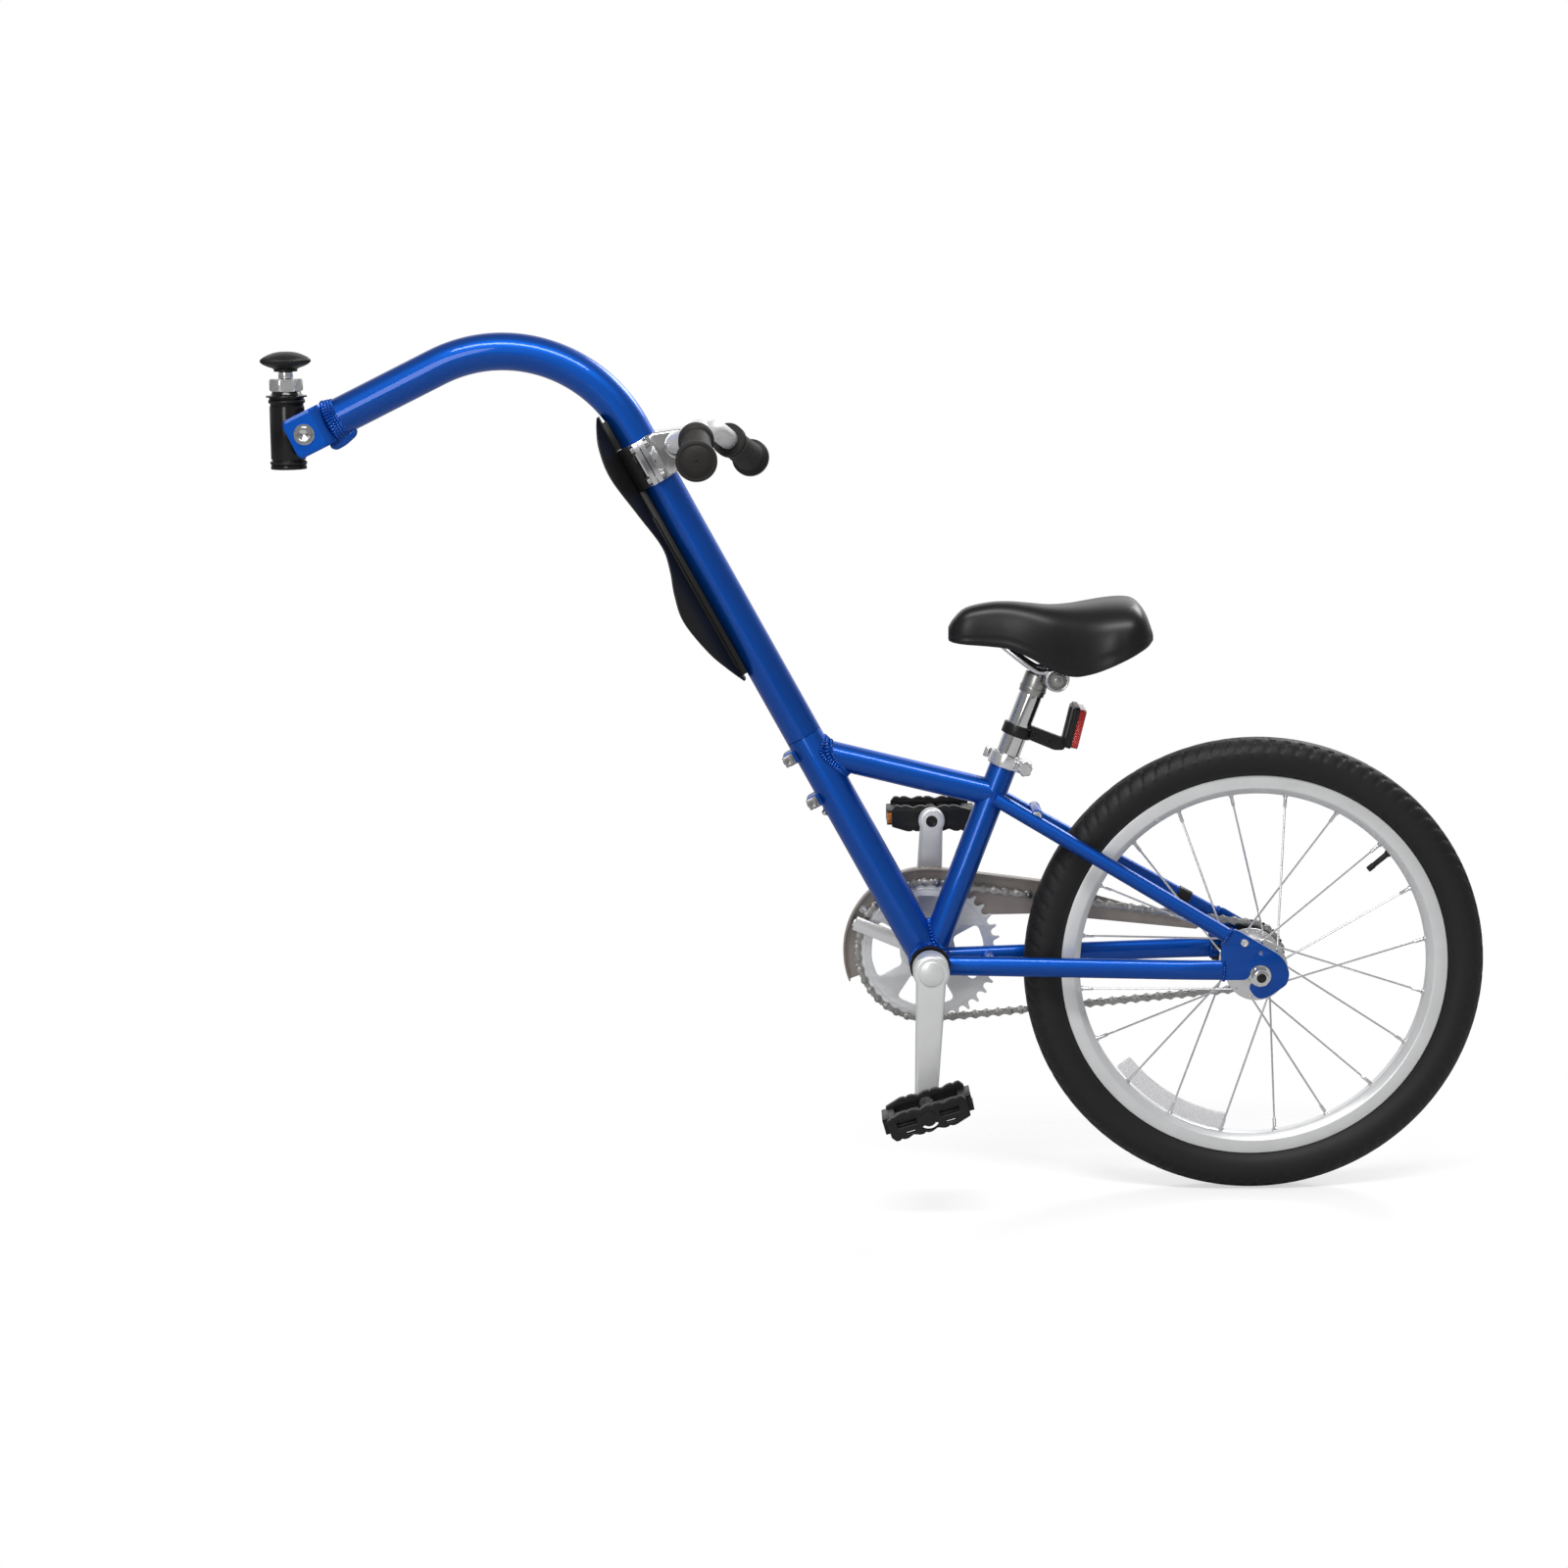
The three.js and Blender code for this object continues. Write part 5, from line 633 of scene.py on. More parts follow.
def block(low, high, place, bevel=0.0):
    bm = bmesh.new()
    bmesh.ops.create_cube(bm, size=1)
    low, high = Vector(low), Vector(high)
    size = high - low
    bm.transform(Matrix.Translation((low + high) / 2) @ Matrix.Diagonal((*size, 1)))
    if bevel:
        bmesh.ops.bevel(bm, geom=bm.edges[:], offset=bevel, segments=2, affect="EDGES", profile=0.5)
    return toMesh(bm, place)


def edged(mesh, width, angle=40):  # rounds the sharp edges of a finished mesh
    holder = shown("edged", mesh)
    modifier = holder.modifiers.new("edges", "BEVEL")
    modifier.width = width * mm
    modifier.segments = 2
    modifier.limit_method = "ANGLE"
    modifier.angle_limit = radians(angle)
    result = settled(holder)
    bpy.data.objects.remove(holder)
    return result


def fromNode(node, width):  # a copy of a CAD node with its edges rounded
    bm = bmesh.new()
    bm.from_mesh(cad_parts[node].data)
    bmesh.ops.remove_doubles(bm, verts=bm.verts, dist=1e-6)
    bmesh.ops.dissolve_limit(bm, angle_limit=radians(1), verts=bm.verts, edges=bm.edges)
    mesh = bpy.data.meshes.new(node)
    bm.to_mesh(mesh)
    bm.free()
    return edged(mesh, width, 30)


# Geometry trees


def newTree(name, sockets):
    tree = bpy.data.node_groups.new(name, "GeometryNodeTree")
    maker = NodeMaker(tree)
    for label, kind in (("Geometry", "Geometry"), *sockets, ("Finish", "Material")):
        tree.interface.new_socket(label, in_out="INPUT", socket_type="NodeSocket" + kind)
    tree.interface.new_socket("Geometry", in_out="OUTPUT", socket_type="NodeSocketGeometry")
    source = maker.make("NodeGroupInput")
    return maker, {s.name: Wire(maker, s) for s in source.outputs if s.name}


def closeTree(maker, instances, finish):
    plain = maker.wire("GeometryNodeRealizeInstances", None, {"Geometry": instances})
    dressed = maker.wire("GeometryNodeSetMaterial", None, {"Geometry": plain, "Material": finish})
    maker.make("NodeGroupOutput", None, {"Geometry": dressed})
    return maker.tree


def placedArrayTree(name, axis, pivot):  # copies of a pattern, each turned to its point's own heading
    maker, given = newTree(name, [("Pattern", "Object")])
    pattern = maker.wire("GeometryNodeObjectInfo", None, {"Object": given["Pattern"]}, output="Geometry")
    heading = maker.wire("GeometryNodeInputNamedAttribute", {"data_type": "FLOAT_VECTOR"},
                         {"Name": "heading"})
    facing = maker.wire("FunctionNodeAlignRotationToVector", {"axis": axis, "pivot_axis": pivot},
                        {"Vector": heading})
    copies = maker.wire("GeometryNodeInstanceOnPoints", None,
                        {"Points": given["Geometry"], "Instance": pattern, "Rotation": facing})
    return closeTree(maker, copies, given["Finish"])


def wireTree():  # a round wire along each edge
    maker, given = newTree("wires", [("Radius", "Float"), ("Sides", "Int")])
    lines = maker.wire("GeometryNodeMeshToCurve", None, {"Mesh": given["Geometry"]})
    ring = maker.wire("GeometryNodeCurvePrimitiveCircle", None,
                      {"Resolution": given["Sides"], "Radius": given["Radius"]})
    tubes = maker.wire("GeometryNodeCurveToMesh", None,
                       {"Curve": lines, "Profile Curve": ring, "Fill Caps": True})
    return closeTree(maker, tubes, given["Finish"])


def beadTree():  # overlapping beads of weld along a seam
    maker, given = newTree("weldBeads", [("Radius", "Float"), ("Spacing", "Float"), ("Flatness", "Vector")])
    seam = maker.wire("GeometryNodeMeshToCurve", None, {"Mesh": given["Geometry"]})
    even = maker.wire("GeometryNodeResampleCurve", {"mode": "LENGTH"},
                      {"Curve": seam, "Length": given["Spacing"]})
    points = maker.make("GeometryNodeCurveToPoints", {"mode": "EVALUATED"}, {"Curve": even})
    bead = maker.wire("GeometryNodeMeshUVSphere", None,
                      {"Segments": 12, "Rings": 8, "Radius": given["Radius"]})
    facing = maker.wire("FunctionNodeAlignRotationToVector", {"axis": "Z"},
                        {"Vector": Wire(maker, points.outputs["Tangent"])})
    beads = maker.wire("GeometryNodeInstanceOnPoints", None, {
        "Points": Wire(maker, points.outputs["Points"]), "Instance": bead,
        "Rotation": facing, "Scale": given["Flatness"],
    })
    return closeTree(maker, beads, given["Finish"])


trees = {
    "chain": placedArrayTree("chainLinks", "X", "Y"),
    "aimed": placedArrayTree("aimedPieces", "Z", "AUTO"),
    "wires": wireTree(),
    "beads": beadTree(),
}


def pointsMesh(points, headings=None, edges=()):
    mesh = bpy.data.meshes.new("points")
    mesh.from_pydata([tuple(p) for p in points], edges, [])
    if headings:
        attribute = mesh.attributes.new("heading", "FLOAT_VECTOR", "POINT")
        attribute.data.foreach_set("vector", [value for heading in headings for value in heading])
    return mesh


def grown(base, tree, finish, values, place):  # runs a geometry tree and keeps a plain mesh
    holder = shown("grown", base)
    modifier = holder.modifiers.new("tree", "NODES")
    modifier.node_group = trees[tree]
    values = {**values, "Finish": finishes[finish].material}
    for item in trees[tree].interface.items_tree:
        if item.in_out == "INPUT" and item.name in values:
            modifier[item.identifier] = values[item.name]
    mesh = settled(holder)
    holder.modifiers.remove(modifier)
    bpy.data.objects.remove(holder)
    mesh.transform(place)
    return mesh


def placedArray(tree, pattern, points, headings, finish, place):
    holder = shown("pattern", pattern)
    mesh = grown(pointsMesh(points, headings), tree, finish, {"Pattern": holder}, place)
    bpy.data.objects.remove(holder)
    return mesh


def wires(lines, radius, sides, finish, place):
    points = [p for line in lines for p in line]
    edges = [(2 * i, 2 * i + 1) for i in range(len(lines))]
    return grown(pointsMesh(points, None, edges), "wires", finish, {"Radius": radius, "Sides": sides}, place)


weld = {"radius": 2.9, "spacing": 3.1, "flatness": (1.0, 1.0, 0.6)}


def weldBead(seam, place, size=1.0):
    count = len(seam)
    values = {key: weld[key.lower()] * size for key in ("Radius", "Spacing")}
    values["Flatness"] = weld["flatness"]
    edges = [(i, (i + 1) % count) for i in range(count)]
    return grown(pointsMesh(seam, None, edges), "beads", "paint", values, place)


# Where the skin of one round tube meets another: points in the part's millimetres
def seamOf(start, heading, radius, otherStart, otherHeading, otherRadius, steps=72):
    d, e = heading.normalized(), otherHeading.normalized()
    u = d.orthogonal().normalized()
    v = d.cross(u)
    seam = []
    for i in range(steps):
        angle = tau * i / steps
        p = start + (u * cos(angle) + v * sin(angle)) * radius - otherStart
        q = p - e * p.dot(e)
        f = d - e * d.dot(e)
        a, b, c = f.dot(f), 2 * q.dot(f), q.dot(q) - otherRadius ** 2
        root = b * b - 4 * a * c
        if root < 0:
            return []
        seam.append(start + (u * cos(angle) + v * sin(angle)) * radius + d * ((-b + sqrt(root)) / (2 * a)))
    return seam


print("tools ready")

# Small shapes the assemblies share


def ringAt(radius, height, steps=48, sides=0):  # a circle of points, or the corners and flats of a nut
    points = []
    for i in range(steps):
        angle = tau * i / steps
        size = radius
        if sides:
            size *= cos(pi / sides) / cos(angle % (tau / sides) - pi / sides)
        points.append((size * cos(angle), size * sin(angle), height))
    return points


def socketHead(radius, start, end, socket, place, edge=0.7):  # a screw head with a six-sided hole
    out = 1 if end > start else -1
    depth = min(abs(end - start) * 0.6, 3.2) * out
    rings = [ringAt(radius, start), ringAt(radius, end - edge * out), ringAt(radius - edge, end)]
    rings += [ringAt(socket * 1.12, end), ringAt(socket, end - 0.4 * out, sides=6)]
    rings += [ringAt(socket, end - depth, sides=6), ringAt(socket * 0.3, end - depth * 1.1)]
    return skin(rings, place)


def alongX(place, y, z):  # turns a shape drawn round z so that it lies along x of an assembly
    return place @ Matrix.Translation((0, y, z)) @ Matrix.Rotation(pi / 2, 4, "Y")


def onSide(side, near, far):  # two places of y on one side of the bike, the lower one first
    return sorted((near * side, far * side))


def mirrored(profile, side):  # a turned profile on one side of the bike
    return [(radius, height * side) for radius, height in profile]


def otherHalf(points):  # the far half of a path that goes on from the middle plane
    return [Vector((p.x, -p.y, p.z)) for p in reversed(points)]


# Hitch: foot and spindle, two bushes, the swivelling barrel, washer, nut, sleeve and knob

hitch = {
    "upright": [(0, 0), (19, 0), (19, 4.2), (9, 4.2), (9, 95.5), (4, 95.5), (4, 115.5), (0, 115.5)],
    "lowerBush": [(9.1, 4.5), (18.2, 4.5), (19.5, 5.4), (19.5, 8), (17.4, 9.1), (17.4, 10.1), (9.1, 10.1)],
    "upperBush": [(9.1, 67.2), (17.6, 67.2), (17.6, 69.2), (19.5, 70.6), (19.5, 73.2), (18.2, 74.3),
                  (9.1, 74.3)],
    "washer": [(9.1, 74.6), (18.4, 74.6), (18.4, 76), (21.8, 76.3), (21.8, 78), (17.4, 78.4), (16.2, 79.2),
               (15, 82.2), (9.1, 82.2)],
    "barrel": [(11.8, 10.3), (18.5, 10.3), (18.5, 67), (11.8, 67)],
    "lugX": 21, "lugZ": 38, "lugRadius": 12, "lugHalf": 19.6,
    "nut": (17.7, 9.1, 82.5, 95.5), "nutTurn": 0.2,
    "sleeve": (4.1, 7.7, 95.8, 103),
}
upright = turned(hitch["upright"], partPlace, 64, 0.5)
setPiece("hitchUpright", upright, "blackPaint", "hitch_base", ["hitch_spindle"])
for name, key, finish, body, node in (
        ("lowerFlange", "lowerBush", "blackPlastic", "barrel", "lower_bush"),
        ("upperFlange", "upperBush", "blackPlastic", "barrel", "upper_bush"),
        ("hitchWasher", "washer", "blackPaint", "hitch_base", "thrust_washer")):
    setPiece(name, turned(hitch[key], partPlace, 64, 0.4, loop=True), finish, body, [node])
barrelWall = turned(hitch["barrel"], partPlace, 72, 0.8, loop=True)
lugLie = partPlace @ across(hitch["lugX"], hitch["lugZ"])
barrelLug = bar(hitch["lugRadius"], -hitch["lugHalf"], hitch["lugHalf"], lugLie, 0.8)
setPiece("swivelBarrel", joined(barrelWall, barrelLug), "blackPaint", "barrel", ["hitch_barrel"])
nutPlace = partPlace @ Matrix.Rotation(hitch["nutTurn"], 4, "Z")
setPiece("lockNut", hexNut(*hitch["nut"], nutPlace), "bright", "hitch_base", ["hitch_lock_nut"])
setPiece("knobSleeve", pipe(*hitch["sleeve"], partPlace), "bright", "lock_sleeve", ["knob_sleeve"])

knob = {
    "profile": [
        (0, 118), (4.3, 118), (4.3, 103.3), (12.5, 103.3), (12.5, 105.6), (14.5, 106.9), (19.5, 108.6),
        (24.2, 110.9), (26.6, 113), (27, 114.6), (26.3, 116.2), (23, 118.6), (18.5, 120.9), (13, 122.9),
        (7, 124), (0, 124.3),
    ],
    "ribs": 70, "ribDepth": 0.014, "ribMiddle": 114.3, "ribHalf": 6.5,
}


def knobWave(angle, height, _):
    share = max(0, 1 - abs(height - knob["ribMiddle"]) / knob["ribHalf"])
    return 1 - knob["ribDepth"] * share * (1 + cos(angle * knob["ribs"]))


knobMesh = turned(knob["profile"], partPlace, knob["ribs"] * 6, wave=knobWave)
setPiece("hitchGrip", knobMesh, "blackPlastic", "knob", ["hitch_knob"], sharp=50)
print("hitch built")

# Drawbar: a bent strip as yoke, its bolt, and the long tube with one bend

yoke = {  # a weld has a radius, a place along the tube and the size of its beads
    "half": 20, "thickness": 5, "ear": -17, "bendStart": 14.5, "bend": 13, "height": 22, "corner": 6,
    "hole": 5.4, "tabCorner": 4, "tabHalf": 3,
    "tab": [(16, -20), (50, -19), (46, -26), (31, -30), (20, -30.5), (15, -26)],
    "welds": [(20.6, 28.6, 1.1), (20, 31.8, 1), (19.3, 35, 0.95), (18.8, 38, 0.85)],
}


def yokeMesh():
    outer = yoke["half"] + yoke["thickness"]
    centreY = outer - yoke["bend"]
    length = yoke["bendStart"] - yoke["ear"]
    outside, inside, heights = [], [], []
    for side in (1, -1):
        rows = []
        for i in range(16):
            past = length * i / 16
            x = yoke["ear"] + past
            rows.append(((x, side * outer), (x, side * yoke["half"]), past))
        for i in range(11):
            angle = radians(90 - 9 * i)
            near, far = [(yoke["bendStart"] + r * cos(angle), side * (centreY + r * sin(angle)))
                         for r in (yoke["bend"], yoke["bend"] - yoke["thickness"])]
            rows.append((near, far, 99))
        if side < 0:
            rows.reverse()
        outside += [row[0] for row in rows]
        inside += [row[1] for row in rows]
        heights += [row[2] for row in rows]
    grids = []
    for path in (outside, inside):
        grid = []
        for (x, y), past in zip(path, heights):
            corner = max(yoke["corner"] - past, 0)
            half = yoke["height"] - yoke["corner"] + sqrt(max(yoke["corner"] ** 2 - corner ** 2, 0))
            grid.append([(x, y, half * (j / 6 - 1)) for j in range(13)])
        grids.append(grid)
    hole = bar(yoke["hole"], -30, 30, pivotPlace @ across(0, 0), 0)
    return carved(slab(*grids, pivotPlace), hole)


setPiece("yokeStrip", edged(yokeMesh(), 0.9), "paint", "frame", ["drawbar_yoke"])
tabOutline = rounded(yoke["tab"], yoke["tabCorner"])
tab = sidePlate(tabOutline, -yoke["tabHalf"], yoke["tabHalf"], pivotPlace, 0.8)
setPiece("yokeTab", tab, "paint", "frame")

pivotBolt = {
    "shank": (5, -27.1, 35.1), "washer": [(5.1, 25.3), (11, 25.3), (11, 26.3), (10.2, 27.1), (5.1, 27.1)],
    "head": (8, -27.1, -33.1, 3.6), "nut": (9, 5.1, 27.1, 33.6),
}
lie = pivotPlace @ across(0, 0)
setPiece("pivotBoltSet", joined(
    bar(*pivotBolt["shank"], lie, 0.6),
    *[turned(mirrored(pivotBolt["washer"], side), lie, 64, loop=True) for side in (-1, 1)],
    socketHead(*pivotBolt["head"], lie, 1.6), hexNut(*pivotBolt["nut"], lie),
), "chrome", "frame", ["pivot_bolt"])

drawbar = {"radius": 20, "bend": 155, "start": 27.8, "seam": 282, "spigot": 17.5, "spigotEnd": 150,
           "turns": 48}


def drawbarPath():
    rise = Vector((cos(leans["yoke"]), 0, sin(leans["yoke"])))
    inward = Vector((sin(leans["yoke"]), 0, -cos(leans["yoke"])))
    aside = Vector((sin(leans["mainTube"]), 0, cos(leans["mainTube"])))
    start, foot = inPart(pivotPlace, 0, 0, 0), inPart(mainPlace, 0, 0, 0)
    bend = drawbar["bend"]
    straight = ((foot - start).dot(aside) - bend * inward.dot(aside) - bend) / rise.dot(aside)
    centre = start + rise * straight + inward * bend
    path = [start + rise * drawbar["start"], start + rise * ((drawbar["start"] + straight) / 2)]
    for i in range(drawbar["turns"] + 1):
        angle = leans["yoke"] - (leans["yoke"] + leans["mainTube"]) * i / drawbar["turns"]
        path.append(centre + Vector((-sin(angle), 0, cos(angle))) * bend)
    seam = inPart(mainPlace, 0, 0, drawbar["seam"])
    return path + [(path[-1] + seam) / 2, seam]


drawbarTube = swept(drawbarPath(), drawbar["radius"], partPlace, 72, 0.5)
spigot = bar(drawbar["spigot"], drawbar["spigotEnd"], drawbar["seam"] + 1, mainPlace, 0.8, 64)
setPiece("drawbarTube", joined(drawbarTube, spigot), "paint", "frame", ["drawbar_tube"])
yokeLie = alongX(pivotPlace, 0, 0)
yokeBeads = [weldBead(ringAt(radius, along), yokeLie, size) for radius, along, size in yoke["welds"]]
setPiece("yokeWeld", joined(*yokeBeads), "paint", "frame")

# Handlebar clamp: two half shells; the rear one is a stamped housing that carries the bar

barClamp = {
    "bore": 21.02, "shell": 24.62, "split": 0.5, "flange": 5.5, "flangeOut": 36, "low": 596.5, "high": 645.5,
    "barX": 36.5, "middle": 621, "barBore": 11.4, "ring": 16.5, "ringTurn": radians(68), "half": 21,
    "housing": 8, "knee": 19, "shoulder": 27, "slope": 3.5, "collar": 14.6, "collarOut": 1.6, "collarIn": 2,
    "hook": -8.9, "hookWall": -6.3, "hookY": 36.3, "hookRoot": 32.3, "lip": 38.9,
}
clampScrew = {
    "y": -30.3, "gap": 18.5, "shank": (3, -10.3, 6.6), "head": (5, 6.3, 10.8, 2.4),
    "washer": (3.2, 5.6, 6.05, 6.9), "nut": (5, 3.05, -10.3, -6.3),
}


def shellOutline(side):
    split, back = barClamp["split"], barClamp["split"] + barClamp["flange"]
    bore, shell, out = barClamp["bore"], barClamp["shell"], barClamp["flangeOut"]
    lean, meet = asin(split / bore), asin(back / shell)
    inner = arc(0, 0, bore, pi / 2 + lean, 3 * pi / 2 - lean, 36)
    outer = arc(0, 0, shell, 3 * pi / 2 - meet, pi / 2 + meet, 36)
    outline = [(-split, out), *inner, (-split, -out), (-back, -out), *outer, (-back, out)]
    return [(x * -side, y) for x, y in outline]


low, high = barClamp["low"], barClamp["high"]
frontShell, rearShell = [sheetOf(shellOutline(side), low, high, mainPlace, 0.5) for side in (-1, 1)]
setPiece("clampFront", frontShell, "chrome", "frame", ["bar_clamp_front"])
back = barClamp["split"] + barClamp["flange"]
hook = joined(*[block((barClamp["hook"], y, low), (x, barClamp["lip"], high), mainPlace, 0.4)
                for y, x in ((barClamp["hookY"], back), (barClamp["hookRoot"], barClamp["hookWall"]))])
knee, shoulder, slope = barClamp["knee"], barClamp["shoulder"], barClamp["slope"]
housingSide = [(barClamp["housing"], low), (knee, low), (shoulder, low + slope)]
housingSide += arc(barClamp["barX"], barClamp["middle"], barClamp["ring"], -barClamp["ringTurn"],
                   barClamp["ringTurn"], 20)
housingSide += [(shoulder, high - slope), (knee, high), (barClamp["housing"], high)]
barLie = mainPlace @ across(barClamp["barX"], barClamp["middle"])
housing = carved(sidePlate(housingSide, -barClamp["half"], barClamp["half"], mainPlace, 3.2, steps=5),
                 bar(barClamp["bore"], low - 5, high + 5, mainPlace, 0, 96),
                 bar(barClamp["barBore"], -40, 40, barLie, 0, 64))
collar = pipe(barClamp["barBore"], barClamp["collar"], -barClamp["half"] - barClamp["collarOut"],
              -barClamp["half"] + barClamp["collarIn"], barLie, 0.5)
rearClamp = joined(rearShell, hook, housing, collar)
setPiece("clampRear", rearClamp, "chrome", "frame", ["bar_clamp_rear"], sharp=30)

for name, node, along in (("clampScrewUpper", "clamp_bolt_upper", 1),
                          ("clampScrewLower", "clamp_bolt_lower", -1)):
    place = alongX(mainPlace, clampScrew["y"], barClamp["middle"] + along * clampScrew["gap"])
    screw = joined(bar(*clampScrew["shank"], place, 0.3), socketHead(*clampScrew["head"], place),
                   pipe(*clampScrew["washer"], place, 0.2), hexNut(*clampScrew["nut"], place))
    setPiece(name, screw, "steel", "frame", [node])

# Handlebar and grips, drawn in the bar's own axes

handlebar = {
    "radius": 11, "turn": radians(-6), "tilt": radians(-3.8),
    "path": [(0, 0, 0), (0, 24, 0), (9.3, 34.8, 3.5), (22.6, 46.3, 10.5), (29, 60, 14), (32.2, 81.7, 11.7)],
    "gripFrom": (35.3, 125, 4.8), "end": (48.8, 223, -16.3),
}
barPlace = placeAt(inPart(mainPlace, barClamp["barX"], 0, barClamp["middle"]) * mm)
barPlace = barPlace @ Matrix.Rotation(handlebar["turn"], 4, "Z") @ Matrix.Rotation(handlebar["tilt"], 4, "X")
halfBar = flowing([*handlebar["path"], handlebar["gripFrom"]], 8) + [Vector(handlebar["end"])]
wholeBar = otherHalf(halfBar) + halfBar[1:]
barMesh = swept(wholeBar, handlebar["radius"], barPlace, 56, 0.4)
setPiece("handlebarTube", barMesh, "silver", "bar", ["handlebar"])

grip = {  # the tip's heights count from the reach, and a rib is drawn in shares of its pitch
    "reach": 101.15, "bore": 11.3, "rings": 11, "waistFrom": 23, "waistLess": 33, "waist": 14.6,
    "growth": 1.1,
    "flanges": [(18.1, 4), (18.5, 4.6), (18.5, 7.4), (18.1, 8), (16.4, 9), (16, 10), (16.4, 11), (18.1, 12),
                (18.5, 12.6), (18.5, 15.4), (17.9, 16), (15.6, 17.4), (14.5, 20)],
    "rib": [(0, 0), (0.75, 0.2), (0.75, 0.7), (0, 0.9)],
    "tip": [(15.9, -6), (17.6, -2.6), (20.4, -0.4), (21, 0.8), (21, 6), (20.2, 7.2), (17.6, 7.5), (17.2, 7.2),
            (16.7, 7.2), (16.3, 7.8), (8, 8.8), (2.2, 9.1), (1.5, 8.2), (0, 8.2)],
}


def gripProfile():
    reach, count = grip["reach"], grip["rings"]
    pitch = (reach - grip["waistLess"]) / count
    profile = [(0, reach + 0.3), (grip["bore"], reach + 0.3), (grip["bore"], 4), *grip["flanges"]]
    for i in range(count):  # shallow ribs round the waist
        low, along = grip["waist"] + grip["growth"] * i / count, grip["waistFrom"] + pitch * i
        profile += [(low + out, along + pitch * share) for out, share in grip["rib"]]
    return profile + [(radius, reach + height) for radius, height in grip["tip"]]


for name, node, side in (("gripNear", "grip_left", -1), ("gripFar", "grip_right", 1)):
    root, tip = [Vector((x, y * side, z)) for x, y, z in (handlebar["gripFrom"], handlebar["end"])]
    place = barPlace @ Matrix.Translation(root) @ (tip - root).to_track_quat("Z", "Y").to_matrix().to_4x4()
    setPiece(name, turned(gripProfile(), place, 72), "rubber", "bar", [node], sharp=50)

# Mudguard: a dished flap and the pad that straps it over the clamp

mudguard = {
    "low": 366, "high": 687, "half": 52, "reach": 23, "spine": -24.2, "thickness": 2.6, "thin": 0.35,
    "ribHeight": 0.9, "ribAt": 0.16, "ribHalf": 0.05, "padInner": 25.8, "padOuter": 28.8,
    "padTurn": radians(66), "padRibs": 84, "padRibDepth": 0.012, "tubeRoom": 25.6,
    "shares": [
        (0, 0.24, 0.02), (0.06, 0.58, 0.32), (0.15, 0.84, 0.72), (0.28, 1, 1), (0.37, 0.88, 0.8),
        (0.45, 0.68, 0.44), (0.53, 0.54, 0.26), (0.66, 0.68, 0.48), (0.81, 0.86, 0.72), (0.91, 0.74, 0.55),
        (0.97, 0.5, 0.24), (1, 0.2, 0.02),
    ],
    "ridges": (-10.4, 8), "ridgeWidth": 2.4, "ridgeFrom": -26, "ridgeTo": -18.4,
    "lines": (-15.4, 14.2), "lineWidth": 1.2, "lineFrom": -28, "lineTo": -24.6, "lineLow": 16,
    "lineHigh": 200,
}


def mudguardMesh():
    grids = [[], []]
    for along, width, reach in flowing(mudguard["shares"], 6):
        z = mudguard["low"] + (mudguard["high"] - mudguard["low"]) * along
        rows = [[], []]
        for j in range(33):
            side = j / 16 - 1
            rib = mudguard["ribHeight"] * max(0, 1 - abs(abs(side) - mudguard["ribAt"]) / mudguard["ribHalf"])
            front = mudguard["spine"] - mudguard["reach"] * reach * side ** 2 - rib
            wall = mudguard["thickness"] * (1 - mudguard["thin"] * side ** 8)
            y = mudguard["half"] * width * side
            rows[0].append((front, y, z))
            rows[1].append((front - wall, y, z))
        grids[0].append(rows[0])
        grids[1].append(rows[1])
    return slab(*grids, mainPlace)


flap = carved(edged(mudguardMesh(), 0.6), bar(mudguard["tubeRoom"], low - 0.5, high + 0.5, mainPlace, 0, 96))
turnFrom, turnTo = pi - mudguard["padTurn"], pi + mudguard["padTurn"]
padOutline = arc(0, 0, mudguard["padInner"], turnTo, turnFrom, 40)
for i, (x, y) in enumerate(arc(0, 0, mudguard["padOuter"], turnFrom, turnTo, mudguard["padRibs"])):
    share = 1 - mudguard["padRibDepth"] * (i % 2)
    padOutline.append((x * share, y * share))
pad = sheetOf(padOutline, low + 0.4, high - 0.4, mainPlace, 0.3)
ridges = []
for y in mudguard["ridges"]:  # two long ridges that lie against the tube
    for start, end in ((mudguard["low"] + 6, low - 0.6), (high + 0.6, mudguard["high"] - 8)):
        ridges.append(block((mudguard["ridgeFrom"], y, start),
                            (mudguard["ridgeTo"], y + mudguard["ridgeWidth"], end), mainPlace, 0.5))
for y in mudguard["lines"]:  # and a lower line outside each
    ridges.append(block((mudguard["lineFrom"], y, mudguard["low"] + mudguard["lineLow"]),
                        (mudguard["lineTo"], y + mudguard["lineWidth"],
                         mudguard["low"] + mudguard["lineHigh"]),
                        mainPlace, 0.4))
setPiece("mudguardFlap", joined(flap, pad, *ridges), "blackPlastic", "frame", ["mudguard"], sharp=45)
print("drawbar, clamp, bar and mudguard built")

# Frame tubes: slotted down tube with pinch lugs, top tube, slotted seat tube and the bracket shell

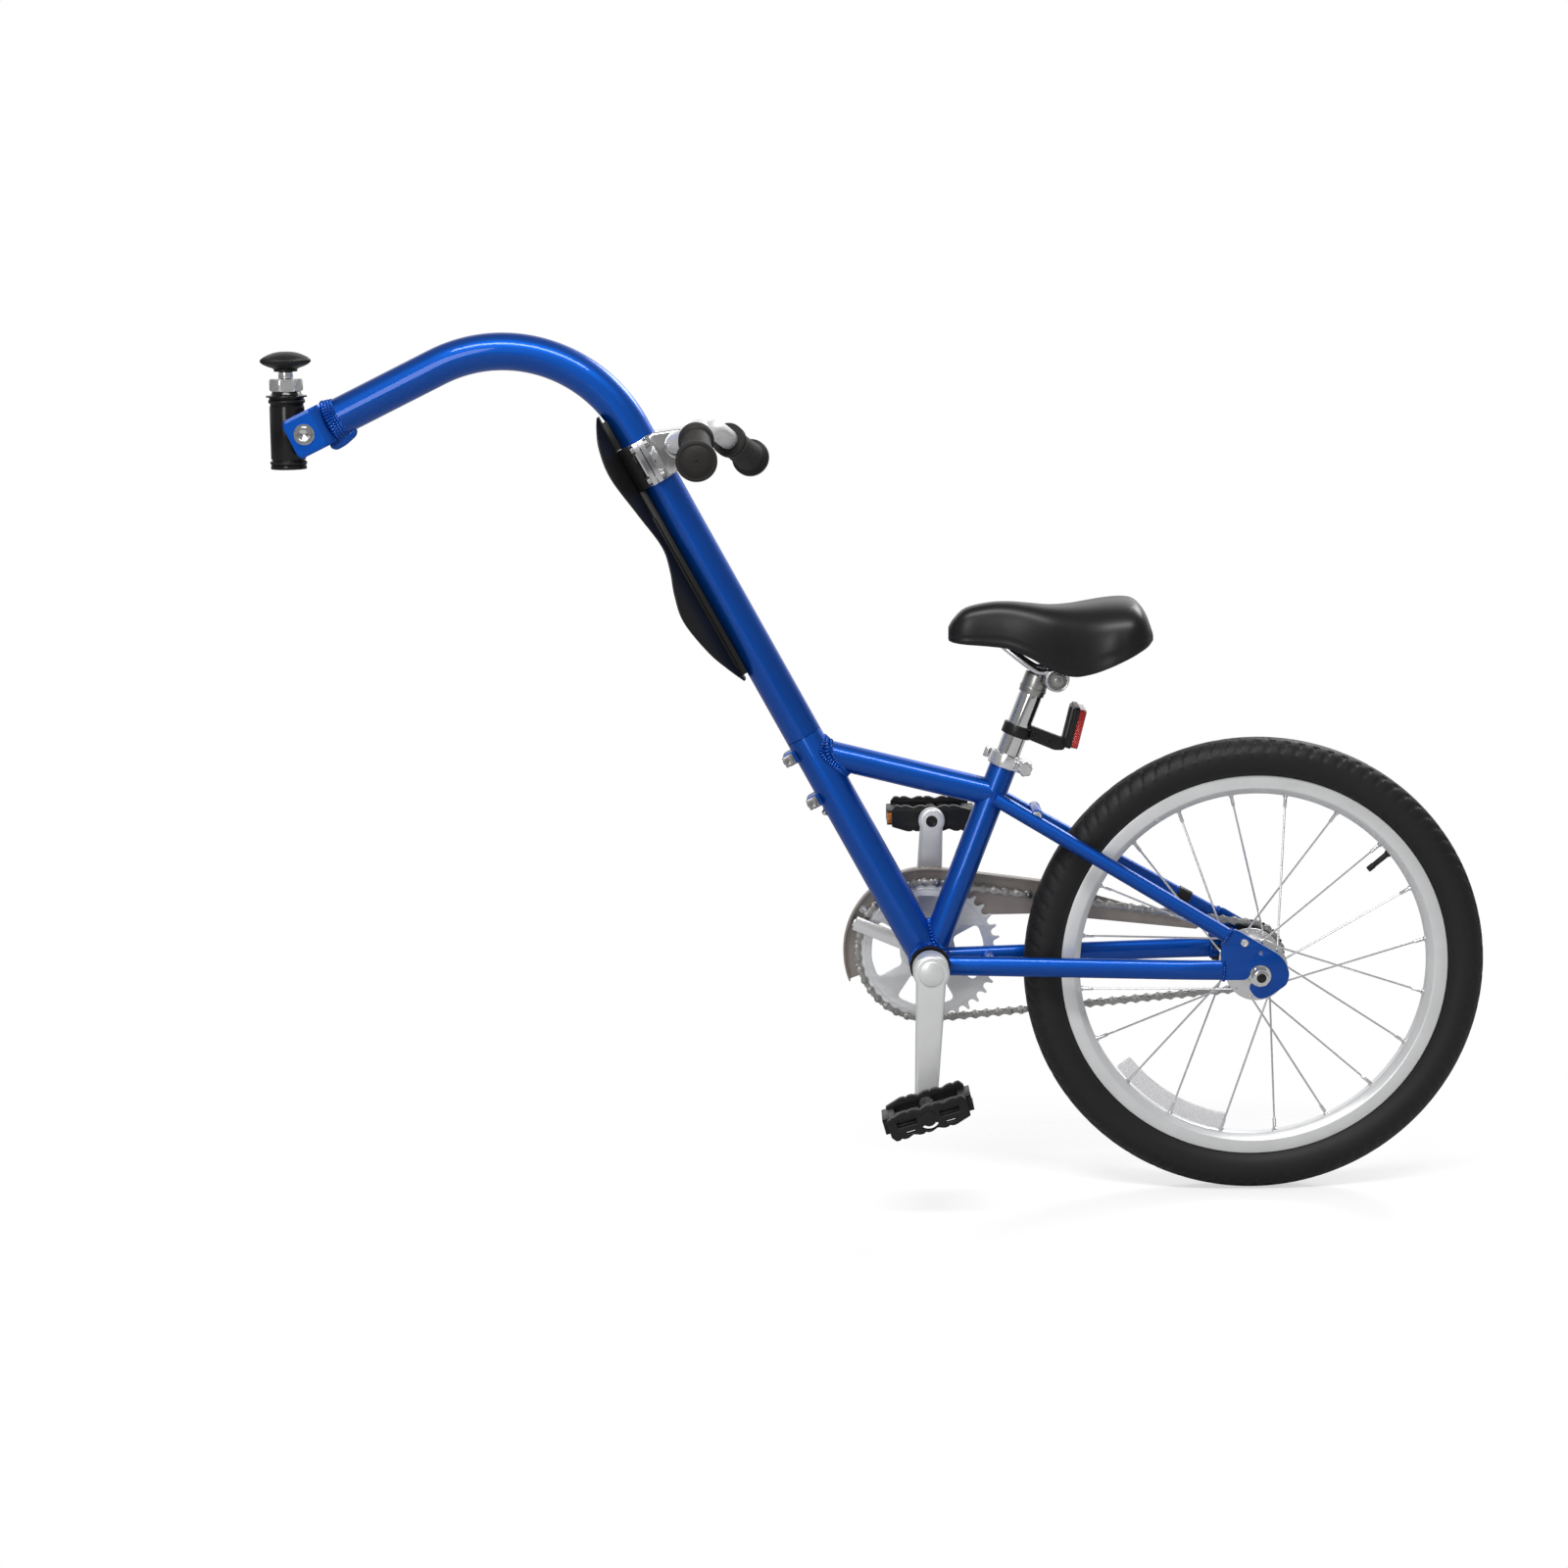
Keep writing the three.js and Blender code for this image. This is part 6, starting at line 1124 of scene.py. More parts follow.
frameTubes = {
    "downTube": (17.8, 20, 0, 281.7), "slotFrom": 205, "slotHalf": 1.5,
    "seatTube": (13, 14.8, 6, 238), "seatSlot": 204, "seatSlotHalf": 1.2, "shell": (17, 20, -34, 34),
    "topRadius": 15, "topOnMain": 263.6, "topOnSeat": 195.7,
    "shellRoom": (19.7, -60, 60), "mainRoom": (19.6, -10, 300), "seatRoom": (14.4, 0, 260),
    "cup": [(8.4, 23.5), (16.8, 23.5), (16.8, 34.3), (22, 34.3), (22, 36.4), (20.6, 37.8), (13.5, 37.8),
            (12.8, 37), (8.4, 37)],
}
lugs = {"upper": 267, "lower": 214, "forward": -26, "radius": 7, "half": 11, "root": -16.4}
pinch = {
    "shank": (3, -14.5, 17.5), "head": (4.6, -14.3, -19.3, 2.5), "nut": (6, 3.05, 11.3, 16.3),
    "plateFront": -32, "plateBack": -20, "plateFrom": -14.3, "plateTo": -11.3, "plateHalf": 6,
}
shellAcross = bracketPlace @ across(0, 0)
shellRoom = bar(*frameTubes["shellRoom"], shellAcross, 0, 72)
slotHalf = frameTubes["slotHalf"]
slotRoom = block((-40, -slotHalf, frameTubes["slotFrom"]), (-10, slotHalf, 300), mainPlace)
tubeParts = [carved(pipe(*frameTubes["downTube"], mainPlace, 0.5, 80), shellRoom.copy(), slotRoom.copy())]
for key in ("upper", "lower"):
    place, root, radius = lugs[key], lugs["root"], lugs["radius"]
    outline = arc(lugs["forward"], place, radius, pi / 2, 3 * pi / 2, 18)
    outline = [(root, place + radius), *outline, (root, place - radius)]
    lug = sidePlate(outline, -lugs["half"], lugs["half"], mainPlace, 0.8)
    tubeParts.append(carved(lug, slotRoom.copy()))
setPiece("downTube", joined(*tubeParts), "paint", "frame", ["down_tube"])

for name, key in (("pinchUpper", "upper"), ("pinchLower", "lower")):
    lie = mainPlace @ across(lugs["forward"], lugs[key])
    plate = block((pinch["plateFront"], pinch["plateFrom"], lugs[key] - pinch["plateHalf"]),
                  (pinch["plateBack"], pinch["plateTo"], lugs[key] + pinch["plateHalf"]), mainPlace, 0.6)
    screw = joined(bar(*pinch["shank"], lie, 0.5), socketHead(*pinch["head"], lie),
                   hexNut(*pinch["nut"], lie), plate)
    setPiece(name, screw, "steel", "frame", ["pinch_bolt_" + key])

snap = {
    "along": 197,
    "dome": [(0, -11.5), (3.2, -11.5), (3.2, -21.6), (2.9, -22.7), (2.1, -23.6), (1, -24), (0, -24)],
    "ring": [(3.4, -20.3), (4.5, -20.1), (4.5, -20.7), (3.4, -20.9)],
}
snapPlace = alongX(mainPlace, 0, snap["along"])
setPiece("snapPin", turned(snap["dome"], snapPlace, 32), "chrome", "button", ["snap_button"])
setPiece("snapRing", turned(snap["ring"], snapPlace, 32, loop=True), "steel", "frame")

topFrom = inPart(mainPlace, 0, 0, frameTubes["topOnMain"])
topTo = inPart(seatPlace, 0, 0, frameTubes["topOnSeat"])
mainRoom = bar(*frameTubes["mainRoom"], mainPlace, 0, 80)
seatRoom = bar(*frameTubes["seatRoom"], seatPlace, 0, 72)
topTube = swept([topFrom, topTo], frameTubes["topRadius"], partPlace, 72, 0)
setPiece("topTube", carved(topTube, mainRoom.copy(), seatRoom.copy()), "paint", "frame", ["top_tube"])
slotHalf = frameTubes["seatSlotHalf"]
seatSlotRoom = block((2, -slotHalf, frameTubes["seatSlot"]), (30, slotHalf, 260), seatPlace)
seatTube = pipe(*frameTubes["seatTube"], seatPlace, 0.4, 72)
seatTube = carved(seatTube, shellRoom.copy(), mainRoom.copy(), seatSlotRoom)
setPiece("seatTube", seatTube, "paint", "frame", ["seat_tube"])
shellMesh = pipe(*frameTubes["shell"], shellAcross, 0.6, 80)
setPiece("bracketShell", shellMesh, "paint", "frame", ["bottom_bracket_shell"])
for name, node, side in (("cupNear", "bottom_bracket_cup_left", -1),
                         ("cupFar", "bottom_bracket_cup_right", 1)):
    cup = turned(mirrored(frameTubes["cup"], side), shellAcross, 64, loop=True)
    setPiece(name, cup, "blackPaint", "frame", [node])

# Stays, each chain stay with its dropout plate

bracket, axleAt = bracketMiddle / mm, axleMiddle / mm
rearX = axleAt.x - 42
stays = {
    "chainPath": [(bracket.x + 15, 21.4, bracket.z - 3), (bracket.x + 84, 30, bracket.z - 3),
                  (rearX - 38, 55, axleAt.z + 6), (rearX + 3, 58, axleAt.z + 6)],
    "height": 10.75, "bridge": (7, -29, 29), "bridgeAt": (66, -3),
    "seatRadius": 8, "seatTop": (15.8, 20, 191.2), "seatFoot": (-34, 57.5, 43.2), "lead": 14,
    "plugAt": (116, 162), "plug": (6.5, -27, 27), "plugRing": (2.6, 4.9, -27.8, -26.6),
    "plugScrew": (2.4, -27.3, -26.4), "strap": (8.05, 9.4, -8, 8), "strapAt": 0.84, "screwHead": 4.2,
    "screwHeadHigh": 2.6, "screwSocket": 2, "screwShank": 2.5, "screwFrom": 50, "screwTo": 61.5,
}
dropout = {
    "plate": [(-28, 52), (-42, 36), (-42, -4.5), (-14.5, -4.5), (-8, 5.3), (0.3, 5.3)]
    + arc(0.3, 0, 5.3, pi / 2, -pi / 2, 10)[1:]
    + [(-5, -5.3), (-12.5, -13), (-6, -22.5), (0, -25.7), (8.6, -24), (29, -10), (31.7, 2.3), (26.5, 16),
       (19, 23.6)],
    "corner": 4.5, "holes": [(-17.3, 36.4), (0.7, 24.9)], "holeRadius": 2.6, "inner": 55, "outer": 61,
}


def stayWidth(share):
    half = 8 - min(share / 0.2, 1) - 2 * max(0, (share - 0.87) / 0.13)
    return half, stays["height"]


def toSide(point, side):  # a point of the far side itself, or its mirror image on the near side
    x, y, z = point
    return x, y * side, z


staySeams = []  # seams with the size of their beads
for word, node, side in (("Near", "left", -1), ("Far", "right", 1)):
    path = rounded([toSide(p, side) for p in stays["chainPath"]], 50, closed=False, steps=8)
    stay = carved(swept(path, stayWidth, partPlace, 48, 0.6), shellRoom.copy())
    near, far = onSide(side, dropout["inner"], dropout["outer"])
    holes = [arc(x, z, dropout["holeRadius"], 0, tau * 23 / 24, 23) for x, z in dropout["holes"]]
    plate = rounded(dropout["plate"], dropout["corner"], steps=4)
    pieces = [stay, sidePlate(plate, near, far, wheelPlace, 0.7, holes)]
    top = inPart(seatPlace, *toSide(stays["seatTop"], side))
    foot = inPart(wheelPlace, *toSide(stays["seatFoot"], side))
    heading = (foot - top).normalized()
    start = top - heading * stays["lead"]
    seatStay = carved(swept([start, foot], stays["seatRadius"], partPlace, 56, 1.2), seatRoom.copy())
    if side < 0:
        plugLie = bracketPlace @ across(*stays["plugAt"])
        pieces.append(bar(*stays["bridge"], bracketPlace @ across(*stays["bridgeAt"]), 0.2))
        seatStay = joined(seatStay, bar(*stays["plug"], plugLie, 0.5))
    setPiece("chainStay" + word, joined(*pieces), "paint", "frame", ["chain_stay_" + node])
    setPiece("seatStay" + word, seatStay, "paint", "frame", ["seat_stay_" + node])
    staySeams.append((seamOf(start, heading, 8.4, bracket, inPart(seatPlace, 0, 0, 1) - bracket, 15), 0.7))
    footPlace = placeAt(foot * mm, heading.orthogonal(), heading)
    staySeams.append(([footPlace @ Vector(p) / mm for p in ringAt(8.3, -1)], 0.6))
    x, y, z = toSide(stays["chainPath"][-1], side)
    staySeams.append(([(x, y + 6.2 * cos(a / 30 * pi), z + 10.9 * sin(a / 30 * pi)) for a in range(60)], 0.6))
    screwLie = wheelPlace @ across(*dropout["holes"][0])
    low, high = dropout["outer"] * side, (dropout["outer"] + stays["screwHeadHigh"]) * side
    screwHead = socketHead(stays["screwHead"], low, high, stays["screwSocket"], screwLie, 0.8)
    shank = bar(stays["screwShank"], *onSide(side, stays["screwFrom"], stays["screwTo"]), screwLie, 0.4, 32)
    setPiece("stayScrew" + word, joined(screwHead, shank), "bright", "frame")

plugEnd = joined(pipe(*stays["plugRing"], plugLie, 0.3, 40), bar(*stays["plugScrew"], plugLie, 0.2, 32))
setPiece("stayPlug", plugEnd, "bright", "frame")
strapMiddle = top + (foot - top) * stays["strapAt"]
strapPlace = placeAt(strapMiddle * mm, (0, 1, 0), foot - top)
setPiece("stayStrap", pipe(*stays["strap"], strapPlace, 0.5, 48), "blackPlastic", "frame")

# Weld beads where the tubes meet; a second and third row lie beside the widest seams

mainAxis = inPart(mainPlace, 0, 0, 1) - bracket
seatAxis = inPart(seatPlace, 0, 0, 1) - bracket
topAxis = topTo - topFrom
seatRoot = bracket + seatAxis * 30
seams = [
    (seamOf(topFrom, topAxis, 15.4, bracket, mainAxis, 20.2), 1.15),
    (seamOf(topFrom, topAxis, 17.6, bracket, mainAxis, 19.4), 1),
    (seamOf(topFrom, topAxis, 14.6, bracket, mainAxis, 23), 0.85),
    (seamOf(topTo, -topAxis, 15.2, bracket, seatAxis, 15), 0.85),
    (seamOf(bracket, mainAxis, 20.2, bracket, Vector((0, 1, 0)), 20.3), 0.8),
    (seamOf(seatRoot, seatAxis, 15, bracket, mainAxis, 20.3), 1.2),
    (seamOf(seatRoot, seatAxis, 13.5, bracket, mainAxis, 22), 0.9),
    *staySeams,
]
beads = [weldBead(seam, partPlace, size) for seam, size in seams if seam]
setPiece("frameWelds", joined(*beads), "paint", "frame")
print("frame built")

# Seat: collar with quick release, seatpost, saddle clamp and rear reflector

collar = {"bore": 15, "radius": 18, "low": 227, "high": 241, "root": 17, "ear": 28, "earHalf": 12,
          "slotHalf": 1.2}
gapTurn = asin(collar["slotHalf"] / collar["bore"])
earCorners = [(collar["ear"], collar["slotHalf"]), (collar["ear"], collar["earHalf"]),
              (collar["root"], collar["earHalf"])]
collarOutline = rounded(earCorners, 2, closed=False)
collarOutline += arc(0, 0, collar["radius"], radians(50), radians(310), 48)
collarOutline += rounded([(x, -y) for x, y in reversed(earCorners)], 2, closed=False)
collarOutline += arc(0, 0, collar["bore"], tau - gapTurn, gapTurn, 60)
collarMesh = sheetOf(collarOutline, collar["low"], collar["high"], seatPlace, 1.0, steps=3)
setPiece("seatCollar", collarMesh, "bright", "frame", ["seat_collar"])

release = {
    "x": 21.6, "z": 234, "rod": (2.6, -13, 20.9), "nutWaves": 6, "nutDepth": 0.07,
    "nut": [(0, -12.3), (5.2, -12.3), (8, -13.6), (8, -18.4), (6.6, -20.3), (3.2, -20.3), (2.6, -19.6),
            (0, -19.6)],
    "camY": 18.3, "camRadius": 6, "inner": 22.3, "outer": 27.3, "height": 5.5,
    "start": radians(39.3), "sweep": radians(112), "fork": 11, "forkHalf": 2.9,
}


def nutWave(angle, _, radius):
    return 1 - (release["nutDepth"] * (1 + cos(release["nutWaves"] * angle)) if radius > 5 else 0)


lie = seatPlace @ across(release["x"], release["z"])
rod = joined(bar(*release["rod"], lie, 0.2), turned(release["nut"], lie, 72, wave=nutWave))
setPiece("releaseRod", rod, "bright", "frame", ["qr_skewer"])
low, high = release["z"] - release["height"], release["z"] + release["height"]
bladeTurn = release["start"], release["start"] + release["sweep"]
blade = arc(0, 0, release["outer"], *bladeTurn, 40) + arc(0, 0, release["inner"], *reversed(bladeTurn), 40)
camPlace = seatPlace @ Matrix.Translation((release["x"], release["camY"], 0))
half = release["forkHalf"]
fork = bar(release["fork"], release["z"] - half, release["z"] + half, camPlace, 0, 64)
leverParts = (sheetOf(rounded(blade, 1.6), low, high, seatPlace, 1.3, steps=3),
              bar(release["camRadius"], low, high, camPlace, 1.0, 48))
lever = joined(*[carved(part, fork.copy()) for part in leverParts])
setPiece("releaseLever", lever, "bright", "lever", ["qr_lever"])

post = {
    "profile": [(0, 110), (12.7, 110), (12.7, 308), (11, 322), (11, 331), (0, 331)],
    "clampX": 18.5, "clampZ": 337, "bolt": (4, -34, 34), "sleeve": (11.2, 14, 311.3, 333.1),
    "bead": (13.6, 14.6, 316, 319), "nut": 7.2, "nutBore": 3.9, "nutFrom": 28.3, "nutTo": 32.6,
    "cup": [(4, 23.8), (9.3, 23.8), (9.5, 24.2), (9.5, 28), (9, 28.6), (8.2, 28.6), (7.8, 27.8), (7.2, 27.8),
            (6.8, 28.4), (4, 28.4)],
    "drum": [(0, -15.8), (12.6, -15.8), (14, -14.4), (14, -6), (13.2, -5.2)], "ear": 12.6, "earTop": 10.6,
    "earHole": 9.8, "earFrom": 23.9, "earTo": 27.2, "earRing": (11.1, 12), "ringTo": 27.9,
}
setPiece("seatPost", turned(post["profile"], seatPlace, 72, 0.8), "chrome", "post", ["seatpost"])
lie = seatPlace @ across(post["clampX"], post["clampZ"])
earPlace = placeAt(inPart(seatPlace, post["clampX"], 0, post["clampZ"]) * mm)
earSide = [(post["ear"], post["earTop"]), *arc(0, 0, post["ear"], 0, -pi, 28), (-post["ear"], post["earTop"])]
earHole = arc(0, 0, post["earHole"], 0, tau * 35 / 36, 35)
drum = turned(post["drum"] + [(r, -h) for r, h in reversed(post["drum"])], lie, 64)
sleeve = joined(pipe(*post["sleeve"], seatPlace, 0.8), pipe(*post["bead"], seatPlace, 0.3))
cups, ears = [], []
for side in (-1, 1):
    cups.append(turned(mirrored(post["cup"], side), lie, 72, loop=True))
    cups.append(hexNut(post["nut"], post["nutBore"], *onSide(side, post["nutFrom"], post["nutTo"]), lie))
    near, far = onSide(side, post["earFrom"], post["earTo"])
    ears.append(sidePlate(rounded(earSide, 1), near, far, earPlace, 0.7, [earHole]))
    near, far = onSide(side, post["earTo"] - 0.2, post["ringTo"])
    ears.append(pipe(*post["earRing"], near, far, earPlace @ across(0, 0), 0.3))
setPiece("saddleEars", joined(*ears), "bright", "saddle")
clampMesh = joined(drum, sleeve, bar(*post["bolt"], lie, 0.8), *cups)
setPiece("saddleClamp", clampMesh, "steel", "post", ["saddle_clamp"])

reflector = {  # a plate has an inset, a start, an end and a bevel
    "arm": [(103, 243.5), (136, 229.5), (146, 229.5), (149.5, 236), (158, 276), (152.5, 277.5), (144.5, 243),
            (107, 258)],
    "armHalf": 5, "screws": [(114.5, 246.8), (132, 239.5)], "pad": (2.4, 4.5, -5.9, -4.4),
    "head": (2.1, -4.4, -5.3, 1.1), "bottom": (146, 235), "top": (157, 279), "half": 26, "corner": 5,
    "lensFrom": 4.8, "lensTo": 13.3, "band": (13, 16, 263, 275), "postRoom": 12.9,
    "plates": [(0, 0, 4.5, 0.9), (2.2, -1.6, 0.6, 0.5), (-0.2, 3.4, 5.6, 0.4)],
}
leanX, leanZ = [b - a for a, b in zip(reflector["bottom"], reflector["top"])]
lean, lensHeight = atan2(leanX, leanZ), hypot(leanX, leanZ)
lensX, lensZ = reflector["bottom"]
lensPlace = leaning(inPart(bracketPlace, lensX, 0, lensZ) * mm, lean)
facingBack = lensPlace @ Matrix(((0, 0, 1, 0), (1, 0, 0, 0), (0, 1, 0, 0), (0, 0, 0, 1)))


def plateBack(inset, start, end, bevel):  # a rounded rectangle that faces the rear
    half, low, high = reflector["half"] - inset, inset, lensHeight - inset
    corners = [(-half, low), (half, low), (half, high), (-half, high)]
    outline = rounded(corners, reflector["corner"] - inset * 0.5, steps=6)
    return sheetOf(outline, start, end, facingBack, bevel)


half = reflector["armHalf"]
armShape = sidePlate(rounded(reflector["arm"], 2.4), -half, half, bracketPlace, 1.0)
holderParts = [pipe(*reflector["band"], seatPlace, 0.8),
               carved(armShape, bar(reflector["postRoom"], 250, 290, seatPlace, 0, 64))]
holderParts += [plateBack(*plate) for plate in reflector["plates"]]
for x, z in reflector["screws"]:  # raised rings round the two arm screws
    where = bracketPlace @ across(x, z)
    holderParts += [pipe(*reflector["pad"], where, 0.3, 32), socketHead(*reflector["head"], where, 0.2)]
setPiece("reflectorHolder", joined(*holderParts), "blackPlastic", "post", ["reflector_bracket"])
lens = plateBack(1.2, reflector["lensFrom"], reflector["lensTo"], 1.2)
setPiece("reflectorLens", lens, "redLens", "post", ["reflector_lens"])

# Saddle: padded cover, moulded base and the bent rail wire

saddle = {
    "nose": 22.5, "tail": 237.5, "base": 317, "rise": 76.3, "half": 76, "lip": 5, "recess": 10, "power": 0.62,
    "steps": 96, "seamAt": 0.19, "seamHalf": 0.03, "seamDepth": 0.9, "wall": 7,
    "shares": [
        (0, 0.1, 0.62, 0.44), (0.025, 0.2, 0.73, 0.42), (0.085, 0.27, 0.88, 0.4), (0.2, 0.3, 0.955, 0.375),
        (0.3, 0.34, 0.965, 0.335), (0.4, 0.43, 0.94, 0.22), (0.5, 0.58, 0.91, 0.07), (0.6, 0.77, 0.917, 0),
        (0.69, 0.91, 0.95, 0.05), (0.78, 0.99, 0.985, 0.15), (0.87, 1, 1, 0.27), (0.93, 0.94, 0.965, 0.36),
        (0.97, 0.82, 0.83, 0.42), (1, 0.6, 0.6, 0.48),
    ],
    "rail": [(77.5, 7, 347.4), (83.5, 13, 342.1), (112.5, 20, 319.9), (125, 20, 316.4), (152.5, 20, 315.5),
             (170, 20, 318.2), (197.6, 20, 334.1)],
    "railRadius": 3.5,
}


def saddleSections(perSpan):  # x, half width, top and skirt heights from nose to tail
    sections = []
    for along, width, top, skirt in flowing(saddle["shares"], perSpan):
        x = saddle["nose"] + (saddle["tail"] - saddle["nose"]) * min(max(along, 0), 1)
        sections.append((x, saddle["half"] * min(width, 1), saddle["base"] + saddle["rise"] * min(top, 1),
                         saddle["base"] + saddle["rise"] * max(skirt, 0)))
    return sections


def coverMesh():
    rings = []
    for x, half, top, skirt in saddleSections(5):
        ring = []
        for i in range(saddle["steps"] + 1):
            angle = pi * i / saddle["steps"]
            side = (1 if cos(angle) > 0 else -1) * abs(cos(angle)) ** saddle["power"]
            lift = max(sin(angle), 0) ** saddle["power"]
            seam = max(0, 1 - abs(lift - saddle["seamAt"]) / saddle["seamHalf"]) * min(1, half / 20)
            out = 1 - saddle["seamDepth"] * seam / max(half, 1)
            ring.append((x, half * side * out, skirt + (top - skirt) * lift))
        lip, depth = min(saddle["lip"], half / 2), min(saddle["recess"], (top - skirt) / 3)
        edge = [(half - lip * 0.25, -0.8), (half - lip * 0.75, -0.8), (half - lip, 0), (half - lip, depth)]
        ring += [(x, -y, skirt + z) for y, z in edge] + [(x, y, skirt + z) for y, z in reversed(edge)]
        rings.append(ring)
    return skin(rings, bracketPlace)


def baseMesh():
    rings = []
    for x, half, top, skirt in saddleSections(3)[5:-6]:
        upper = skirt + min(saddle["recess"], (top - skirt) / 3) - 0.2
        lower = upper - saddle["wall"]
        reach = half - min(saddle["lip"], half / 2) - 0.5
        corners = [(-reach, lower), (reach, lower), (reach, upper), (-reach, upper)]
        rings.append([(x, y, z) for y, z in rounded(corners, min(2.5, reach / 3), steps=4)])
    return skin(rings, bracketPlace)


cover = setPiece("saddleCover", coverMesh(), "vinyl", "saddle", ["saddle_cover"], sharp=60)
setPiece("saddleBase", baseMesh(), "blackPlastic", "saddle", ["saddle_shell"])
railHalf = flowing(saddle["rail"], 8)
rail = swept(otherHalf(railHalf) + railHalf, saddle["railRadius"], bracketPlace, 28, 0.3)
setPiece("saddleRails", rail, "chrome", "saddle", ["saddle_rails"])
print("seat built")

# Cranks, pedals, chainring and sprocket

crank = {  # near and far hold an arm's outer and inner y, its root's and its boss's radius
    "length": 140, "thick": 12, "bevel": 4, "rootHalf": 16, "tipHalf": 12.5, "tipRadius": 14.5, "cap": 13.5,
    "pedalSpindle": 5.5, "pedalReach": 66, "pedalRing": 8.2, "spindle": (8, -73, 76),
    "socket": (6.4, 68.4, 67.2, 3.6), "near": (-76, -45, 19.5, 19.5), "far": (80, 38.6, 16.5, 14.5),
}


def armOutline(rootRadius, direction):
    rootTurn, tipTurn = asin(crank["rootHalf"] / rootRadius), asin(crank["tipHalf"] / crank["tipRadius"])
    outline = arc(0, 0, rootRadius, pi / 2 + rootTurn, pi / 2 - rootTurn + tau, 32)
    outline += arc(0, crank["length"], crank["tipRadius"], tipTurn - pi / 2, 3 * pi / 2 - tipTurn, 28)
    return [(x * direction, z * direction) for x, z in outline]


def crankArm(direction, outer, inner, rootRadius, bossRadius):
    face, radius, screw = outer * direction, crank["cap"], crank["pedalSpindle"]
    lie = crankPlace @ across(0, 0)
    tip = crankPlace @ across(0, crank["length"] * direction)
    near, far = onSide(direction, face - crank["thick"], face)
    cap = [(0, face - 1), (radius, face - 1), (radius, face + 1.2), (radius - 1.2, face + 2), (0, face + 2)]
    return joined(
        sidePlate(armOutline(rootRadius, direction), near, far, crankPlace, crank["bevel"], steps=5),
        bar(bossRadius, *sorted((inner, (face - 1.5) * direction)), lie, 1.2, 64),
        turned(mirrored(cap, direction), lie, 64),
        bar(screw, *onSide(direction, face - 3, face + crank["pedalReach"]), tip, 0.6),
        pipe(screw + 0.2, crank["pedalRing"], *onSide(direction, face - 1, face + 0.9), tip, 0.3),
    )


setPiece("crankNear", crankArm(-1, *crank["near"]), "silver", "crank", ["crank_arm_left"])
setPiece("crankFar", crankArm(1, *crank["far"]), "silver", "crank", ["crank_arm_right"])
pedalSocket = socketHead(*crank["socket"], crankPlace @ across(0, crank["length"]), 0.4)
setPiece("pedalSocket", pedalSocket, "blackPaint", "crank")
crankSpindle = bar(*crank["spindle"], crankPlace @ across(0, 0), 0.8)
setPiece("crankSpindle", crankSpindle, "steel", "crank", ["bottom_bracket_spindle"])

pedal = {  # a rib has two places of x and one of z, a block of the housing two of y and two of z
    "half": 43.5, "high": 14.5, "near": 6, "far": 72, "plate": 7, "barThick": 8, "barHalf": 7.5, "teeth": 3,
    "dip": 2.6, "notch": 1.6, "barrel": 10, "bore": 5.9, "neck": 8.3, "shoulder": (30, 33),
    "crescent": (8.5, 12.2), "windows": (13, 34, -1.2, 5.2), "slits": (17, 27, -9.6, -7.6), "ribHalf": 0.45,
    "ribs": [(-38, -12, 11.4), (12, 38, 11.4), (-37, 37, 8.8), (-35, -14, 6.4), (14, 35, 6.4)],
    "webFrom": 8.4, "webTo": 37, "crossWeb": (35.5, 42.5, 6.8), "backLow": -2.4, "backHigh": 6.4,
    "lensIn": 2.4, "lensOut": 4.6, "lensHalf": 6.6, "lensFrom": 14, "lensTo": 52, "housingOver": 0.6,
    "housing": [(51.6, 58, -8, 8), (13, 58, 6.3, 8), (13, 58, -8, -6.3)],
    "cap": [(0, -1), (8.6, -1), (8.2, 0.6), (3, 1), (0, 1)],
}


def oblong(x0, x1, z0, z1):  # the corners of a rectangle in the side view
    return [(x0, z0), (x1, z0), (x1, z1), (x0, z1)]


def oblongs(x0, x1, z0, z1):  # that rectangle in front of the middle and behind it
    return [oblong(-x1, -x0, z0, z1), oblong(x0, x1, z0, z1)]


def cageOutline():
    step = (2 * pedal["half"] - pedal["barThick"]) / pedal["teeth"]
    high, dip, cage = pedal["high"], pedal["dip"], []
    for side in (1, -1):
        start = (pedal["barThick"] / 2 - pedal["half"]) * side
        cage.append((-pedal["half"] * side, (high - dip * 2) * side))
        for i in range(pedal["teeth"]):
            x = start + step * i * side
            for share, down in ((0, 0), (1 / 6, 0), (1 / 4, pedal["notch"]), (1 / 3, 0), (1 / 2, 0)):
                cage.append((x + step * share * side, (high - down) * side))
            if i < pedal["teeth"] - 1:
                cage.append((x + step * 0.75 * side, (high - dip) * side))
        cage.append((pedal["half"] * side, (high - dip * 2) * side))
    return rounded(cage, 1.2)


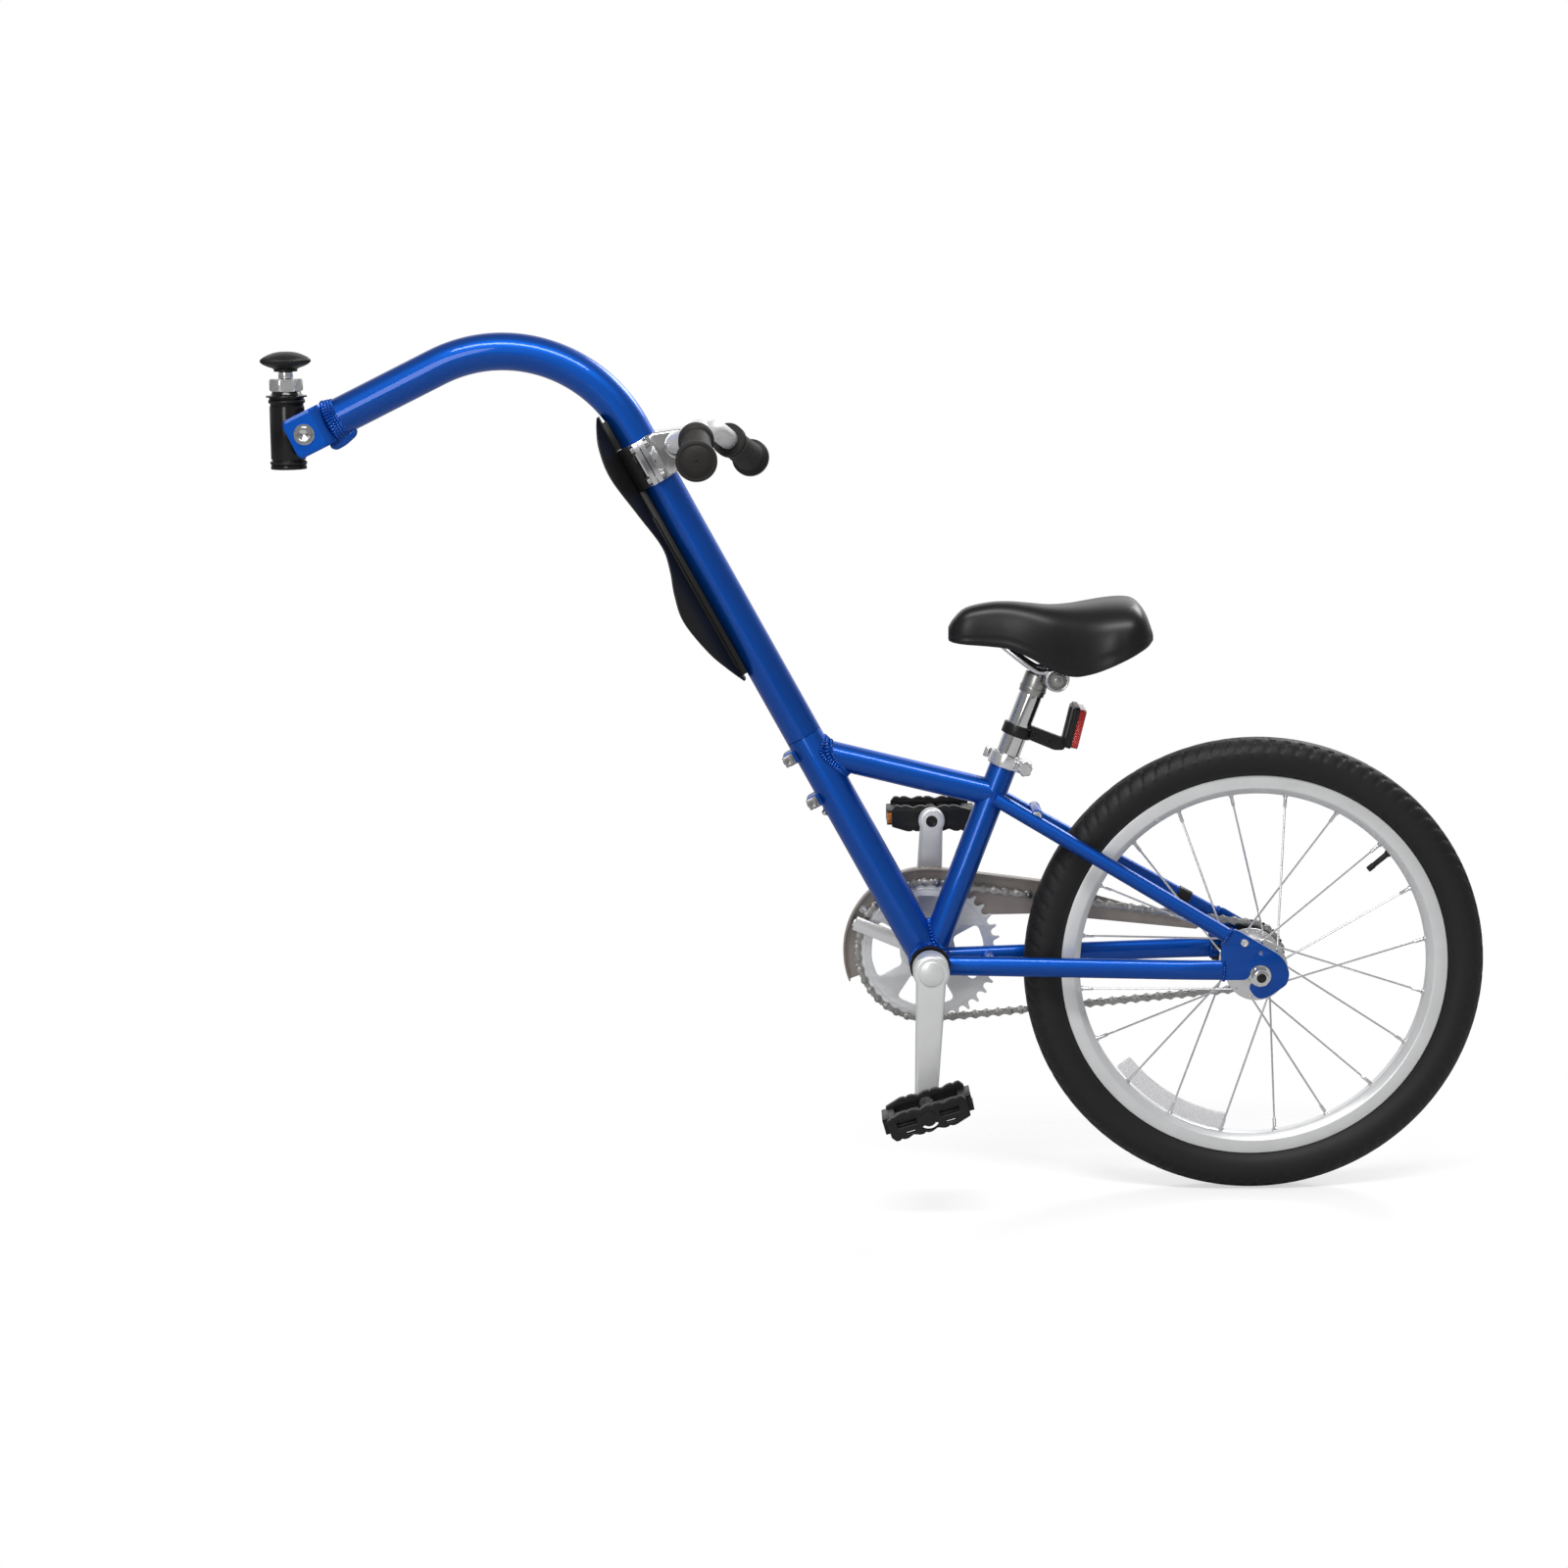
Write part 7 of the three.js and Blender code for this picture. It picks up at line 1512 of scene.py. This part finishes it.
def pedalMeshes(place):
    lie, face, reach = place @ across(0, 0), pedal["far"], pedal["far"] - pedal["plate"]
    inner, outer = pedal["near"] + 3, face - 3
    small, large = pedal["crescent"]
    crescent = arc(0, 0, large, radians(-142), radians(-38), 16)
    crescent += arc(0, 0, small, radians(-44), radians(-136), 16)
    holes = [rounded(window, 1.6) for window in oblongs(*pedal["windows"])]
    holes += [*[rounded(slit, 0.8) for slit in oblongs(*pedal["slits"])], crescent]
    bore = arc(0, 0, pedal["bore"], 0, tau * 31 / 32, 31)
    parts = [sidePlate(cageOutline(), near, near + pedal["plate"], place, 0.8, cuts)
             for near, cuts in ((pedal["near"], [bore]), (reach, holes))]
    for x0, x1, z in pedal["ribs"]:  # ribs of the outer face
        rib = oblong(x0, x1, z - pedal["ribHalf"], z + pedal["ribHalf"])
        parts.append(sidePlate(rib, face - 0.4, face + 0.7, place, 0.2))
    barrel = [(pedal["bore"], inner), (pedal["barrel"], inner), (pedal["barrel"], pedal["shoulder"][0]),
              (pedal["neck"], pedal["shoulder"][1]), (pedal["neck"], reach), (pedal["bore"], reach)]
    parts.append(turned(barrel, lie, 48, loop=True))
    parts.append(turned([(radius, face + height) for radius, height in pedal["cap"]], lie, 48))
    crossFrom, crossTo, crossHalf = pedal["crossWeb"]
    lenses = []
    for side in (-1, 1):
        low, high = onSide(side, pedal["half"] - 0.6, pedal["half"] - 0.6 - pedal["barThick"])
        parts.append(block((low, inner, -pedal["barHalf"]), (high, outer, pedal["barHalf"]), place, 0.8))
        low, high = onSide(side, pedal["webFrom"], pedal["webTo"])
        parts.append(block((low, crossFrom, -crossHalf), (high, crossTo, crossHalf), place, 0.7))
        parts.append(block((low, inner, -1.6), (high, outer, 1.6), place, 0.4))
        ends = (low, reach - 3, pedal["backLow"]), (high, reach + 0.6, pedal["backHigh"])
        parts.append(block(*ends, place, 0.3))
        root, tip = pedal["half"] - pedal["lensIn"], pedal["half"] + pedal["lensOut"]
        low, high = onSide(side, root, tip)
        lenses.append(block((low, pedal["lensFrom"], -pedal["lensHalf"]),
                            (high, pedal["lensTo"], pedal["lensHalf"]), place, 0.6))
        low, high = onSide(side, root, tip + pedal["housingOver"])
        parts += [block((low, y0, z0), (high, y1, z1), place, 0.5) for y0, y1, z0, z1 in pedal["housing"]]
    return joined(*parts), joined(*lenses)


for word, node, face, direction, tilt, flip in (
        ("Near", "left", crank["near"][0], -1, radians(-16), pi), ("Far", "right", crank["far"][0], 1, 0, 0)):
    place = crankPlace @ Matrix.Translation((0, face, crank["length"] * direction))
    place = place @ Matrix.Rotation(tilt - leans["crank"], 4, "Y") @ Matrix.Rotation(flip, 4, "Z")
    cage, lenses = pedalMeshes(place)
    setPiece("pedal" + word, cage, "blackPlastic", node + "_pedal", ["pedal_" + node])
    setPiece("pedalLenses" + word, lenses, "amberLens", node + "_pedal")

drive = {
    "pitch": 12.7, "links": 84, "ringTeeth": 38, "sprocketTeeth": 18, "plane": 42, "tooth": 5.5,
    "roller": 4.1, "windows": 4, "windowHalf": radians(31), "windowOuter": 62.5, "windowInner": 31,
    "windowCorner": 7, "ringThick": 1.5, "ringBore": 14.8, "raised": (68.6, 70.4), "raisedHalf": 2.1,
    "middle": 28, "middleHalf": 2.6, "sprocketThick": 1.3, "sprocketBore": 20,
    "freewheel": [(17, 31), (22.5, 31), (25, 33), (25, 46.5), (23.8, 48), (21.6, 49), (17, 49)],
}
ringPitch = drive["pitch"] / (2 * sin(pi / drive["ringTeeth"]))
sprocketPitch = drive["pitch"] / (2 * sin(pi / drive["sprocketTeeth"]))
wrap = asin((ringPitch - sprocketPitch) / centres)
run = sqrt(centres ** 2 - (ringPitch - sprocketPitch) ** 2) / drive["pitch"]
smallArc = drive["sprocketTeeth"] * (pi - 2 * wrap) / tau
topTurn = pi / 2 - wrap


def chainPoint(pitches):  # place of the chain's middle line after a number of pitches
    rest = pitches % drive["links"]
    along = rest * drive["pitch"]
    if rest < run:
        return ringPitch * cos(topTurn) + along * cos(wrap), ringPitch * sin(topTurn) - along * sin(wrap)
    rest -= run
    if rest < smallArc:
        angle = topTurn - rest * tau / drive["sprocketTeeth"]
        return centres + sprocketPitch * cos(angle), sprocketPitch * sin(angle)
    rest -= smallArc
    along = rest * drive["pitch"]
    if rest < run:
        x = centres + sprocketPitch * cos(topTurn) - along * cos(wrap)
        return x, -sprocketPitch * sin(topTurn) - along * sin(wrap)
    angle = -topTurn - (rest - run) * tau / drive["ringTeeth"]
    return ringPitch * cos(angle), ringPitch * sin(angle)


def toothed(teeth, radius, firstGap):
    tooth, roller = drive["tooth"], drive["roller"]
    gap = [(-tooth, 3.3), (-4.5, 0.4)]
    gap += [(roller * cos(radians(a)), roller * sin(radians(a))) for a in range(-165, -14, 25)]
    gap += [(4.5, 0.4), (tooth, 3.3)]
    outline = []
    for i in range(teeth):
        angle = firstGap + tau * i / teeth
        for side, out in gap:
            reach = radius + out
            outline.append((reach * cos(angle) - side * sin(angle), reach * sin(angle) + side * cos(angle)))
    return outline


def aboutPlane(half):  # two places of y round the chain's plane
    return drive["plane"] - half, drive["plane"] + half


x, z = chainPoint(drive["links"] - 1)
ringTeeth = toothed(drive["ringTeeth"], ringPitch, atan2(z, x) + leans["crank"] - chainSlope)
holes = []
for i in range(drive["windows"]):
    middle, half = tau * i / drive["windows"] - pi / 2, drive["windowHalf"]
    window = arc(0, 0, drive["windowOuter"], middle - half, middle + half, 3)
    window += arc(0, 0, drive["windowInner"], middle + half, middle - half, 3)
    holes.append(rounded(window, drive["windowCorner"], steps=6))
holes.append(arc(0, 0, drive["ringBore"], 0, tau * 47 / 48, 47))
crankLie = crankPlace @ across(0, 0)
setPiece("chainRing", joined(
    sidePlate(ringTeeth, *aboutPlane(drive["ringThick"]), crankPlace, 0.35, holes),
    pipe(*drive["raised"], *aboutPlane(drive["raisedHalf"]), crankLie, 0.5, 120),
    pipe(drive["ringBore"], drive["middle"], *aboutPlane(drive["middleHalf"]), crankLie, 0.8, 96),
), "silver", "crank", ["chainring"])

x, z = chainPoint(int(run) + 1)
wheelAcross = wheelPlace @ across(0, 0)
sprocketTeeth = toothed(drive["sprocketTeeth"], sprocketPitch, atan2(z, x - centres) - chainSlope)
sprocketHole = arc(0, 0, drive["sprocketBore"], 0, tau * 47 / 48, 47)
setPiece("sprocketWheel", joined(
    sidePlate(sprocketTeeth, *aboutPlane(drive["sprocketThick"]), wheelPlace, 0.3, [sprocketHole]),
    turned(drive["freewheel"], wheelAcross, 72, 0.3, loop=True),
), "blackPaint", "driver", ["sprocket"])

# Chain: inner and outer links take turns, each laid along its own chord

link = {  # a shape holds its plate's near and far y, its pin's radius and half length
    "half": 6.35, "radius": 4.1, "waist": 2.2, "turn": radians(132),
    "inner": (2.4, 3.3, 3.7, 2.5), "outer": (3.4, 4.3, 1.9, 4.9),
}


def linkMesh(inner, outer, pinRadius, pinHalf):
    half, turn = link["half"], link["turn"]
    outline = arc(half, 0, link["radius"], -turn, turn, 20) + [(0, link["waist"])]
    outline += arc(-half, 0, link["radius"], pi - turn, pi + turn, 20) + [(0, -link["waist"])]
    plain = Matrix.Identity(4)
    plates = (inner, outer), (-outer, -inner)
    parts = [sidePlate(outline, near, far, plain, 0.2, steps=1) for near, far in plates]
    parts += [bar(pinRadius, -pinHalf, pinHalf, across(x, 0), 0.25, 20) for x in (-half, half)]
    return joined(*parts)


chainMiddle = chainPlace @ Matrix.Translation((0, drive["plane"], 0))
knots = [Vector((x, 0, z)) for x, z in (chainPoint(i) for i in range(drive["links"]))]
spans = list(zip(knots, knots[1:] + knots[:1]))
links = []
for first, shape in ((0, link["inner"]), (1, link["outer"])):
    middles = [(a + b) / 2 for a, b in spans[first::2]]
    headings = [b - a for a, b in spans[first::2]]
    links.append(placedArray("chain", linkMesh(*shape), middles, headings, "steel", chainMiddle))
setPiece("rollerChain", joined(*links), "steel", "frame", ["chain"])

guard = {
    "near": 50.2, "far": 52.2, "radius": 93, "inner": 70, "thick": 2, "front": radians(201),
    "top": radians(84), "lip": 12, "lipGap": 0.1, "shoulder": (123, 77.4), "tail": (296, 23, 3.5),
    "under": [(123, 38.5), (70, 38)], "lipEnd": [(150, 69.5), (150, 67.5), (123, 75.4)], "armEdge": 0.3,
    "screw": (-70, 45), "head": (4.2, 49.9, 47.3, 2), "shank": (2.2, 48, 55), "washer": (2.3, 5, 49.5, 50.1),
}
rise = arc(0, 0, guard["radius"], guard["front"], guard["top"], 60) + [guard["shoulder"]]
face = rise + arc(*guard["tail"], pi / 2, -pi / 2, 10) + guard["under"]
face += arc(0, 0, guard["inner"], atan2(38, 70), guard["front"], 50)
lip = rise + guard["lipEnd"] + arc(0, 0, guard["radius"] - guard["thick"], guard["top"], guard["front"], 60)
guardMesh = joined(
    sidePlate(face, guard["near"], guard["far"], bracketPlace, 0.4),
    sidePlate(lip, guard["near"] - guard["lip"], guard["near"] - guard["lipGap"], bracketPlace, 0.4),
)
setPiece("chainGuard", guardMesh, "smoke", "frame", ["chain_guard"])
setPiece("guardArm", fromNode("guard_bracket", guard["armEdge"]), "bright", "frame", ["guard_bracket"])
screwLie = bracketPlace @ across(*guard["screw"])
guardScrew = joined(socketHead(*guard["head"], screwLie), bar(*guard["shank"], screwLie, 0.3, 24),
                    pipe(*guard["washer"], screwLie, 0.1))
setPiece("guardScrew", guardScrew, "bright", "frame")
print("drive built")

# Wheel: rim, tyre with shoulder notches, hub, spokes, axle and reflector

rim = [(189, -6), (196, -13), (210, -13), (210, -10.6), (206.2, -10.6)]
rim += [(r, -h) for r, h in reversed(rim)]
setPiece("wheelRim", turned(rim, wheelAcross, 180, 1.2, loop=True), "silver", "wheel", ["rim"])

tyre = {
    "half": [(206.6, 9.4), (210.3, 9.8), (210.6, 13.2), (213.5, 16.6), (220, 20.6), (228.5, 22),
             (235.5, 21.3), (238.2, 20), (240.3, 18.9), (243.2, 16.9), (245.9, 13.6), (247.9, 10),
             (248.7, 8.2), (249.6, 5), (250, 2)],
    "notches": 96, "steps": 1152,
    "shoulder": {"over": 238, "from": 8.5, "to": 20.2, "slant": 0.05, "share": 0.34, "depth": 1.5},
    "crown": {"over": 247, "to": 5.5, "slant": 0.06, "share": 0.14, "depth": 0.9},
}


def treadWave(angle, height, radius):
    reach, shoulder, crown = abs(height), tyre["shoulder"], tyre["crown"]
    notch = angle * tyre["notches"] / tau
    cut = 0
    if radius > shoulder["over"] and shoulder["from"] < reach < shoulder["to"]:
        phase = (notch + (reach - 8) * shoulder["slant"] + (0.5 if height > 0 else 0)) % 1
        cut = shoulder["depth"] if phase < shoulder["share"] else 0
    elif radius > crown["over"] and reach <= crown["to"]:
        phase = (notch / 2 + height * crown["slant"]) % 1
        cut = crown["depth"] if phase < crown["share"] else 0
    return 1 - cut / radius


tyreProfile = tyre["half"] + [(r, -h) for r, h in reversed(tyre["half"])]
tyreMesh = turned(tyreProfile, wheelAcross, tyre["steps"], loop=True, wave=treadWave)
setPiece("wheelTyre", tyreMesh, "tyre", "wheel", ["tyre"], sharp=28)

spokes = {
    "count": 20, "phase": radians(7.9), "lean": radians(36), "root": 31, "end": 188.6, "near": -29, "far": 26,
    "radius": 1.1, "head": 2, "headHalf": 2.6,
    "nipple": [(0, -1), (2.9, -1), (2.9, 1.4), (1.9, 2.2), (1.9, 12), (1.4, 13), (0, 13)],
    "hub": [(5.3, -48), (12, -48), (12.4, -40), (13.5, -33.5), (20, -31.6), (34, -30.5), (34, -27.5),
            (22, -26.4), (15, -23), (15, 20), (22, 23.4), (34, 24.5), (34, 27.5), (16.5, 27.5), (16.5, 48),
            (5.3, 48)],
}
lines = []
for i in range(spokes["count"]):
    angle = spokes["phase"] + tau * i / spokes["count"]
    turn = angle + spokes["lean"] * (1 if (i // 2) % 2 else -1)
    side = spokes["far"] if i % 2 else spokes["near"]
    lines.append((Vector((spokes["root"] * cos(turn), side, spokes["root"] * sin(turn))),
                  Vector((spokes["end"] * cos(angle), 0, spokes["end"] * sin(angle)))))
nipple = turned(spokes["nipple"], Matrix.Identity(4), 16)
ends, inward = [end for _, end in lines], [root - end for root, end in lines]
wheelParts = [
    turned(spokes["hub"], wheelAcross, 96, 0.6, loop=True),
    wires(lines, spokes["radius"], 10, "silver", wheelPlace),
    placedArray("aimed", nipple, ends, inward, "silver", wheelPlace),
]
half = spokes["headHalf"]
for root, _ in lines:
    headLie = wheelPlace @ across(root.x, root.z)
    wheelParts.append(bar(spokes["head"], root.y - half, root.y + half, headLie, 0.8, 16))
setPiece("hubAndSpokes", joined(*wheelParts), "bright", "wheel", ["hub_and_spokes"])

valve = {
    "turn": radians(39.8),
    "profile": [(0, 192), (4.2, 192), (4.2, 187.5), (3.1, 186), (2.9, 170), (2.6, 169.4), (3.3, 169),
                (3.3, 161.6), (2.6, 160.6), (0, 160.6)],
}
valvePlace = wheelPlace @ Matrix.Rotation(pi / 2 - valve["turn"], 4, "Y")
setPiece("wheelValve", turned(valve["profile"], valvePlace, 32), "blackPlastic", "wheel")

wheelLens = {"outer": 186, "inner": 168, "from": radians(-143), "to": radians(-100), "near": -10.8, "far": -5}
band = arc(0, 0, wheelLens["outer"], wheelLens["from"], wheelLens["to"], 30)
band += arc(0, 0, wheelLens["inner"], wheelLens["to"], wheelLens["from"], 30)
lens = sidePlate(rounded(band, 3), wheelLens["near"], wheelLens["far"], wheelPlace, 1.2, steps=3)
setPiece("wheelLens", lens, "clearLens", "wheel", ["wheel_reflector"])

axle = {
    "rod": (5, -74, 74), "cones": [(5.1, 9, -54.7, -48.3), (5.1, 9, 49.3, 54.7)],
    "washer": [(5.3, 61.3), (12, 61.3), (12, 62.4), (11.2, 63.3), (5.3, 63.3)],
    "nut": 10, "bore": 5.3, "nutFrom": 63.3, "nutTo": 71.8,
    "crown": [(5.3, 70), (8.2, 70), (8.2, 71.9), (7.4, 72.3), (5.3, 72.3)],
}
axleParts = [bar(*axle["rod"], wheelAcross, 0.8), *[pipe(*cone, wheelAcross, 0.5) for cone in axle["cones"]]]
setPiece("rearAxle", joined(*axleParts), "blackPaint", "frame", ["rear_axle"])
for name, node, side in (("axleNutNear", "axle_nut_left", -1), ("axleNutFar", "axle_nut_right", 1)):
    nut = joined(
        turned(mirrored(axle["washer"], side), wheelAcross, 72, loop=True),
        hexNut(axle["nut"], axle["bore"], *onSide(side, axle["nutFrom"], axle["nutTo"]), wheelAcross),
        turned(mirrored(axle["crown"], side), wheelAcross, 48, loop=True),
    )
    setPiece(name, nut, "chrome", "frame", [node])
print("wheel built")

print("scene ready")
